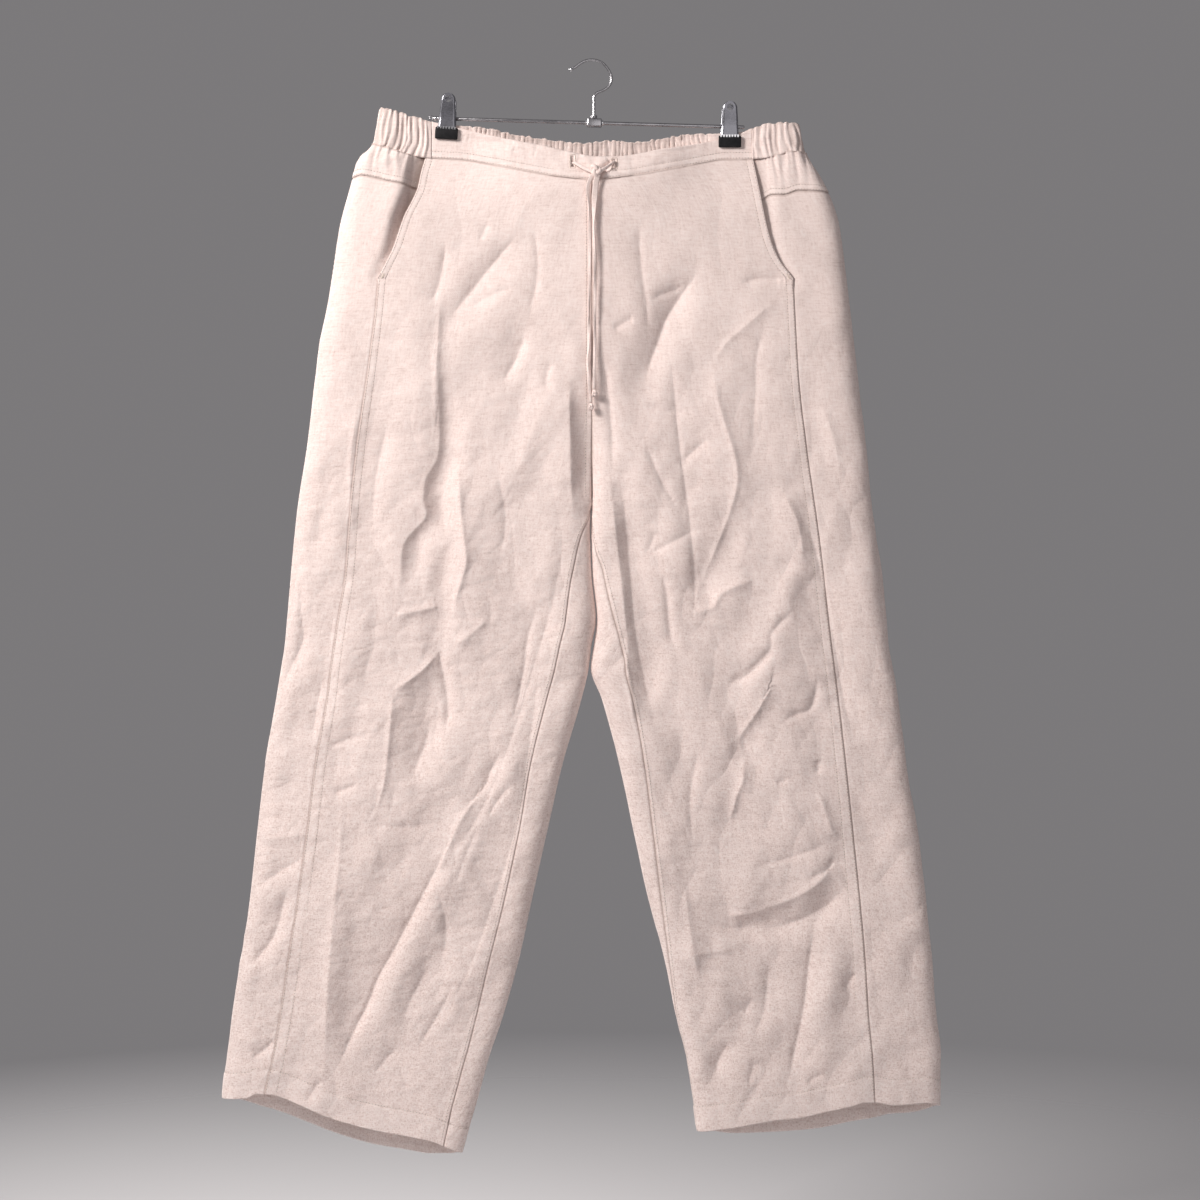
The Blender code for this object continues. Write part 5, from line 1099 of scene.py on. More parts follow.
class Nodes:
    """A material's node tree, with short calls for the nodes that the cloth and steel need."""

    def __init__(self, name, roughness, metallic=0.0, sheen=0.0):
        self.made = bpy.data.materials.new(name)
        self.made.use_nodes = True
        self.tree = self.made.node_tree
        self.shader = self.tree.nodes["Principled BSDF"]
        self.shader.inputs["Roughness"].default_value = roughness
        self.shader.inputs["Metallic"].default_value = metallic
        self.shader.inputs["Sheen Weight"].default_value = sheen

    def node(self, kind, **inputs):
        node = self.tree.nodes.new(kind)
        for name, value in inputs.items():
            socket = node.inputs[name.replace("_", " ")]
            if hasattr(value, "is_output"):
                self.tree.links.new(value, socket)
            else:
                socket.default_value = value
        return node

    def uv(self):
        node = self.tree.nodes.new("ShaderNodeUVMap")
        node.uv_map = "cloth"
        return node.outputs["UV"]

    def own(self):
        return self.tree.nodes.new("ShaderNodeTexCoord").outputs["Object"]

    def noise(self, place, scale, stretch=(1.0, 1.0, 1.0), detail=2.0, rough=0.5, shift=0.0):
        spread = self.node("ShaderNodeMapping", Vector=place, Scale=stretch,
                           Location=(shift, shift * 0.7, 0.0))
        return self.node("ShaderNodeTexNoise", Vector=spread.outputs["Vector"], Scale=scale,
                         Detail=detail, Roughness=rough).outputs["Fac"]

    def creased(self, place, degrees, stretch, shift):
        """Noise folded over at its middle, which leaves sharp lines that lean by an angle."""
        leaning = self.node("ShaderNodeMapping", Vector=place,
                            Rotation=(0.0, 0.0, math.radians(degrees)))
        raw = self.noise(leaning.outputs["Vector"], 1.0, stretch, 1.5, 0.45, shift)
        return self.maths("ABSOLUTE", self.minus(raw, 0.5), 0.0)

    def maths(self, operation, first, second):
        node = self.tree.nodes.new("ShaderNodeMath")
        node.operation = operation
        for socket, value in zip(node.inputs, (first, second)):
            if hasattr(value, "is_output"):
                self.tree.links.new(value, socket)
            else:
                socket.default_value = value
        return node.outputs["Value"]

    def plus(self, first, second):
        return self.maths("ADD", first, second)

    def minus(self, first, second):
        return self.maths("SUBTRACT", first, second)

    def times(self, first, second):
        return self.maths("MULTIPLY", first, second)

    def ranged(self, value, low, high, to_low=0.0, to_high=1.0):
        return self.node("ShaderNodeMapRange", Value=value, From_Min=low, From_Max=high,
                         To_Min=to_low, To_Max=to_high).outputs["Result"]

    def ramp(self, value, stops):
        node = self.tree.nodes.new("ShaderNodeValToRGB")
        band = node.color_ramp.elements
        while len(band) < len(stops):
            band.new(0.5)
        for element, (place, colour) in zip(band, stops):
            element.position = place
            element.color = (*colour, 1.0)
        self.tree.links.new(value, node.inputs["Fac"])
        return node.outputs["Color"]

    def blend(self, share, first, second):
        return self.node("ShaderNodeMixRGB", Fac=share, Color1=first,
                         Color2=(*second, 1.0)).outputs["Color"]

    def carried(self, name):
        """A value that a mesh carries at its points, 0 on a mesh without it."""
        node = self.tree.nodes.new("ShaderNodeAttribute")
        node.attribute_name = name
        return node.outputs["Fac"]

    def colour(self, socket):
        self.tree.links.new(socket, self.shader.inputs["Base Color"])

    def roughness(self, socket):
        self.tree.links.new(socket, self.shader.inputs["Roughness"])

    def bump(self, *layers):
        normal = None
        for height, distance, strength in layers:
            node = self.node("ShaderNodeBump", Height=height, Distance=distance,
                             Strength=strength)
            if normal is not None:
                self.tree.links.new(normal, node.inputs["Normal"])
            normal = node.outputs["Normal"]
        self.tree.links.new(normal, self.shader.inputs["Normal"])


LINEN_DARK = (0.630, 0.490, 0.445)
LINEN_BASE = (0.830, 0.690, 0.645)
LINEN_PALE = (0.915, 0.810, 0.770)
LINEN_PAINTED_SHADE = (0.270, 0.185, 0.155)      # colour of the painted shade down in a seam or a fold
THREADS = 900.0         # threads a metre, each way


# The weave's noise layers: how tightly each runs across and along the cloth, its detail, its
# roughness and where in the noise it lies.
WEAVE = {
    "weft": ((95.0, 430.0, 1.0), 3.0, 0.70, 0.0),
    "warp": ((430.0, 85.0, 1.0), 3.0, 0.70, 3.1),
    "slub_weft": ((40.0, 560.0, 1.0), 1.0, 0.5, 7.7),
    "slub_warp": ((560.0, 36.0, 1.0), 1.0, 0.5, 5.2),
    "patch": ((14.0, 60.0, 1.0), 2.0, 0.5, 4.4),
    "grain": ((950.0, 330.0, 1.0), 2.0, 0.7, 2.4),
    "cross_grain": ((330.0, 950.0, 1.0), 2.0, 0.7, 6.6),
}
# Small sharp creases in the shading: their lean in degrees, how tightly they run across and
# along, where in the noise they lie, and their height.
SMALL_CREASES = ((-20.0, (20.0, 9.0, 1.0), 6.1, 0.0100), (28.0, (46.0, 24.0, 1.0), 8.3, 0.0030),
                 (-7.0, (20.0, 64.0, 1.0), 5.5, 0.0026))


def linen(name, place_of, tint=1.0):
    """Plain-weave linen with slubs both ways; place_of picks its coordinates."""
    made = Nodes(name, roughness=0.88, sheen=0.10)
    place = place_of(made)
    layer = {key: made.noise(place, 1.0, *row) for key, row in WEAVE.items()}
    cloud = made.noise(place, 20.0, detail=4.0, rough=0.6, shift=1.3)
    grain = made.times(made.plus(layer["grain"], layer["cross_grain"]), 0.5)
    streak = made.plus(made.times(layer["weft"], 0.85), made.times(layer["warp"], 0.75))
    slubs = made.plus(made.times(made.ranged(layer["slub_weft"], 0.66, 0.80), 0.24),
                      made.times(made.ranged(layer["slub_warp"], 0.68, 0.82), 0.18))
    value = made.minus(made.minus(streak, 0.28), slubs)
    split = made.node("ShaderNodeSeparateXYZ", Vector=place)
    across, upward = split.outputs["X"], split.outputs["Y"]
    # the grain is coarser towards the hems
    coarser = made.ranged(upward, -0.95, -0.25, 3.4, 0.75)
    for noise, share in ((cloud, 0.24), (layer["patch"], 0.12), (grain, coarser)):
        value = made.plus(value, made.times(made.minus(noise, 0.5), share))
    seams = made.carried("seam_pale_and_shade")
    value = made.plus(value, made.maths("MAXIMUM", seams, 0.0))
    stops = [(0.08, LINEN_DARK), (0.50, LINEN_BASE), (0.92, LINEN_PALE)]
    stops = [(at, tuple(min(part * tint, 0.95) for part in colour)) for at, colour in stops]
    # painted shade: below 0 the carried seam value blends the colour towards the dark shade colour
    deep = made.times(made.maths("MINIMUM", seams, 0.0), -1.0)
    made.colour(made.blend(deep, made.ramp(value, stops), LINEN_PAINTED_SHADE))
    turn = math.pi * THREADS
    weave = made.times(made.maths("SINE", made.times(across, turn), 0.0),
                       made.maths("SINE", made.times(upward, turn), 0.0))
    wrinkle = made.noise(place, 70.0, detail=4.0, rough=0.62, shift=9.0)
    # the small creases are weaker towards the waist
    lower = made.ranged(upward, -0.62, -0.22, 1.0, 0.30)
    small = [(made.times(made.creased(place, *row[:3]), lower), row[3], 0.8)
             for row in SMALL_CREASES]
    beyond = made.maths("DIVIDE", made.maths("ABSOLUTE", made.carried("crease_offset"), 0.0),
                        LINE_REACH)
    lines = made.times(made.minus(1.0, made.maths("MINIMUM", beyond, 1.0)),
                       made.carried("crease_height"))
    made.bump((lines, 0.20, 1.0), *small, (wrinkle, 0.0006, 0.60), (streak, 0.0007, 0.45),
              (weave, 0.00010, 0.30))
    return made.made


def metal(name, colour, roughness, scuffs):
    """Polished steel with fine uneven rubbing."""
    made = Nodes(name, roughness=roughness, metallic=1.0)
    place = made.own()
    cloud = made.noise(place, 60.0, detail=3.0)
    scratch = made.noise(place, 400.0, (1.0, 1.0, 14.0), detail=2.0, rough=0.7)
    dull = tuple(part * 0.72 for part in colour)
    made.colour(made.ramp(made.plus(made.times(cloud, 0.7),
                                     made.times(scratch, 0.3)),
                          [(0.34, dull), (0.58, colour)]))
    made.roughness(made.ranged(scratch, 0.3, 0.7, roughness, roughness + scuffs))
    made.bump((scratch, 0.00008, 0.25))
    return made.made


def rubber():
    """Dull black rubber, a little dusty."""
    made = Nodes("rubber", roughness=0.6)
    made.shader.inputs["Specular IOR Level"].default_value = 0.22
    place = made.own()
    dust = made.noise(place, 180.0, detail=4.0, rough=0.65)
    made.colour(made.ramp(dust, [(0.35, (0.004, 0.004, 0.005)), (0.75, (0.016, 0.015, 0.017))]))
    made.roughness(made.ranged(dust, 0.3, 0.8, 0.5, 0.72))
    made.bump((made.noise(place, 900.0, detail=2.0), 0.0002, 0.3))
    return made.made


def thread():
    """Pale twisted sewing thread."""
    made = Nodes("thread", roughness=0.62, sheen=0.1)
    twist = made.noise(made.own(), 1500.0, detail=1.0)
    made.colour(made.ramp(twist, [(0.3, (0.66, 0.55, 0.47)), (0.7, (0.86, 0.77, 0.69))]))
    made.bump((twist, 0.0001, 0.4))
    return made.made


MATERIAL = {
    "linen": linen("linen", Nodes.uv),
    "casing": linen("gathered_linen", Nodes.uv),
    "bag": linen("pocket_linen", Nodes.uv, 0.93),
    "tie": linen("tie_linen", Nodes.uv, 1.04),
    "knot": linen("knot_linen", Nodes.own, 1.02),
    "thread": thread(),
    # darkened linen for the needle holes, painted shade in the holes
    "hole": linen("needle_hole_shade", Nodes.own, 0.45),
    "steel": metal("polished_steel", (0.52, 0.51, 0.53), 0.16, 0.18),
    "dark_steel": metal("clip_steel", (0.30, 0.30, 0.33), 0.20, 0.20),
    "bright": metal("bright_steel", (0.86, 0.86, 0.88), 0.10, 0.12),
    "rubber": rubber(),
}

# ---------------------------------------------------------------- fine shells

OUTSIDE = CLOTH / 2     # from the model's middle surface to a shell's outer face
SHELL = 0.0009          # thickness of a shell
LAP = 0.0035            # a panel runs on this far beneath its neighbour at a seam
LAP_STEP = 0.0007       # and this far down,
LAP_EASE = 0.0010       # which it reaches over this distance
# How the cloth beside each pocket mouth rolls: its rise, its drop under the edge and its reach.
MOUTH_ROLL = {"left": (0.0016, 0.0040, 0.015), "right": (0.0006, 0.0004, 0.012)}
ROLL_FOOT = 0.25        # share of its reach that the roll has at the mouth's foot
HEAD_ROWS = np.array((0.0012, 0.0024, 0.0040, 0.0060))  # below a leg panel's upper seam
HEAD_END = 0.0080       # the last of these closer rows
HEM_END = 0.003         # rows close up from this far above the hem's stitches
HEM_COUNT = 24          # rows in a hem
WIDTH_LEVEL = -0.6      # where a leg panel's columns are counted out
FRONT_GRID = (0.0025, 0.0012, 0.014, 0.008)     # step, fine step, the fine zones' widths
BACK_GRID = (0.0040, 0.0011, 0.012, 0.012)
BACK_NARROWER = 0.24    # the back panel is this much narrower than both faces of its half
FRONT_STEP, BACK_STEP = 0.0026, 0.0042          # between rows
TUCK = 0.0006           # a panel runs on this far beneath the seam over it
FULLNESS = 1.15         # gathered cloth is cut this much longer than it hangs
MESH_SHARE = 0.31       # the least share of its width times its length that a cut piece fills


def made_mesh(name, vertices, faces, kind, uv=None):
    """A smooth mesh object of one material, with places on the flat cloth if they are given."""
    mesh = bpy.data.meshes.new(name)
    mesh.from_pydata([tuple(point) for point in vertices], [], faces)
    if uv is not None:
        layer = mesh.uv_layers.new(name="cloth")
        corner = np.empty(len(mesh.loops), dtype=np.int32)
        mesh.loops.foreach_get("vertex_index", corner)
        layer.data.foreach_set("uv", np.asarray(uv)[corner].astype(np.float32).ravel())
    mesh.shade_smooth()
    mesh.materials.append(kind)
    made = bpy.data.objects.new(name, mesh)
    SCENE.collection.objects.link(made)
    return made


def shell(name, middle, outward, uv, kind, out=OUTSIDE, thickness=SHELL, holes=None):
    """A thin cloth shell over a grid of points of the model's middle surface."""
    rows, columns = middle.shape[:2]
    points = (middle + outward * out).reshape(-1, 3)
    index = np.arange(rows * columns).reshape(rows, columns)
    quads = np.stack((index[:-1, :-1], index[:-1, 1:], index[1:, 1:], index[1:, :-1]), axis=-1)
    if holes is not None:
        quads = quads[~holes]
    quads = quads.reshape(-1, 4)
    a, b, d = points[quads[:, 0]], points[quads[:, 1]], points[quads[:, 3]]
    facing = np.einsum("ij,ij->i", np.cross(b - a, d - a), outward.reshape(-1, 3)[quads[:, 0]])
    if facing.sum() < 0:
        quads = quads[:, ::-1]
    made = made_mesh(name, points, quads.tolist(), kind, uv.reshape(-1, 2))
    solid = made.modifiers.new("thickness", "SOLIDIFY")
    solid.thickness = thickness
    solid.offset = -1.0
    return made


def carry(made, name, value):
    """Give a piece's material a value at each of its points."""
    layer = made.data.attributes.new(name, "FLOAT", "POINT")
    layer.data.foreach_set("value", value.astype(np.float32).ravel())


def sharpen(made, x, level, face):
    """Give a panel's material the lines of its creases."""
    sides = crease_lines(x, level, FRONT_CREASES), crease_lines(x, level, BACK_CREASES)
    for name, front, back in zip(("crease_offset", "crease_height"), *sides):
        carry(made, name, np.where(face > 0, front, back))


def panel(half, kind, around, level, relief, material="linen"):
    """One panel of a half, over rows and columns of its cloth."""
    middle, outward = cloth(half, around, level, relief)
    made = shell(f"cloth_{kind}_{half.name}", middle, outward,
                 np.stack((around, level), axis=-1), MATERIAL[material])
    return made, middle[..., 0]


def panel_pale_and_shade(made, half, around, level, kind):
    """Give a panel's material its paler places and its painted shade."""
    x = half.section(around, level)[0]
    face = half.face_of(around, level)
    carry(made, "seam_pale_and_shade", seam_pale_and_shade(half, around, level, x, face)
          + mouth_pale_and_shade(half, around, level, kind))


def dress(made, *nodes, slot_name="linen"):
    """Put a piece in the frame, in place of its solids where it has any."""
    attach(made, "root")
    if nodes:
        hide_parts(*nodes)


def cut_sheet(made, around, level, fullness=1.0):
    """Work out the size of a panel's flat cut, measured along the cloth; nothing is done with it."""
    width = np.abs(around[:, -1] - around[:, 0])
    height = np.abs(level[-1].mean() - level[0].mean())
    rows = np.abs(np.diff(level.mean(axis=1)))
    area = float(((width[1:] + width[:-1]) / 2 * rows).sum()) * fullness
    flat = (float(width.max()) * fullness, float(height))
    area = min(max(area, MESH_SHARE * flat[0] * flat[1]), flat[0] * flat[1])


def panel_levels(top, hem, step):
    """Rows of a leg panel, closer at its upper seam and at its hem, with one at the crotch."""
    upper = max(4, round((float(top.mean()) - POCKET_FOOT) / step))
    shares = np.linspace(0, 1, upper, endpoint=False)
    rows = [top] + [top - drop for drop in HEAD_ROWS]
    first = top - HEAD_END
    rows += [first + share * (POCKET_FOOT - first) for share in shares]
    for start, end in ((POCKET_FOOT, CROTCH), (CROTCH, HEM_ZONE)):
        count = round((start - end) / step)
        rows += [np.full(top.shape, level)
                 for level in np.linspace(start, end, count, endpoint=False)]
    last = hem + HEM_TURN + HEM_END
    lower = round((HEM_ZONE - float(last.mean())) / step)
    rows += [HEM_ZONE + share * (last - HEM_ZONE)
             for share in np.linspace(0, 1, lower, endpoint=False)]
    rows += [last + share * (hem - last) for share in np.linspace(0, 1, HEM_COUNT)]
    return np.array(rows)


def graded(length, step, fine, start_zone, end_zone):
    """Shares from 0 to 1, close together near both ends and further apart between."""
    head = np.arange(0.0, start_zone, fine)
    tail = length - np.arange(0.0, end_zone, fine)[::-1]
    middle = np.linspace(head[-1] + fine, tail[0] - fine, round((tail[0] - head[-1]) / step))
    return np.concatenate((head, middle, tail)) / length


def front_spread(half, shares):
    """How the front panel's columns lie round its half, at any level."""

    def spread(level):
        start = half.front_edge(level)
        return start + shares * (half.reach(level) - half.wrap(level) - start)

    return spread


def front_relief(half, around, level):
    """The front panel's lift and stitched edge at the pocket mouth."""
    return half.mouth_lift(around, level) + mouth_finish(half, around, level)


def mouth_roll(half, around, level):
    """How the cloth beside the pocket mouth rolls over and dives under the front's edge."""
    outward = half.front_edge(level) - around
    rise, drop, reach = MOUTH_ROLL[half.name]
    share = mouth_open(level)
    reach = reach * (ROLL_FOOT + (1 - ROLL_FOOT) * share)
    dive = drop * half.mouth_share(level) * ease(1 - outward / reach)
    return share * (rise * groove(outward - 1.5 * reach, reach) - dive)


def lap_under(past_seam):
    """Drop of a cloth that runs on beneath its neighbour, by how far it is past the seam."""
    return -LAP_STEP * ease((past_seam + TUCK) / LAP_EASE)


def back_columns(half, shares):
    """Columns of the back panel, which run on a little beneath the front panel."""

    def spread(level):
        start = -half.reach(level) - half.wrap(level) - LAP * ease((CROTCH - level) / SHORT_START)
        side = half.front_edge(level) + LAP * ease((POCKET_FOOT - level) / SHORT_START)
        end = np.where(level >= POCKET_FOOT, half.under_edge(level), side)
        return start + shares * (end - start)

    return spread


def back_relief(half, around, level):
    """The back panel's dip under the pocket mouth and beneath its neighbours."""
    past_inseam = np.where(level < CROTCH, -(around + half.reach(level) + half.wrap(level)), -1.0)
    past_side = np.where(level < POCKET_FOOT, around - half.front_edge(level), -1.0)
    past_hip = level - half.hip(half.face_of(around, level), half.section(around, level)[0])
    past = np.maximum(np.maximum(past_inseam, past_side), past_hip)
    return half.mouth_sink(around, level) + mouth_roll(half, around, level) + lap_under(past)


def leg_panel(half, kind, shares, spread, top, step, relief_of):
    """A front or back leg panel, from its upper seam down to its hem."""
    guess = np.full(len(shares), HEM_GUESS)
    level = panel_levels(top, half.line_level(spread, half.hem, guess), step)
    around = np.array([spread(row) for row in level])
    made, x = panel(half, kind, around, level, relief_of(half, around, level))
    sharpen(made, x, level, half.face_of(around, level))
    panel_pale_and_shade(made, half, around, level, kind)
    dress(made, f"{kind}_{half.name}")
    cut_sheet(made, around, level)


def front_panel(half):
    """One half's front panel, cut away along the pocket mouth."""
    level = np.array(WIDTH_LEVEL)
    shares = graded(float(half.reach(level) - half.front_edge(level)), *FRONT_GRID)
    spread = front_spread(half, shares)
    top = half.line_level(spread, waist, np.full(len(shares), TOP_GUESS)) + TUCK
    leg_panel(half, "front", shares, spread, top, FRONT_STEP, front_relief)


def back_panel(half):
    """One half's back panel, which wraps round both folds of the leg."""
    shares = graded(float(half.reach(np.array(WIDTH_LEVEL)) * 2 - BACK_NARROWER), *BACK_GRID)
    spread = back_columns(half, shares)
    top = half.line_level(spread, half.hip, np.full(len(shares), HIP_GUESS)) + LAP
    leg_panel(half, "back", shares, spread, top, BACK_STEP, back_relief)


CREST_ROUND = 0.85      # the smaller, the rounder the crests and the sharper the valleys
GRIP_HALF = 0.0125      # a clip holds the gathers flat this far to each side of its centre
GRIP_FADE = 0.012
YOKE_FINE_PITCH = 0.0052
YOKE_FINE = 0.0012      # height of the yoke's fine gathers, and of its fullness beside a clip
YOKE_POWER = 1.2        # how its coarse gathers grow towards its head
YOKE_DRIFT = 0.008      # how far its gathers waver, as a share of its length
FINE_DRIFT = 0.7
YOKE_COLUMN = 0.0016
YOKE_ROWS = 30


def gathers(stops, strength, place):
    """Height of uneven gathers at places along them: round crests and sharp valleys."""
    i = np.clip(np.searchsorted(stops, place) - 1, 0, len(stops) - 2)
    t = np.clip((place - stops[i]) / (stops[i + 1] - stops[i]), 0.0, 1.0)
    up = np.where(strength[i] < strength[i + 1], t, 1 - t)
    low = np.minimum(strength[i], strength[i + 1])
    high = np.maximum(strength[i], strength[i + 1])
    return low + (high - low) * np.sin(up * math.pi / 2) ** CREST_ROUND


def gathered(length, pitch, place):
    """Uneven gathers at places, given as shares of a length."""
    return gathers(*gather_stops(length, pitch), np.clip(place, 0.0, 1.0))


def grip(x):
    """1 between the pads of a clip and 0 a little way to their sides."""
    near = 0.0
    for centre in CLIP_CENTRES:
        near = np.maximum(near, 1 - ease((np.abs(x - centre) - GRIP_HALF) / GRIP_FADE))
    return near


def yoke_length(half):
    """Length of a yoke, from the centre back round to the cloth under the pocket mouth."""
    level = np.array(YOKE_LEVEL)
    return float(half.under_edge(level) + half.reach(level))


def yoke_relief(half, around, level):
    """Gathers of the hip yoke, strongest at its upper edge, and its step under the mouth."""
    length = yoke_length(half)
    reach = half.reach(level)
    place = (around + reach) / (half.under_edge(level) + reach)
    face = half.face_of(around, level)
    x = half.section(around, level)[0]
    foot = half.hip(face, x)
    rise = np.clip((level - foot) / (waist(face, x) - foot), 0.0, 1.0)
    drift = YOKE_DRIFT * soft_noise(rise * 2.2, place * 24, 81)
    growth = YOKE_GATHER_FOOT + (1 - YOKE_GATHER_FOOT) * rise ** YOKE_POWER
    relief = (gathered(length, YOKE_GATHER_PITCH, place + drift) * YOKE_GATHER_HALF * growth
              + gathered(length, YOKE_FINE_PITCH, place + FINE_DRIFT * drift)
              * YOKE_FINE * rise ** 2)
    free = 1 - grip(x) * pinch(x, level)
    relief = (relief * (YOKE_GATHER_HELD + (1 - YOKE_GATHER_HELD) * free)
              + YOKE_FINE * pinch(x, level) * free * rise)
    under = 1 - ease((around - half.front_edge(level) + YOKE_FLAT) / YOKE_FLAT_FADE)
    return relief * under + half.mouth_sink(around, level) + mouth_roll(half, around, level)


def yoke(half):
    """One half's gathered yoke, between the casing and the back panel."""
    shares = np.linspace(0.0, 1.0, round(yoke_length(half) / YOKE_COLUMN) + 1)

    def spread(level):
        start = -half.reach(level)
        return start + shares * (half.under_edge(level) - start)

    foot = half.line_level(spread, half.hip, np.full(len(shares), HIP_GUESS))
    head = half.line_level(spread, waist, np.full(len(shares), TOP_GUESS)) + TUCK
    level = np.array([foot + row * (head - foot) for row in np.linspace(0.0, 1.0, YOKE_ROWS)])
    around = np.array([spread(row) for row in level])
    made, _x = panel(half, "yoke", around, level, yoke_relief(half, around, level))
    panel_pale_and_shade(made, half, around, level, "yoke")
    dress(made, "yoke_" + half.name)
    cut_sheet(made, around, level, fullness=FULLNESS)


BAG_COLUMNS, BAG_ROWS = 46, 60


def pocket_bag(half):
    """The bag behind a pocket mouth, which shows where the mouth stands open."""
    columns = np.linspace(0.0, 1.0, BAG_COLUMNS)
    levels = np.linspace(BAG_HEAD, BAG_FOOT, BAG_ROWS)
    level = np.repeat(levels[:, None], len(columns), axis=1)
    seam_side = half.around_at(half.seam(level), level) + BAG_SEAM_GAP
    start = np.where(level >= POCKET_FOOT, half.under_edge(level) + BAG_EDGE_GAP, seam_side)
    end = half.around_at(BAG_INNER, level)
    around = start + columns * (end - start)
    x = half.section(around, level)[0]
    down = (BAG_HEAD - level) / (BAG_HEAD - BAG_FOOT)
    level = np.minimum(level, waist_seam(x) - BAG_HEAD_GAP)
    hollow = np.sin(math.pi * np.clip(down, 0.0, 1.0)) ** 0.5
    off_side = ease(columns / BAG_RIM_SHARE)
    off_end = ease((1 - columns) / BAG_END_SHARE)
    open_side = np.where(level >= POCKET_FOOT, 1.0, off_side)
    depth = BAG_STEP + BAG_DEPTH * hollow * np.minimum(open_side, off_end)
    at_mouth = BAG_STEP + half.sink * half.mouth_share(level)
    blend = np.where(level >= POCKET_FOOT, off_side, 1.0)
    depth = at_mouth * (1 - blend) + depth * blend
    made, _x = panel(half, "pocket", around, level, -depth, "bag")
    dress(made, "pocket_" + half.name)
    cut_sheet(made, around, level)


# ---------------------------------------------------------------- waistband

CASING_COLUMN = 0.0010
CASING_ROWS = 22
BAND_COLUMNS = 242
BAND_ROWS = 22
BAND_SHELL = 0.0017     # the waistband's shells are this thick
GATHER_DRIFT = 0.0026   # how far the casing's gathers waver
GATHER_FORK = 0.0007    # height of the finer ripples between them
SIDE_GATHER_SIZE = GATHER_SIDE_HALF * 0.95
GATHER_LEFT = 0.10      # share of the gathers that is left between a clip's pads
HEAD_LIP = 0.0008       # how far the casing's upper edge turns in
HEAD_CRESTS = 90        # places at which that edge rises or falls unevenly
HEAD_CREST = 0.0013     # the most that it does
MIDDLE_ROW = 10
VALLEY_PAINTED_SHADE = 0.30      # painted shade: the bottoms of the casing's gathers look this much darker


def casing_half(half, run):
    """The casing's cloth along one half, at distances round from its outer edge."""
    level_0 = np.array(BAND_GUESS)
    join = float(half.around_at(BAND_JOIN, level_0))
    back = float(half.reach(level_0))
    rows = np.linspace(0.0, 1.0, CASING_ROWS)
    side_share = np.clip(run / join, 0.0, 1.0)
    back_share = np.clip(-run / back, 0.0, 1.0)
    on_side = run >= 0

    def spread(level):
        return np.where(on_side, side_share * half.around_at(BAND_JOIN, level),
                        -back_share * half.reach(level))

    guess = np.full(len(run), BAND_GUESS)
    head = half.line_level(spread, lambda face, x: casing_top(x), guess)
    foot = half.line_level(spread, waist, guess)
    level = np.array([foot + row * (head - foot) for row in rows])
    around = np.array([spread(row) for row in level])
    x = half.section(around, level)[0]
    free = 1 - grip(x)
    drift = GATHER_DRIFT * soft_noise(rows[:, None] * 2.2 + 0 * run, run[None, :] * 95, 91)
    fork = GATHER_FORK * soft_noise(rows[:, None] * 3.0 + 0 * run, run[None, :] * 420, 93)
    side = gathered(join, GATHER_SIDE_PITCH, (run + drift) / join)
    rear = gathered(back, GATHER_BACK_PITCH, -(run + drift) / back)
    size = np.where(on_side, SIDE_GATHER_SIZE, GATHER_BACK_HALF)
    height = size * (np.where(on_side, side, rear) * (GATHER_LEFT + (1 - GATHER_LEFT) * free)
                     + pinch(x, level) * free)
    waver = 0.75 + 0.25 * np.sin(rows * math.pi)[:, None]
    lip = -HEAD_LIP * np.exp(-(1 - rows[:, None]) / 0.05)
    spikes = lattice(np.arange(float(HEAD_CRESTS)), np.zeros(HEAD_CRESTS), 5)
    crest = HEAD_CREST * gathers(np.linspace(0, 1, HEAD_CRESTS), spikes,
                                 (run - run.min()) / np.ptp(run))
    level = level + (rows ** 3)[:, None] * (crest * free[MIDDLE_ROW])[None, :]
    relief = height * waver + fork * free + lip
    middle, outward = half.surface(around, level, relief)
    # painted shade in the valleys of the gathers
    dark = -VALLEY_PAINTED_SHADE * free * (1 - np.clip(relief / size, 0.0, 1.0)) ** 2
    return middle, outward, np.stack((around * half.sign, level), axis=-1), dark


def casing():
    """The elastic casing, gathered, from the left join round the back to the right join."""
    sides = []
    for half in HALVES:
        level = np.array(BAND_GUESS)
        join, back = float(half.around_at(BAND_JOIN, level)), float(half.reach(level))
        run = np.linspace(join, -back, round((join + back) / CASING_COLUMN) + 1)
        sides.append(casing_half(half, run if half.sign < 0 else run[::-1][1:]))
    middle, outward, uv, dark = (np.concatenate(parts, axis=1) for parts in zip(*sides))
    made = shell("cloth_casing", middle, outward, uv, MATERIAL["casing"], out=DOUBLED / 2,
                 thickness=BAND_SHELL)
    # the gathers' painted valley shade
    carry(made, "seam_pale_and_shade", dark)
    dress(made, "waistband_back", slot_name="gathered_linen")
    length = float(np.linalg.norm(np.diff(middle[MIDDLE_ROW], axis=0), axis=1).sum())


def band_surface(x, rows, extra):
    """Places of the flat front band at given x, from its foot (0) to its head (1)."""
    foot = waist_seam(x)
    level = np.array([foot + row * (band_top(x) - foot) for row in rows])
    sides = []
    for half in HALVES:
        mine = (x < 0) if half.sign < 0 else (x >= 0)
        around = half.around_at(half.sign * x[mine], level[:, mine])
        sides.append(half.surface(around, level[:, mine], extra(x[mine], rows, level[:, mine])))
    middle, outward = (np.concatenate(parts, axis=1) for parts in zip(*sides))
    return middle, outward, level


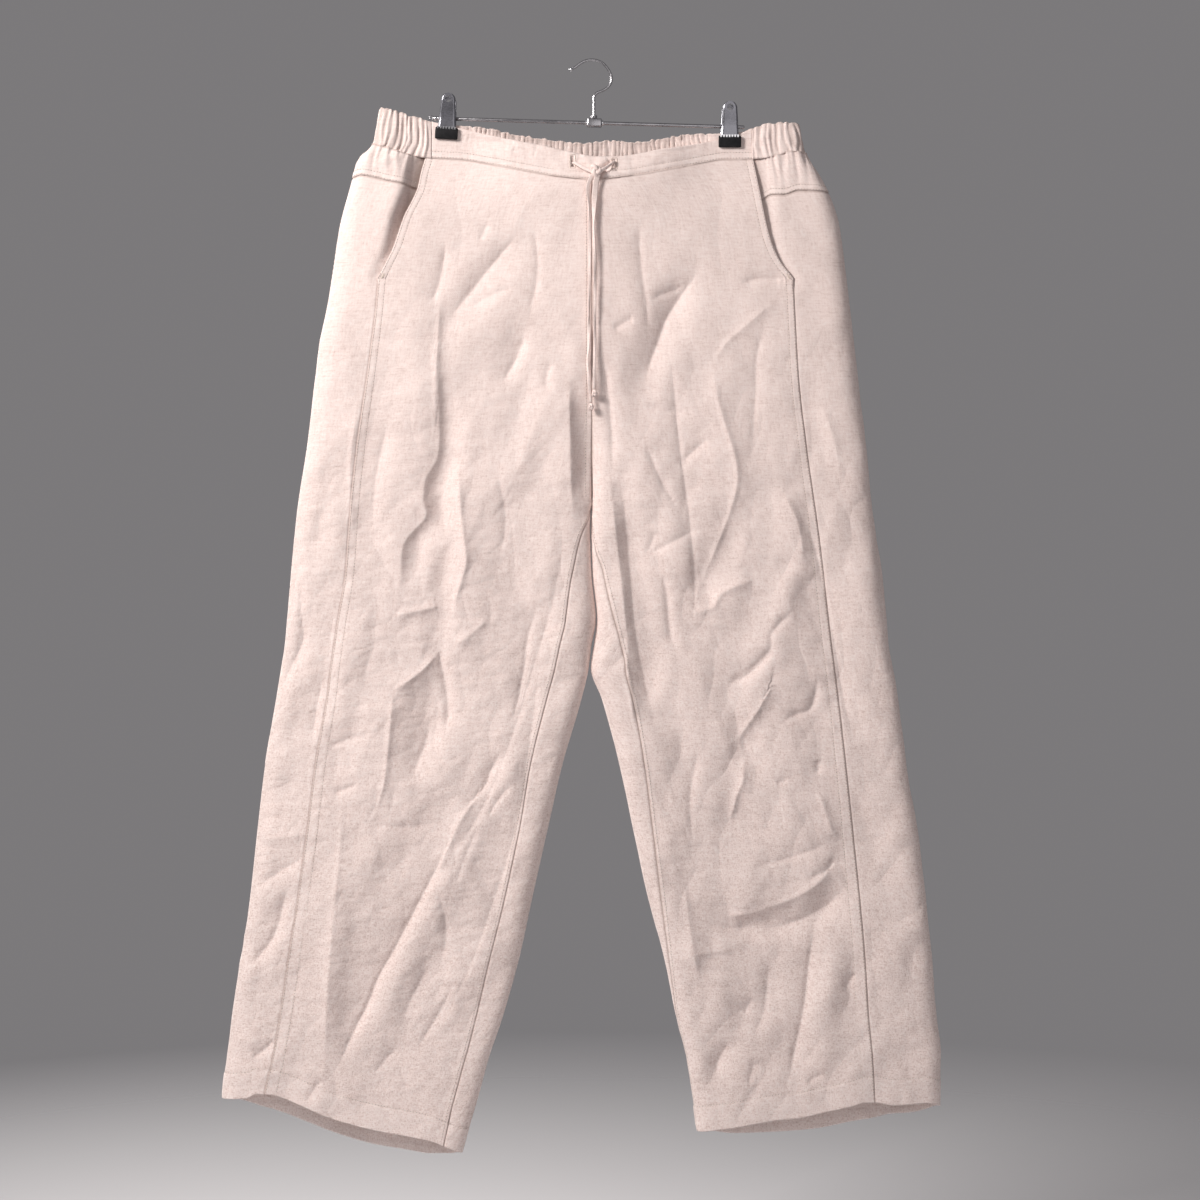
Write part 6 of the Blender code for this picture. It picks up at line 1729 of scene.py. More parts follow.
def band_relief(x, rows, level):
    """Stitch grooves, small puckers and the tug of the drawstring on the front band."""
    rise = rows[:, None]
    up = level - waist_seam(x)
    down = band_top(x) - level
    free = 1 - 0.85 * pinch(x, level)
    ripple = soft_noise(x[None, :] / 0.0065 + rise * 0.8, rise * 2.5, 101)
    wide = soft_noise(x[None, :] / 0.030 - rise * 0.6, rise * 1.4, 105)
    total = (-0.00070 * groove(up - 0.0012, 0.0011) - 0.00055 * groove(up - WAIST_ROW, 0.0010)
             - 0.0007 * np.exp(-down / 0.0012) + 0.00042 * ripple + 0.0009 * wide)
    return total * free + crease_relief(x[None, :] + 0 * level, level, BAND_CREASES)


BAND_CREASES = fold_rows(2,
    (-3.2, 3, 3, 22.5, -108.5, 14, -116, 5, -125.5),
    (1.6, 4, 4, 25, -114, 17, -121, 9, -127),
    (1.8, 4, 4, 18, -105.5, 8, -112, -1, -119),
    (-1.6, 2.8, 2.8, -19.5, -108, -12, -114, -5, -120),
    (-1.4, 2.4, 2.4, -17, -96, -12.5, -101, -11.5, -106),
    (1.4, 3, 3, -13, -95, -9, -101, -8.5, -106),
    (-2.4, 4, 2.4, -138, -79, -112, -85, -76, -90),
    (-1.4, 3, 2.4, -105, -80, -80, -86, -50, -93),
    (-1.6, 3, 3, -86, -95, -70, -96, -56, -101),
    (-1, 2.6, 2.6, 60, -99, 90, -96, 118, -90),
    (-1, 2.6, 2.6, -62, -93, -40, -101, -26, -105))


def band_front():
    """The flat front band, with the slits of its two buttonholes."""
    x = np.linspace(-BAND_JOIN, BAND_JOIN, BAND_COLUMNS)
    rows = np.linspace(0.0, 1.0, BAND_ROWS)
    middle, outward, level = band_surface(x, rows, band_relief)
    holes = np.zeros((len(rows) - 1, len(x) - 1), dtype=bool)
    for start, stop in SLITS:
        column = (x[:-1] > start) & (x[1:] < stop)
        row = (rows[:-1] > SLIT_FOOT) & (rows[1:] < SLIT_HEAD)
        holes |= row[:, None] & column[None, :]
    uv = np.stack((x[None, :] + 0 * level, level), axis=-1)
    made = shell("cloth_band_front", middle, outward, uv, MATERIAL["linen"], out=DOUBLED / 2,
                 thickness=BAND_SHELL, holes=holes)
    up = level - waist_seam(x)
    # paler where the band lies double, and painted shade along the waist seam and in the stitch row's
    # groove
    carry(made, "seam_pale_and_shade",
          FELL_PALE * strip(up, 0.0, WAIST_ROW) - 0.8 * SEAM_PAINTED_SHADE * groove(up, SEAM_LINE)
          - ROW_PAINTED_SHADE * groove(up - WAIST_ROW, SEAM_LINE))
    dress(made, "waistband_front")


SLITS = ((-0.0222, -0.0184), (0.0214, 0.0254))      # the buttonholes, along the band
SLIT_FOOT = 0.42
SLIT_HEAD = 0.86

# ---------------------------------------------------------------- drawstring

RIBBON = (0.0062, 0.0019)       # width and thickness of the tie
RIBBON_SIDES = 12
# Each row is a share of the ribbon's length, the turn of its flat side in degrees (0 lies
# flat on the front) and its width as a share of the full width.
LEFT_TURNS = ((0.00, 35, 0.55), (0.04, 20, 0.60), (0.07, 8, 0.60), (0.10, 0, 0.55),
              (0.13, 14, 0.72), (0.19, 26, 0.70), (0.25, 50, 0.56), (0.34, 18, 0.48),
              (0.45, -28, 0.52), (0.56, 22, 0.46), (0.66, 60, 0.55), (0.74, -32, 0.62),
              (0.84, -64, 0.50), (0.93, 20, 0.52), (1.00, 0, 0.45))
RIGHT_TURNS = ((0.00, 80, 0.60), (0.04, 55, 0.60), (0.07, 30, 0.60), (0.10, 10, 0.70),
               (0.13, 16, 1.02), (0.20, 8, 1.00), (0.26, -24, 0.72), (0.31, -62, 0.52),
               (0.40, -18, 0.50), (0.52, 35, 0.55), (0.63, -10, 0.46), (0.74, 42, 0.52),
               (0.85, -20, 0.46), (0.94, 12, 0.50), (1.00, 0, 0.45))
TIE_CLOSE = 0.62        # below the knot the two ends hang this much closer to the middle,
CLOSE_LEVEL = -0.128    # from this level down
CLOSE_DROP = 0.025      # over this drop
TIE_STEP = 0.0022
TIE_SQUARE = (0.55, 0.75)       # the smaller, the squarer a tie's section, across and through
TIE_HOLLOW = 0.00035    # its flat sides are this hollow
KNOT_STEPS = 160
# Size of a knot (half, each way), the wraps of its tie both ways, the tie's radius and lean.
BIG_KNOT = ((0.0036, 0.0020, 0.0058), (2, 3), 0.0023, -0.5)
TIP_KNOT = ((0.0019, 0.0014, 0.0030), (2, 3), 0.0012, 0.2)
UNDER_KNOT = {"left": (0.0015, -0.0246, -0.1225), "right": (0.0078, -0.0246, -0.1215)}
TURNS = {"left": LEFT_TURNS, "right": RIGHT_TURNS}


def hung_close(route):
    """A tie's free end, with its lower places moved closer to the middle."""
    moved = []
    for x, y, level in route:
        share = float(ease(np.array((CLOSE_LEVEL - level) / CLOSE_DROP)))
        moved.append((x * (1 - (1 - TIE_CLOSE) * share), y, level))
    return tuple(moved)


def ribbon(name, route, turns):
    """A flat tie along a route, turned and narrowed by a table along its length."""
    points = smooth_route(route, TIE_STEP)
    run = np.concatenate(([0.0], np.cumsum(np.linalg.norm(np.diff(points, axis=0), axis=1))))
    share = run / run[-1]
    along = np.gradient(points, axis=0)
    along /= np.linalg.norm(along, axis=1)[:, None]
    forward = np.array((0.0, -1.0, 0.0))
    front = forward - along * (along @ forward)[:, None]
    front /= np.linalg.norm(front, axis=1)[:, None]
    side = np.cross(along, front)
    table = np.array(turns, dtype=float)
    turn = np.radians(np.interp(share, table[:, 0], table[:, 1]))
    wide = np.interp(share, table[:, 0], table[:, 2]) * RIBBON[0] / 2
    flat = np.cos(turn)[:, None] * side + np.sin(turn)[:, None] * front
    thick = np.cross(along, flat)
    rings = []
    uvs = []
    girth = 0.0
    for corner in range(RIBBON_SIDES):
        angle = 2 * math.pi * corner / RIBBON_SIDES
        across = math.copysign(abs(math.cos(angle)) ** TIE_SQUARE[0], math.cos(angle))
        up = math.copysign(abs(math.sin(angle)) ** TIE_SQUARE[1], math.sin(angle))
        waver = 1 + 0.08 * soft_noise(share * 40, 0 * share + corner * 0.7, 31)
        hollow = TIE_HOLLOW * (1 - across ** 2) * (-1 if up < 0 else 1)
        rings.append(points + flat * (across * wide * waver)[:, None]
                     + thick * (up * RIBBON[1] / 2 - hollow))
        uvs.append(np.stack((0 * run + girth, run), axis=-1))
        girth += sum(RIBBON) * 2 / RIBBON_SIDES
    vertices = np.stack(rings, axis=1)
    count = len(points)
    index = np.arange(count * RIBBON_SIDES).reshape(count, RIBBON_SIDES)
    onward = np.roll(index, -1, axis=1)
    quads = np.stack((index[:-1], index[1:], onward[1:], onward[:-1]), axis=-1).reshape(-1, 4)
    faces = quads.tolist() + [index[0].tolist(), index[-1][::-1].tolist()]
    made = made_mesh(name, vertices.reshape(-1, 3), faces, MATERIAL["tie"],
                     np.stack(uvs, axis=1).reshape(-1, 2))
    outward_up(made)
    return made, points, float(run[-1])


def outward_up(made):
    """Turn a closed mesh's faces outwards."""
    shape = bmesh.new()
    shape.from_mesh(made.data)
    bmesh.ops.recalc_face_normals(shape, faces=shape.faces[:])
    shape.to_mesh(made.data)
    shape.free()


def knot(name, centre, size, wraps, radius, lean):
    """A pulled knot: a thick tie wound over itself, closed into a loop."""
    places = []
    around, through = wraps
    for angle in np.arange(KNOT_STEPS) * (2 * math.pi / KNOT_STEPS):
        spread = 0.62 + 0.38 * math.cos(through * angle)
        place = Vector((spread * math.cos(around * angle) * size[0],
                        math.sin(through * angle) * size[1],
                        spread * math.sin(around * angle) * size[2]))
        places.append(Matrix.Rotation(lean, 3, "Y") @ place + Vector(centre))
    return wire(name, places, radius, MATERIAL["knot"], closed=True, fine=5)


def wire(name, places, radius, kind, closed=False, fine=6):
    """A round wire or tie along a line of places."""
    line = bpy.data.curves.new(name, "CURVE")
    line.dimensions = "3D"
    line.bevel_depth = radius
    line.bevel_resolution = fine
    line.use_fill_caps = not closed
    spline = line.splines.new("POLY")
    spline.points.add(len(places) - 1)
    for point, place in zip(spline.points, places):
        point.co = (*place, 1.0)
    spline.use_cyclic_u = closed
    made = bpy.data.objects.new(name, line)
    SCENE.collection.objects.link(made)
    made = as_mesh(made)
    made.data.materials.clear()
    made.data.materials.append(kind)
    made.data.shade_smooth()
    return made


def as_mesh(made):
    """The same object with its modifiers or curve turned into a plain mesh."""
    graph = bpy.context.evaluated_depsgraph_get()
    mesh = bpy.data.meshes.new_from_object(made.evaluated_get(graph))
    name = made.name
    bpy.data.objects.remove(made, do_unlink=True)
    mesh.name = name
    plain = bpy.data.objects.new(name, mesh)
    SCENE.collection.objects.link(plain)
    return plain


def drawstring():
    """The knot, and on each side one tie from its buttonhole to its knotted tip."""
    middle = knot("tie_knot_wound", KNOT_CENTRE, *BIG_KNOT)
    dress(middle, "tie_knot", slot_name="tie_linen")
    for side in ("left", "right"):
        route = (*TIE_ROUTES["tie_run_" + side], UNDER_KNOT[side],
                 *hung_close(TIE_ROUTES["tie_end_" + side]))
        made, points, length = ribbon("tie_ribbon_" + side, route, TURNS[side])
        dress(made, "tie_run_" + side, "tie_end_" + side, slot_name="tie_linen")
        tip = knot("tie_tip_knot_" + side, TIP_CENTRES["tie_tip_" + side], *TIP_KNOT)
        dress(tip, "tie_tip_" + side, slot_name="tie_linen")
        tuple(route[0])


# ---------------------------------------------------------------- stitches

STITCH_PITCH = 0.0031
STITCH_LENGTH = 0.0023
STITCH_HALF = 0.00030
STITCH_PROUD = 0.00022
HOLE_HALF = 0.00045
HOLE_PROUD = 0.00008


class Stitches:
    """Collects rows of stitches into one piece."""

    def __init__(self, name):
        self.name = name
        self.vertices = []
        self.faces = []
        self.holes = []

    def row(self, middle, outward, out, pitch=STITCH_PITCH, length=STITCH_LENGTH, uneven=0.10):
        """Stitches along a line of the cloth's middle surface."""
        surface = middle + outward * (out + STITCH_PROUD)
        run = np.concatenate(([0.0], np.cumsum(np.linalg.norm(np.diff(surface, axis=0), axis=1))))
        count = int(run[-1] / pitch)
        at = (np.arange(count) + 0.5) * run[-1] / max(count, 1)
        at = at + uneven * pitch * lattice(np.arange(count), np.full(count, 3), 17)
        ends = [np.stack([np.interp(at + side * length / 2, run, surface[:, axis])
                          for axis in range(3)], axis=1) for side in (-1, 1)]
        proud = np.stack([np.interp(at, run, outward[:, axis]) for axis in range(3)], axis=1)
        proud /= np.linalg.norm(proud, axis=1)[:, None]
        for start, end, up in zip(ends[0], ends[1], proud):
            self.stitch(start, end, up)
            self.hole(start, start - end, up)
            self.hole(end, end - start, up)

    def stitch(self, start, end, up):
        """One stitch: a slim spindle that dips into the cloth at both ends."""
        side = np.cross(end - start, up)
        side = side / (np.linalg.norm(side) + 1e-9) * STITCH_HALF
        middle = (start + end) / 2
        rise = up * STITCH_HALF
        first = len(self.vertices)
        self.vertices += [start - rise * 1.3, end - rise * 1.3, middle + side, middle + rise,
                          middle - side, middle - rise]
        for a, b in ((2, 3), (3, 4), (4, 5), (5, 2)):
            self.faces.append((first, first + b, first + a))
            self.faces.append((first + 1, first + a, first + b))

    def hole(self, place, ahead, up):
        """The hole that a stitch goes down, a flat four-sided cone in the cloth, darkened as painted
        shade.
        """
        ahead = ahead / (np.linalg.norm(ahead) + 1e-9)
        side = np.cross(ahead, up)
        base = place + ahead * HOLE_HALF * 0.8 - up * (STITCH_PROUD - HOLE_PROUD)
        first = len(self.vertices)
        self.vertices += [base + side * HOLE_HALF, base + ahead * HOLE_HALF,
                          base - side * HOLE_HALF, base - ahead * HOLE_HALF,
                          base + up * HOLE_PROUD, base - up * HOLE_PROUD]
        for a, b in ((0, 1), (1, 2), (2, 3), (3, 0)):
            self.holes += [len(self.faces), len(self.faces) + 1]
            self.faces.append((first + 4, first + a, first + b))
            self.faces.append((first + 5, first + b, first + a))

    def finish(self):
        made = made_mesh(self.name, self.vertices, self.faces, MATERIAL["thread"])
        made.data.materials.append(MATERIAL["hole"])
        kinds = np.zeros(len(self.faces), dtype=np.int32)
        kinds[self.holes] = 1
        made.data.polygons.foreach_set("material_index", kinds)
        outward_up(made)
        dress(made)


FIRST_ROW = 0.0016      # a seam's first stitch row is this far from it
HIP_ROW = 0.0066
MOUTH_FIRST_ROW = 0.0014
TACK = 0.0066           # length of a bar tack's stitches
TACK_ROWS = np.arange(0.0, 0.0050, 0.0007)      # how far down from its head each one lies
TACK_HEAD = 0.0045      # above the mouth's foot
CENTRE_ROW = 0.0060
INSEAM_ROW = 0.0035
HEM_MARGIN = 0.001      # the rows down a leg end this far above the hem
ROW_STEP = 0.0016       # between the places of a row's line
HEM_LEVEL = -1.1
HIP_LEVEL = -0.14


def level_run(top, foot):
    """Levels from top to foot, at the spacing of the stitch rows."""
    return np.linspace(top, foot, max(4, round((top - foot) / ROW_STEP)))


def row_on(half, around, level, relief_of):
    """A line of places on the cloth, and which way it faces there."""
    around, level = np.broadcast_arrays(around, level)
    middle, outward = cloth(half, around[None, :], level[None, :],
                            relief_of(half, around[None, :], level[None, :]))
    return middle[0], outward[0]


def above_hem(half, around, level):
    """The places of a line that lie on the front panel, above its hem."""
    x = half.section(around, level)[0]
    on_cloth = level > half.hem_front(half.sign * x) + HEM_MARGIN
    return around[on_cloth], level[on_cloth]


def line_above(half, around, line, rise, guess):
    """Levels at which places round a half lie a rise above one of its lines."""
    return half.line_level(lambda level: around, lambda face, x: line(face, x) + rise,
                           np.full(around.shape, guess))


def half_stitches(half):
    """All the stitch rows of one half."""
    sewn = Stitches("stitches_" + half.name)
    out = OUTSIDE
    # pocket mouth, two rows and a bar tack at its foot
    upper = level_run(float(waist_seam(half.sign * half.mouth(-0.12))) - 0.002, POCKET_FOOT + 0.001)
    for inward in (MOUTH_FIRST_ROW, MOUTH_ROW):
        sewn.row(*row_on(half, half.front_edge(upper) + inward, upper, front_relief), out)
    for drop in TACK_ROWS:
        level = np.full(8, POCKET_FOOT + TACK_HEAD - drop)
        around = half.front_edge(level) + np.linspace(0.0004, MOUTH_ROW, 8)
        sewn.row(*row_on(half, around, level, front_relief), out, pitch=TACK, length=TACK,
                 uneven=0.0)
    # side seam, two rows
    lower = level_run(POCKET_FOOT - 0.001, -1.085)
    for inward in (FIRST_ROW + 0 * lower, side_fell(lower)):
        around, level = above_hem(half, half.front_edge(lower) + inward, lower)
        sewn.row(*row_on(half, around, level, front_relief), out)
    # inseam, one row on the front panel
    legs = level_run(CROTCH - 0.004, -1.135)
    around, level = above_hem(half, half.reach(legs) - half.inseam_wrap(legs) - INSEAM_ROW, legs)
    sewn.row(*row_on(half, around, level, front_relief), out)
    # centre seams, one row to one side of each
    if half.sign < 0:
        seam = level_run(float(waist_seam(0.0)) - 0.002, CROTCH + 0.004)
        sewn.row(*row_on(half, half.reach(seam) - CENTRE_ROW, seam, front_relief), out)
        seam = level_run(-0.172, CROTCH + 0.004)
        sewn.row(*row_on(half, CENTRE_ROW - half.reach(seam), seam, back_relief), out)
    # hem, one row all round
    level = np.array(HEM_LEVEL)
    reach, wrap = float(half.reach(level)), float(half.inseam_wrap(level))
    edge = float(half.front_edge(level))
    for around, relief_of in (
            (np.linspace(edge + 0.002, reach - wrap - 0.002, 240), front_relief),
            (np.linspace(-reach - wrap + 0.002, edge - 0.002, 330), back_relief)):
        level = line_above(half, around, half.hem, HEM_TURN, HEM_LEVEL)
        sewn.row(*row_on(half, around, level, relief_of), out)
    # hip seam, two rows above it
    level = np.array(HIP_LEVEL)
    around = np.linspace(0.001 - float(half.reach(level)), float(half.front_edge(level)) - 0.003, 260)
    for rise in (FIRST_ROW, HIP_ROW):
        level = line_above(half, around, half.hip, rise, HIP_LEVEL)
        sewn.row(*row_on(half, around, level, yoke_relief), out)
    sewn.finish()


def band_place(x, level):
    """Places on the front band at given x and level, all on one row."""
    foot = waist_seam(x)
    rows = (level - foot) / (band_top(x) - foot)
    middles = np.zeros((len(x), 3))
    outwards = np.zeros((len(x), 3))
    for half in HALVES:
        mine = (x < 0) if half.sign < 0 else (x >= 0)
        if not mine.any():
            continue
        around = half.around_at(half.sign * x[mine], level[mine])
        relief = np.array([band_relief(px[None], row[None], here[None, None])[0, 0]
                           for px, row, here in zip(x[mine], rows[mine], level[mine])])
        middle, outward = half.surface(around[None, :], level[mine][None, :], relief[None, :])
        middles[mine] = middle[0]
        outwards[mine] = outward[0]
    return middles, outwards


SLIT_PITCH = 0.00062    # between the stitches round a buttonhole
SLIT_RIM = 0.0008       # those stitches start this far beyond its ends


def slit_stitch(sewn, x, level):
    """One stitch of a buttonhole, between two places on the front band."""
    middle, outward = band_place(np.array(x), np.array(level))
    lift = outward * (DOUBLED / 2 + STITCH_PROUD)
    sewn.stitch(middle[0] + lift[0], middle[1] + lift[1], outward[0])


def band_stitches():
    """The front band's two rows, and the stitches round its buttonholes."""
    sewn = Stitches("stitches_band")
    x = np.linspace(-BAND_JOIN + 0.001, BAND_JOIN - 0.001, 300)
    for rise in (FIRST_ROW, WAIST_ROW):
        sewn.row(*band_place(x, waist_seam(x) + rise), DOUBLED / 2)
    for start, stop in SLITS:
        centre = (start + stop) / 2
        foot = float(waist_seam(centre))
        rise = float(band_top(centre)) - foot
        low, high = foot + SLIT_FOOT * rise, foot + SLIT_HEAD * rise
        for level in np.arange(low - SLIT_RIM, high + 0.0009, SLIT_PITCH):
            for edge, side in ((start, -1.0), (stop, 1.0)):
                slit_stitch(sewn, (edge - side * 0.0001, edge + side * 0.0018), (level, level))
        for level, down in ((low - SLIT_RIM, -0.0010), (high + SLIT_RIM, 0.0010)):
            for place in np.arange(start - 0.0004, stop + 0.0005, SLIT_PITCH):
                slit_stitch(sewn, (place, place), (level, level + down))
    sewn.finish()


# ---------------------------------------------------------------- hanger

SHARP_DEGREES = 30      # sharper edges than this stay sharp in small metal and rubber parts


def bar_level(x):
    """Level of the bar's axis at a place along it."""
    (start_x, start_level), (end_x, end_level) = BAR_ENDS
    return start_level + (x - start_x) / (end_x - start_x) * (end_level - start_level)


TURNED_SIDES = 40


def turned(name, profile, place, kind):
    """A turned piece: (height, radius) rows spun round the place's own Z axis."""
    vertices, faces = [], []
    sides = TURNED_SIDES
    for height, radius in profile:
        for side in range(sides):
            angle = 2 * math.pi * side / sides
            vertices.append(place @ Vector((radius * math.cos(angle), radius * math.sin(angle),
                                            height)))
    for row in range(len(profile) - 1):
        for side in range(sides):
            a, b = row * sides + side, row * sides + (side + 1) % sides
            faces.append((a, b, b + sides, a + sides))
    last = (len(profile) - 1) * sides
    faces.append(tuple(range(sides))[::-1])
    faces.append(tuple(range(last, last + sides)))
    made = made_mesh(name, vertices, faces, kind)
    made.data.set_sharp_from_angle(angle=math.radians(40))
    return made


def rounded_block(name, size, place, bevel, kind):
    """A block with rounded edges."""
    shape = bmesh.new()
    bmesh.ops.create_cube(shape, size=1.0)
    bmesh.ops.scale(shape, vec=size, verts=shape.verts[:])
    bmesh.ops.bevel(shape, geom=shape.edges[:], offset=bevel, segments=4, affect="EDGES",
                    profile=0.5)
    bmesh.ops.transform(shape, matrix=place, verts=shape.verts[:])
    mesh = bpy.data.meshes.new(name)
    shape.to_mesh(mesh)
    shape.free()
    mesh.shade_smooth()
    mesh.set_sharp_from_angle(angle=math.radians(SHARP_DEGREES))
    mesh.materials.append(kind)
    made = bpy.data.objects.new(name, mesh)
    SCENE.collection.objects.link(made)
    return made


def polished(made, *nodes):
    """Dress a polished piece of the hanger."""
    dress(made, *nodes, slot_name="polished_steel")


def bead(height, radius):
    """Profile of a small ball, nearly closed at its poles."""
    return [(height * math.sin(math.radians(angle)), radius * math.cos(math.radians(angle)))
            for angle in range(-85, 86, 10)]


def along_bar(x):
    """A frame whose Z axis runs along the bar, at a place on it."""
    (start_x, start_level), (end_x, end_level) = BAR_ENDS
    axis = Vector((end_x - start_x, 0.0, end_level - start_level))
    turn = Vector((0, 0, 1)).rotation_difference(axis).to_matrix().to_4x4()
    return Matrix.Translation((x, 0.0, bar_level(x))) @ turn


def hanger():
    """The bar with its ends, the clamp, collar and hook, and the two clips."""
    (start_x, start_level), (end_x, end_level) = BAR_ENDS
    half = (end_x - start_x) / 2
    rounding = [(math.sin(math.radians(angle)), math.cos(math.radians(angle)))
                for angle in (0, 30, 60, 85)]
    head = [(half - BAR_RADIUS * 0.5 + BAR_RADIUS * 0.5 * rise, BAR_RADIUS * across)
            for rise, across in rounding]
    profile = [(-height, radius) for height, radius in head[::-1]] + head
    polished(turned("bar_rod", profile, along_bar((start_x + end_x) / 2), MATERIAL["steel"]),
             "hanger_bar")
    polished(turned("bar_ball", bead(*BALL), along_bar(start_x + BALL_PLACE), MATERIAL["bright"]))
    loop = [(start_x - LOOP_PLACE[0] + LOOP_RADIUS * math.cos(angle), 0.0,
             start_level + LOOP_PLACE[1] + LOOP_RADIUS * math.sin(angle))
            for angle in np.linspace(0, 2 * math.pi, 28, endpoint=False)]
    polished(wire("bar_loop", loop, LOOP_WIRE, MATERIAL["steel"], closed=True, fine=4))

    clamp_level = bar_level(CLAMP_CENTRE_X)
    tilt = Matrix.Rotation(math.atan2(start_level - end_level, end_x - start_x), 4, "Y")
    clamp_place = Matrix.Translation((CLAMP_CENTRE_X, 0.0, clamp_level)) @ tilt
    polished(rounded_block("clamp_block", CLAMP_SIZE, clamp_place, CLAMP_BEVEL, MATERIAL["steel"]),
             "hanger_clamp")
    for side, name in ((-1.0, "left"), (1.0, "right")):
        place = along_bar(CLAMP_CENTRE_X + side * (CLAMP_SIZE[0] / 2 + RING[-1][0]))
        polished(turned("clamp_ring_" + name, RING, place, MATERIAL["bright"]))

    stem_x = HOOK_ROUTE[0][0]
    collar_foot = clamp_level + CLAMP_SIZE[2] / 2 + COLLAR_GAP
    polished(turned("stem_collar", COLLAR, Matrix.Translation((stem_x, 0.0, collar_foot)),
                    MATERIAL["steel"]), "hanger_collar")
    route = [(x, 0.0, level) for x, level in HOOK_ROUTE]
    route[0] = (stem_x, 0.0, collar_foot + COLLAR_HEIGHT)
    polished(wire("hook_wire", smooth_route(route, HOOK_STEP), WIRE_RADIUS, MATERIAL["steel"]),
             "hanger_hook")
    ahead = (Vector(route[-1]) - Vector(route[-2])).normalized()
    turn = Vector((0, 0, 1)).rotation_difference(ahead).to_matrix().to_4x4()
    tip_place = Matrix.Translation(Vector(route[-1]) + ahead * HOOK_TIP_RADIUS) @ turn
    polished(turned("hook_bead", bead(HOOK_TIP_RADIUS, HOOK_TIP_RADIUS), tip_place,
                    MATERIAL["bright"]), "hook_tip")
    for side, centre_x, degrees in zip(("left", "right"), CLIP_CENTRES, CLIP_TILTS):
        clip(side, centre_x, degrees)


COIL_TURNS = 6
COIL_STEPS = 20         # to a turn
COIL_WIRE = 0.00085
PAD_BEVEL = 0.0011
TEETH = 7
TOOTH_SHARE = 0.72      # of the pitch of the teeth
TEETH_MARGIN = 0.003    # both ends together
TOOTH_TAPER = 0.0004
TOOTH_CLEAR = 0.0004    # outside the pad
TOOTH_LEVELS = (0.0010, -0.0016)    # from above to below the pad's top
TOOTH_THICK = 0.0007


def clip(side, centre_x, degrees):
    """A spring clip: a coil spring round the bar, two bent plates, jaws with teeth and pads."""
    place = Matrix.Translation((centre_x, 0.0, bar_level(centre_x))) @ Matrix.Rotation(
        math.radians(degrees), 4, "Y")
    along = along_bar(centre_x)
    radius = BARREL_RADIUS - COIL_WIRE
    coil = []
    for step in range(COIL_TURNS * COIL_STEPS + 1):
        angle = 2 * math.pi * step / COIL_STEPS
        run = (step / (COIL_TURNS * COIL_STEPS) - 0.5) * 2 * (BARREL_HALF_LENGTH - COIL_WIRE)
        coil.append(along @ Vector((radius * math.cos(angle), radius * math.sin(angle), run)))
    dress(wire("clip_spring_" + side, coil, COIL_WIRE, MATERIAL["steel"], fine=3),
          "clip_barrel_" + side, slot_name="clip_steel")
    for facing, name in ((-1.0, "front"), (1.0, "back")):
        dress(plate(f"plate_{name}_{side}", facing, place), f"clip_{name}_{side}",
              slot_name="clip_steel")
        size = (2 * PAD_HALF_WIDTH, PAD_DEPTH, PAD_TOP - PAD_FOOT)
        centre = Vector((0.0, facing * (PAD_FACE + PAD_DEPTH / 2), (PAD_TOP + PAD_FOOT) / 2))
        pad = rounded_block(f"grip_pad_{name}_{side}", size, place @ Matrix.Translation(centre),
                            PAD_BEVEL, MATERIAL["rubber"])
        dress(pad, f"pad_{name}_{side}", slot_name="black_rubber")
        teeth(f"clip_teeth_{name}_{side}", facing, place)


def teeth(name, facing, place):
    """The plate's lower edge, bent over the pad's top in small teeth."""
    vertices, faces = [], []
    width = 2 * PAD_HALF_WIDTH - TEETH_MARGIN
    depth = facing * (PAD_FACE + PAD_DEPTH + TOOTH_CLEAR)
    high, low = (PAD_TOP + level for level in TOOTH_LEVELS)
    for tooth in range(TEETH):
        left = -width / 2 + tooth * width / TEETH
        right = left + width / TEETH * TOOTH_SHARE
        a = len(vertices)
        b, c, d = a + 2, a + 4, a + 6
        for x, level in ((left, high), (right, high), (right - TOOTH_TAPER, low),
                         (left + TOOTH_TAPER, low)):
            vertices.append(place @ Vector((x, depth, level)))
            vertices.append(place @ Vector((x, depth - facing * TOOTH_THICK, level)))
        faces += [(a, b, c, d), (a + 1, d + 1, c + 1, b + 1), (a, a + 1, b + 1, b),
                  (b, b + 1, c + 1, c), (c, c + 1, d + 1, d), (d, d + 1, a + 1, a)]
    made = made_mesh(name, vertices, faces, MATERIAL["bright"])
    outward_up(made)
    made.data.set_sharp_from_angle(angle=math.radians(SHARP_DEGREES))
    dress(made, slot_name="clip_steel")


PLATE_STEPS = (26, 16)      # rows of a plate below its rounded head, and in it
PLATE_COLUMN_COUNT = 23
PLATE_ROLL = 0.0011         # its side edges roll in by this much
ROLL_SHARE = 0.20           # over this outer share of its half width
PLATE_EDGE = 0.00022        # its edges are rounded off by this much
HOLE_ABOVE = 0.0012         # the hole's centre is this far above the head's
CUTTER = 0.006              # half the length of the tool that cuts the hole
CUTTER_OUT = 0.010          # and how far out its middle is


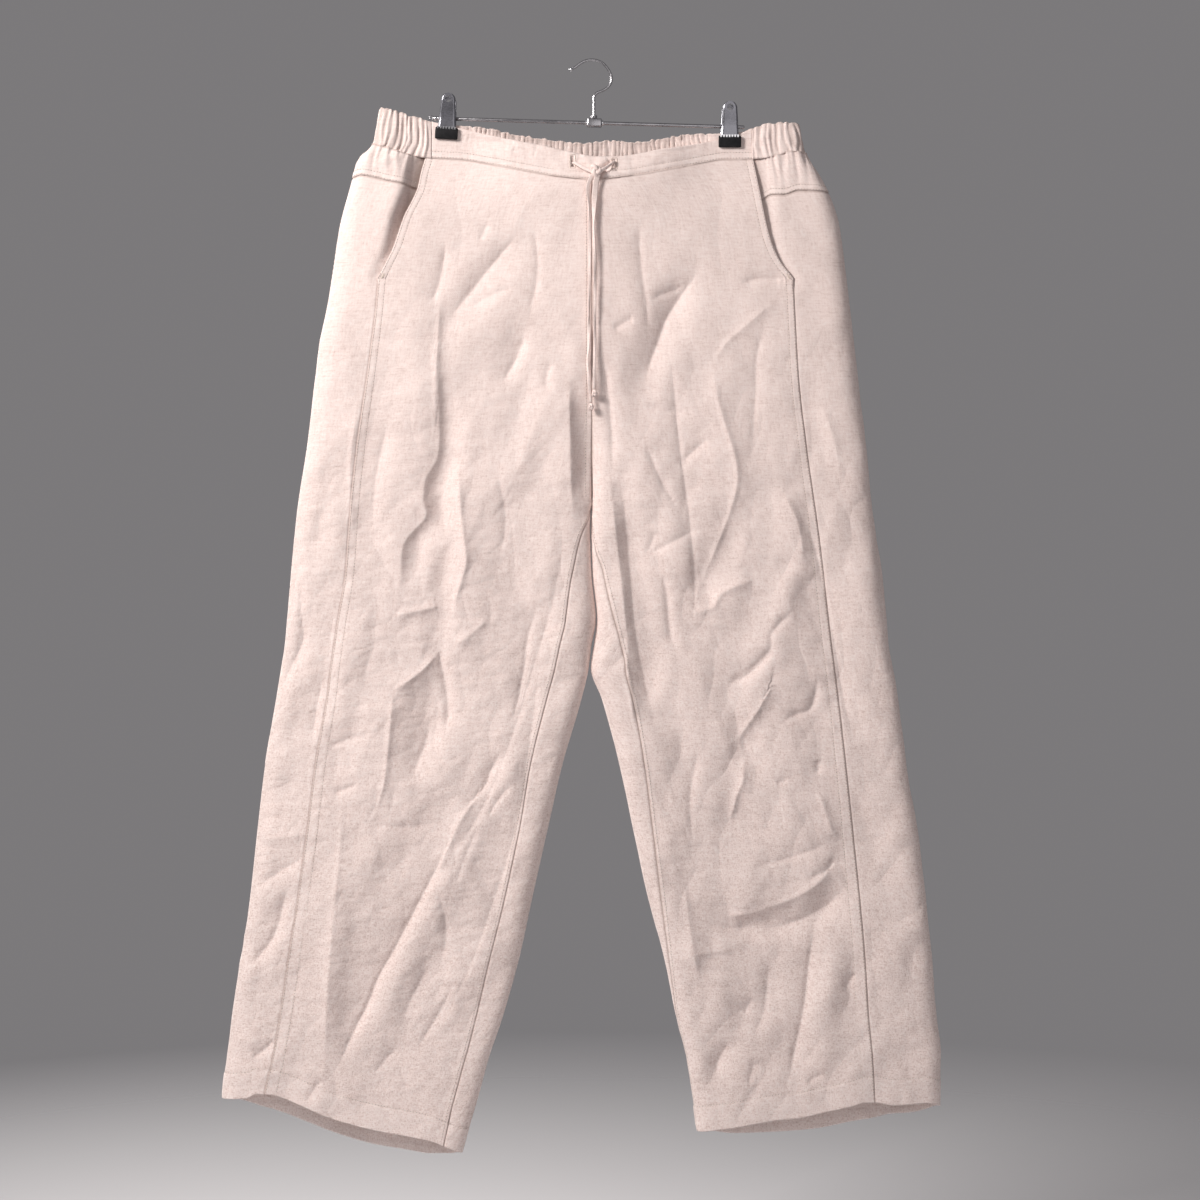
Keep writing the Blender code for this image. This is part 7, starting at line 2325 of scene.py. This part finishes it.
def plate(name, facing, place):
    """A bent plate with rolled side edges, a rounded top and a round hole."""
    table = np.array(PLATE_ROWS)
    below, in_head = PLATE_STEPS
    head = table[-1, 1] * np.sin(np.radians(np.linspace(0, 87, in_head)))
    rises = np.concatenate((np.linspace(table[0, 0], PLATE_HEAD, below, endpoint=False),
                            PLATE_HEAD + head))
    columns = np.sin(np.radians(np.linspace(-90, 90, PLATE_COLUMN_COUNT)))
    middle = np.zeros((len(rises), len(columns), 3))
    for i, rise in enumerate(rises):
        if rise < PLATE_HEAD:
            half_width = np.interp(rise, table[:, 0], table[:, 1])
            stand_off = np.interp(rise, table[:, 0], table[:, 2])
        else:
            above = (rise - PLATE_HEAD) / table[-1, 1]
            half_width = table[-1, 1] * math.sqrt(max(1 - above ** 2, 0.0))
            stand_off = table[-1, 2] + (PLATE_HEAD_STAND_OFF - table[-1, 2]) * above
        for j, column in enumerate(columns):
            rolled = PLATE_ROLL * max(abs(column) - (1 - ROLL_SHARE), 0.0) / ROLL_SHARE
            middle[i, j] = place @ Vector((half_width * column, facing * (stand_off - rolled), rise))
    flat_out = np.array(place.to_3x3() @ Vector((0.0, facing, 0.0)))
    outward = np.broadcast_to(flat_out, middle.shape)
    made = shell(name + "_raw", middle, outward, middle[..., (0, 2)], MATERIAL["dark_steel"],
                 out=PLATE / 2, thickness=PLATE)
    centre = Vector((0.0, facing * CUTTER_OUT, PLATE_HEAD + HOLE_ABOVE))
    axis = place @ Matrix.Translation(centre) @ Matrix.Rotation(math.radians(90), 4, "X")
    cutter = turned(name + "_cutter", [(-CUTTER, PLATE_HOLE_RADIUS), (CUTTER, PLATE_HOLE_RADIUS)],
                    axis, MATERIAL["dark_steel"])
    cut = made.modifiers.new("hole", "BOOLEAN")
    cut.operation = "DIFFERENCE"
    cut.solver = "EXACT"
    cut.object = cutter
    soft = made.modifiers.new("edges", "BEVEL")
    soft.width = PLATE_EDGE
    soft.segments = 2
    soft.limit_method = "ANGLE"
    soft.angle_limit = math.radians(40)
    plain = as_mesh(made)
    bpy.data.objects.remove(cutter, do_unlink=True)
    plain.name = name
    plain.data.name = name
    plain.data.shade_smooth()
    plain.data.set_sharp_from_angle(angle=math.radians(35))
    return plain


# ---------------------------------------------------------------- the whole scene

def main():
    """Make the room and every piece of the trousers and the hanger."""
    studio()
    drawstring()
    for half in HALVES:
        yoke(half)
    casing()
    band_front()
    for half in HALVES:
        front_panel(half)
        back_panel(half)
        pocket_bag(half)
        half_stitches(half)
    band_stitches()
    hanger()


main()
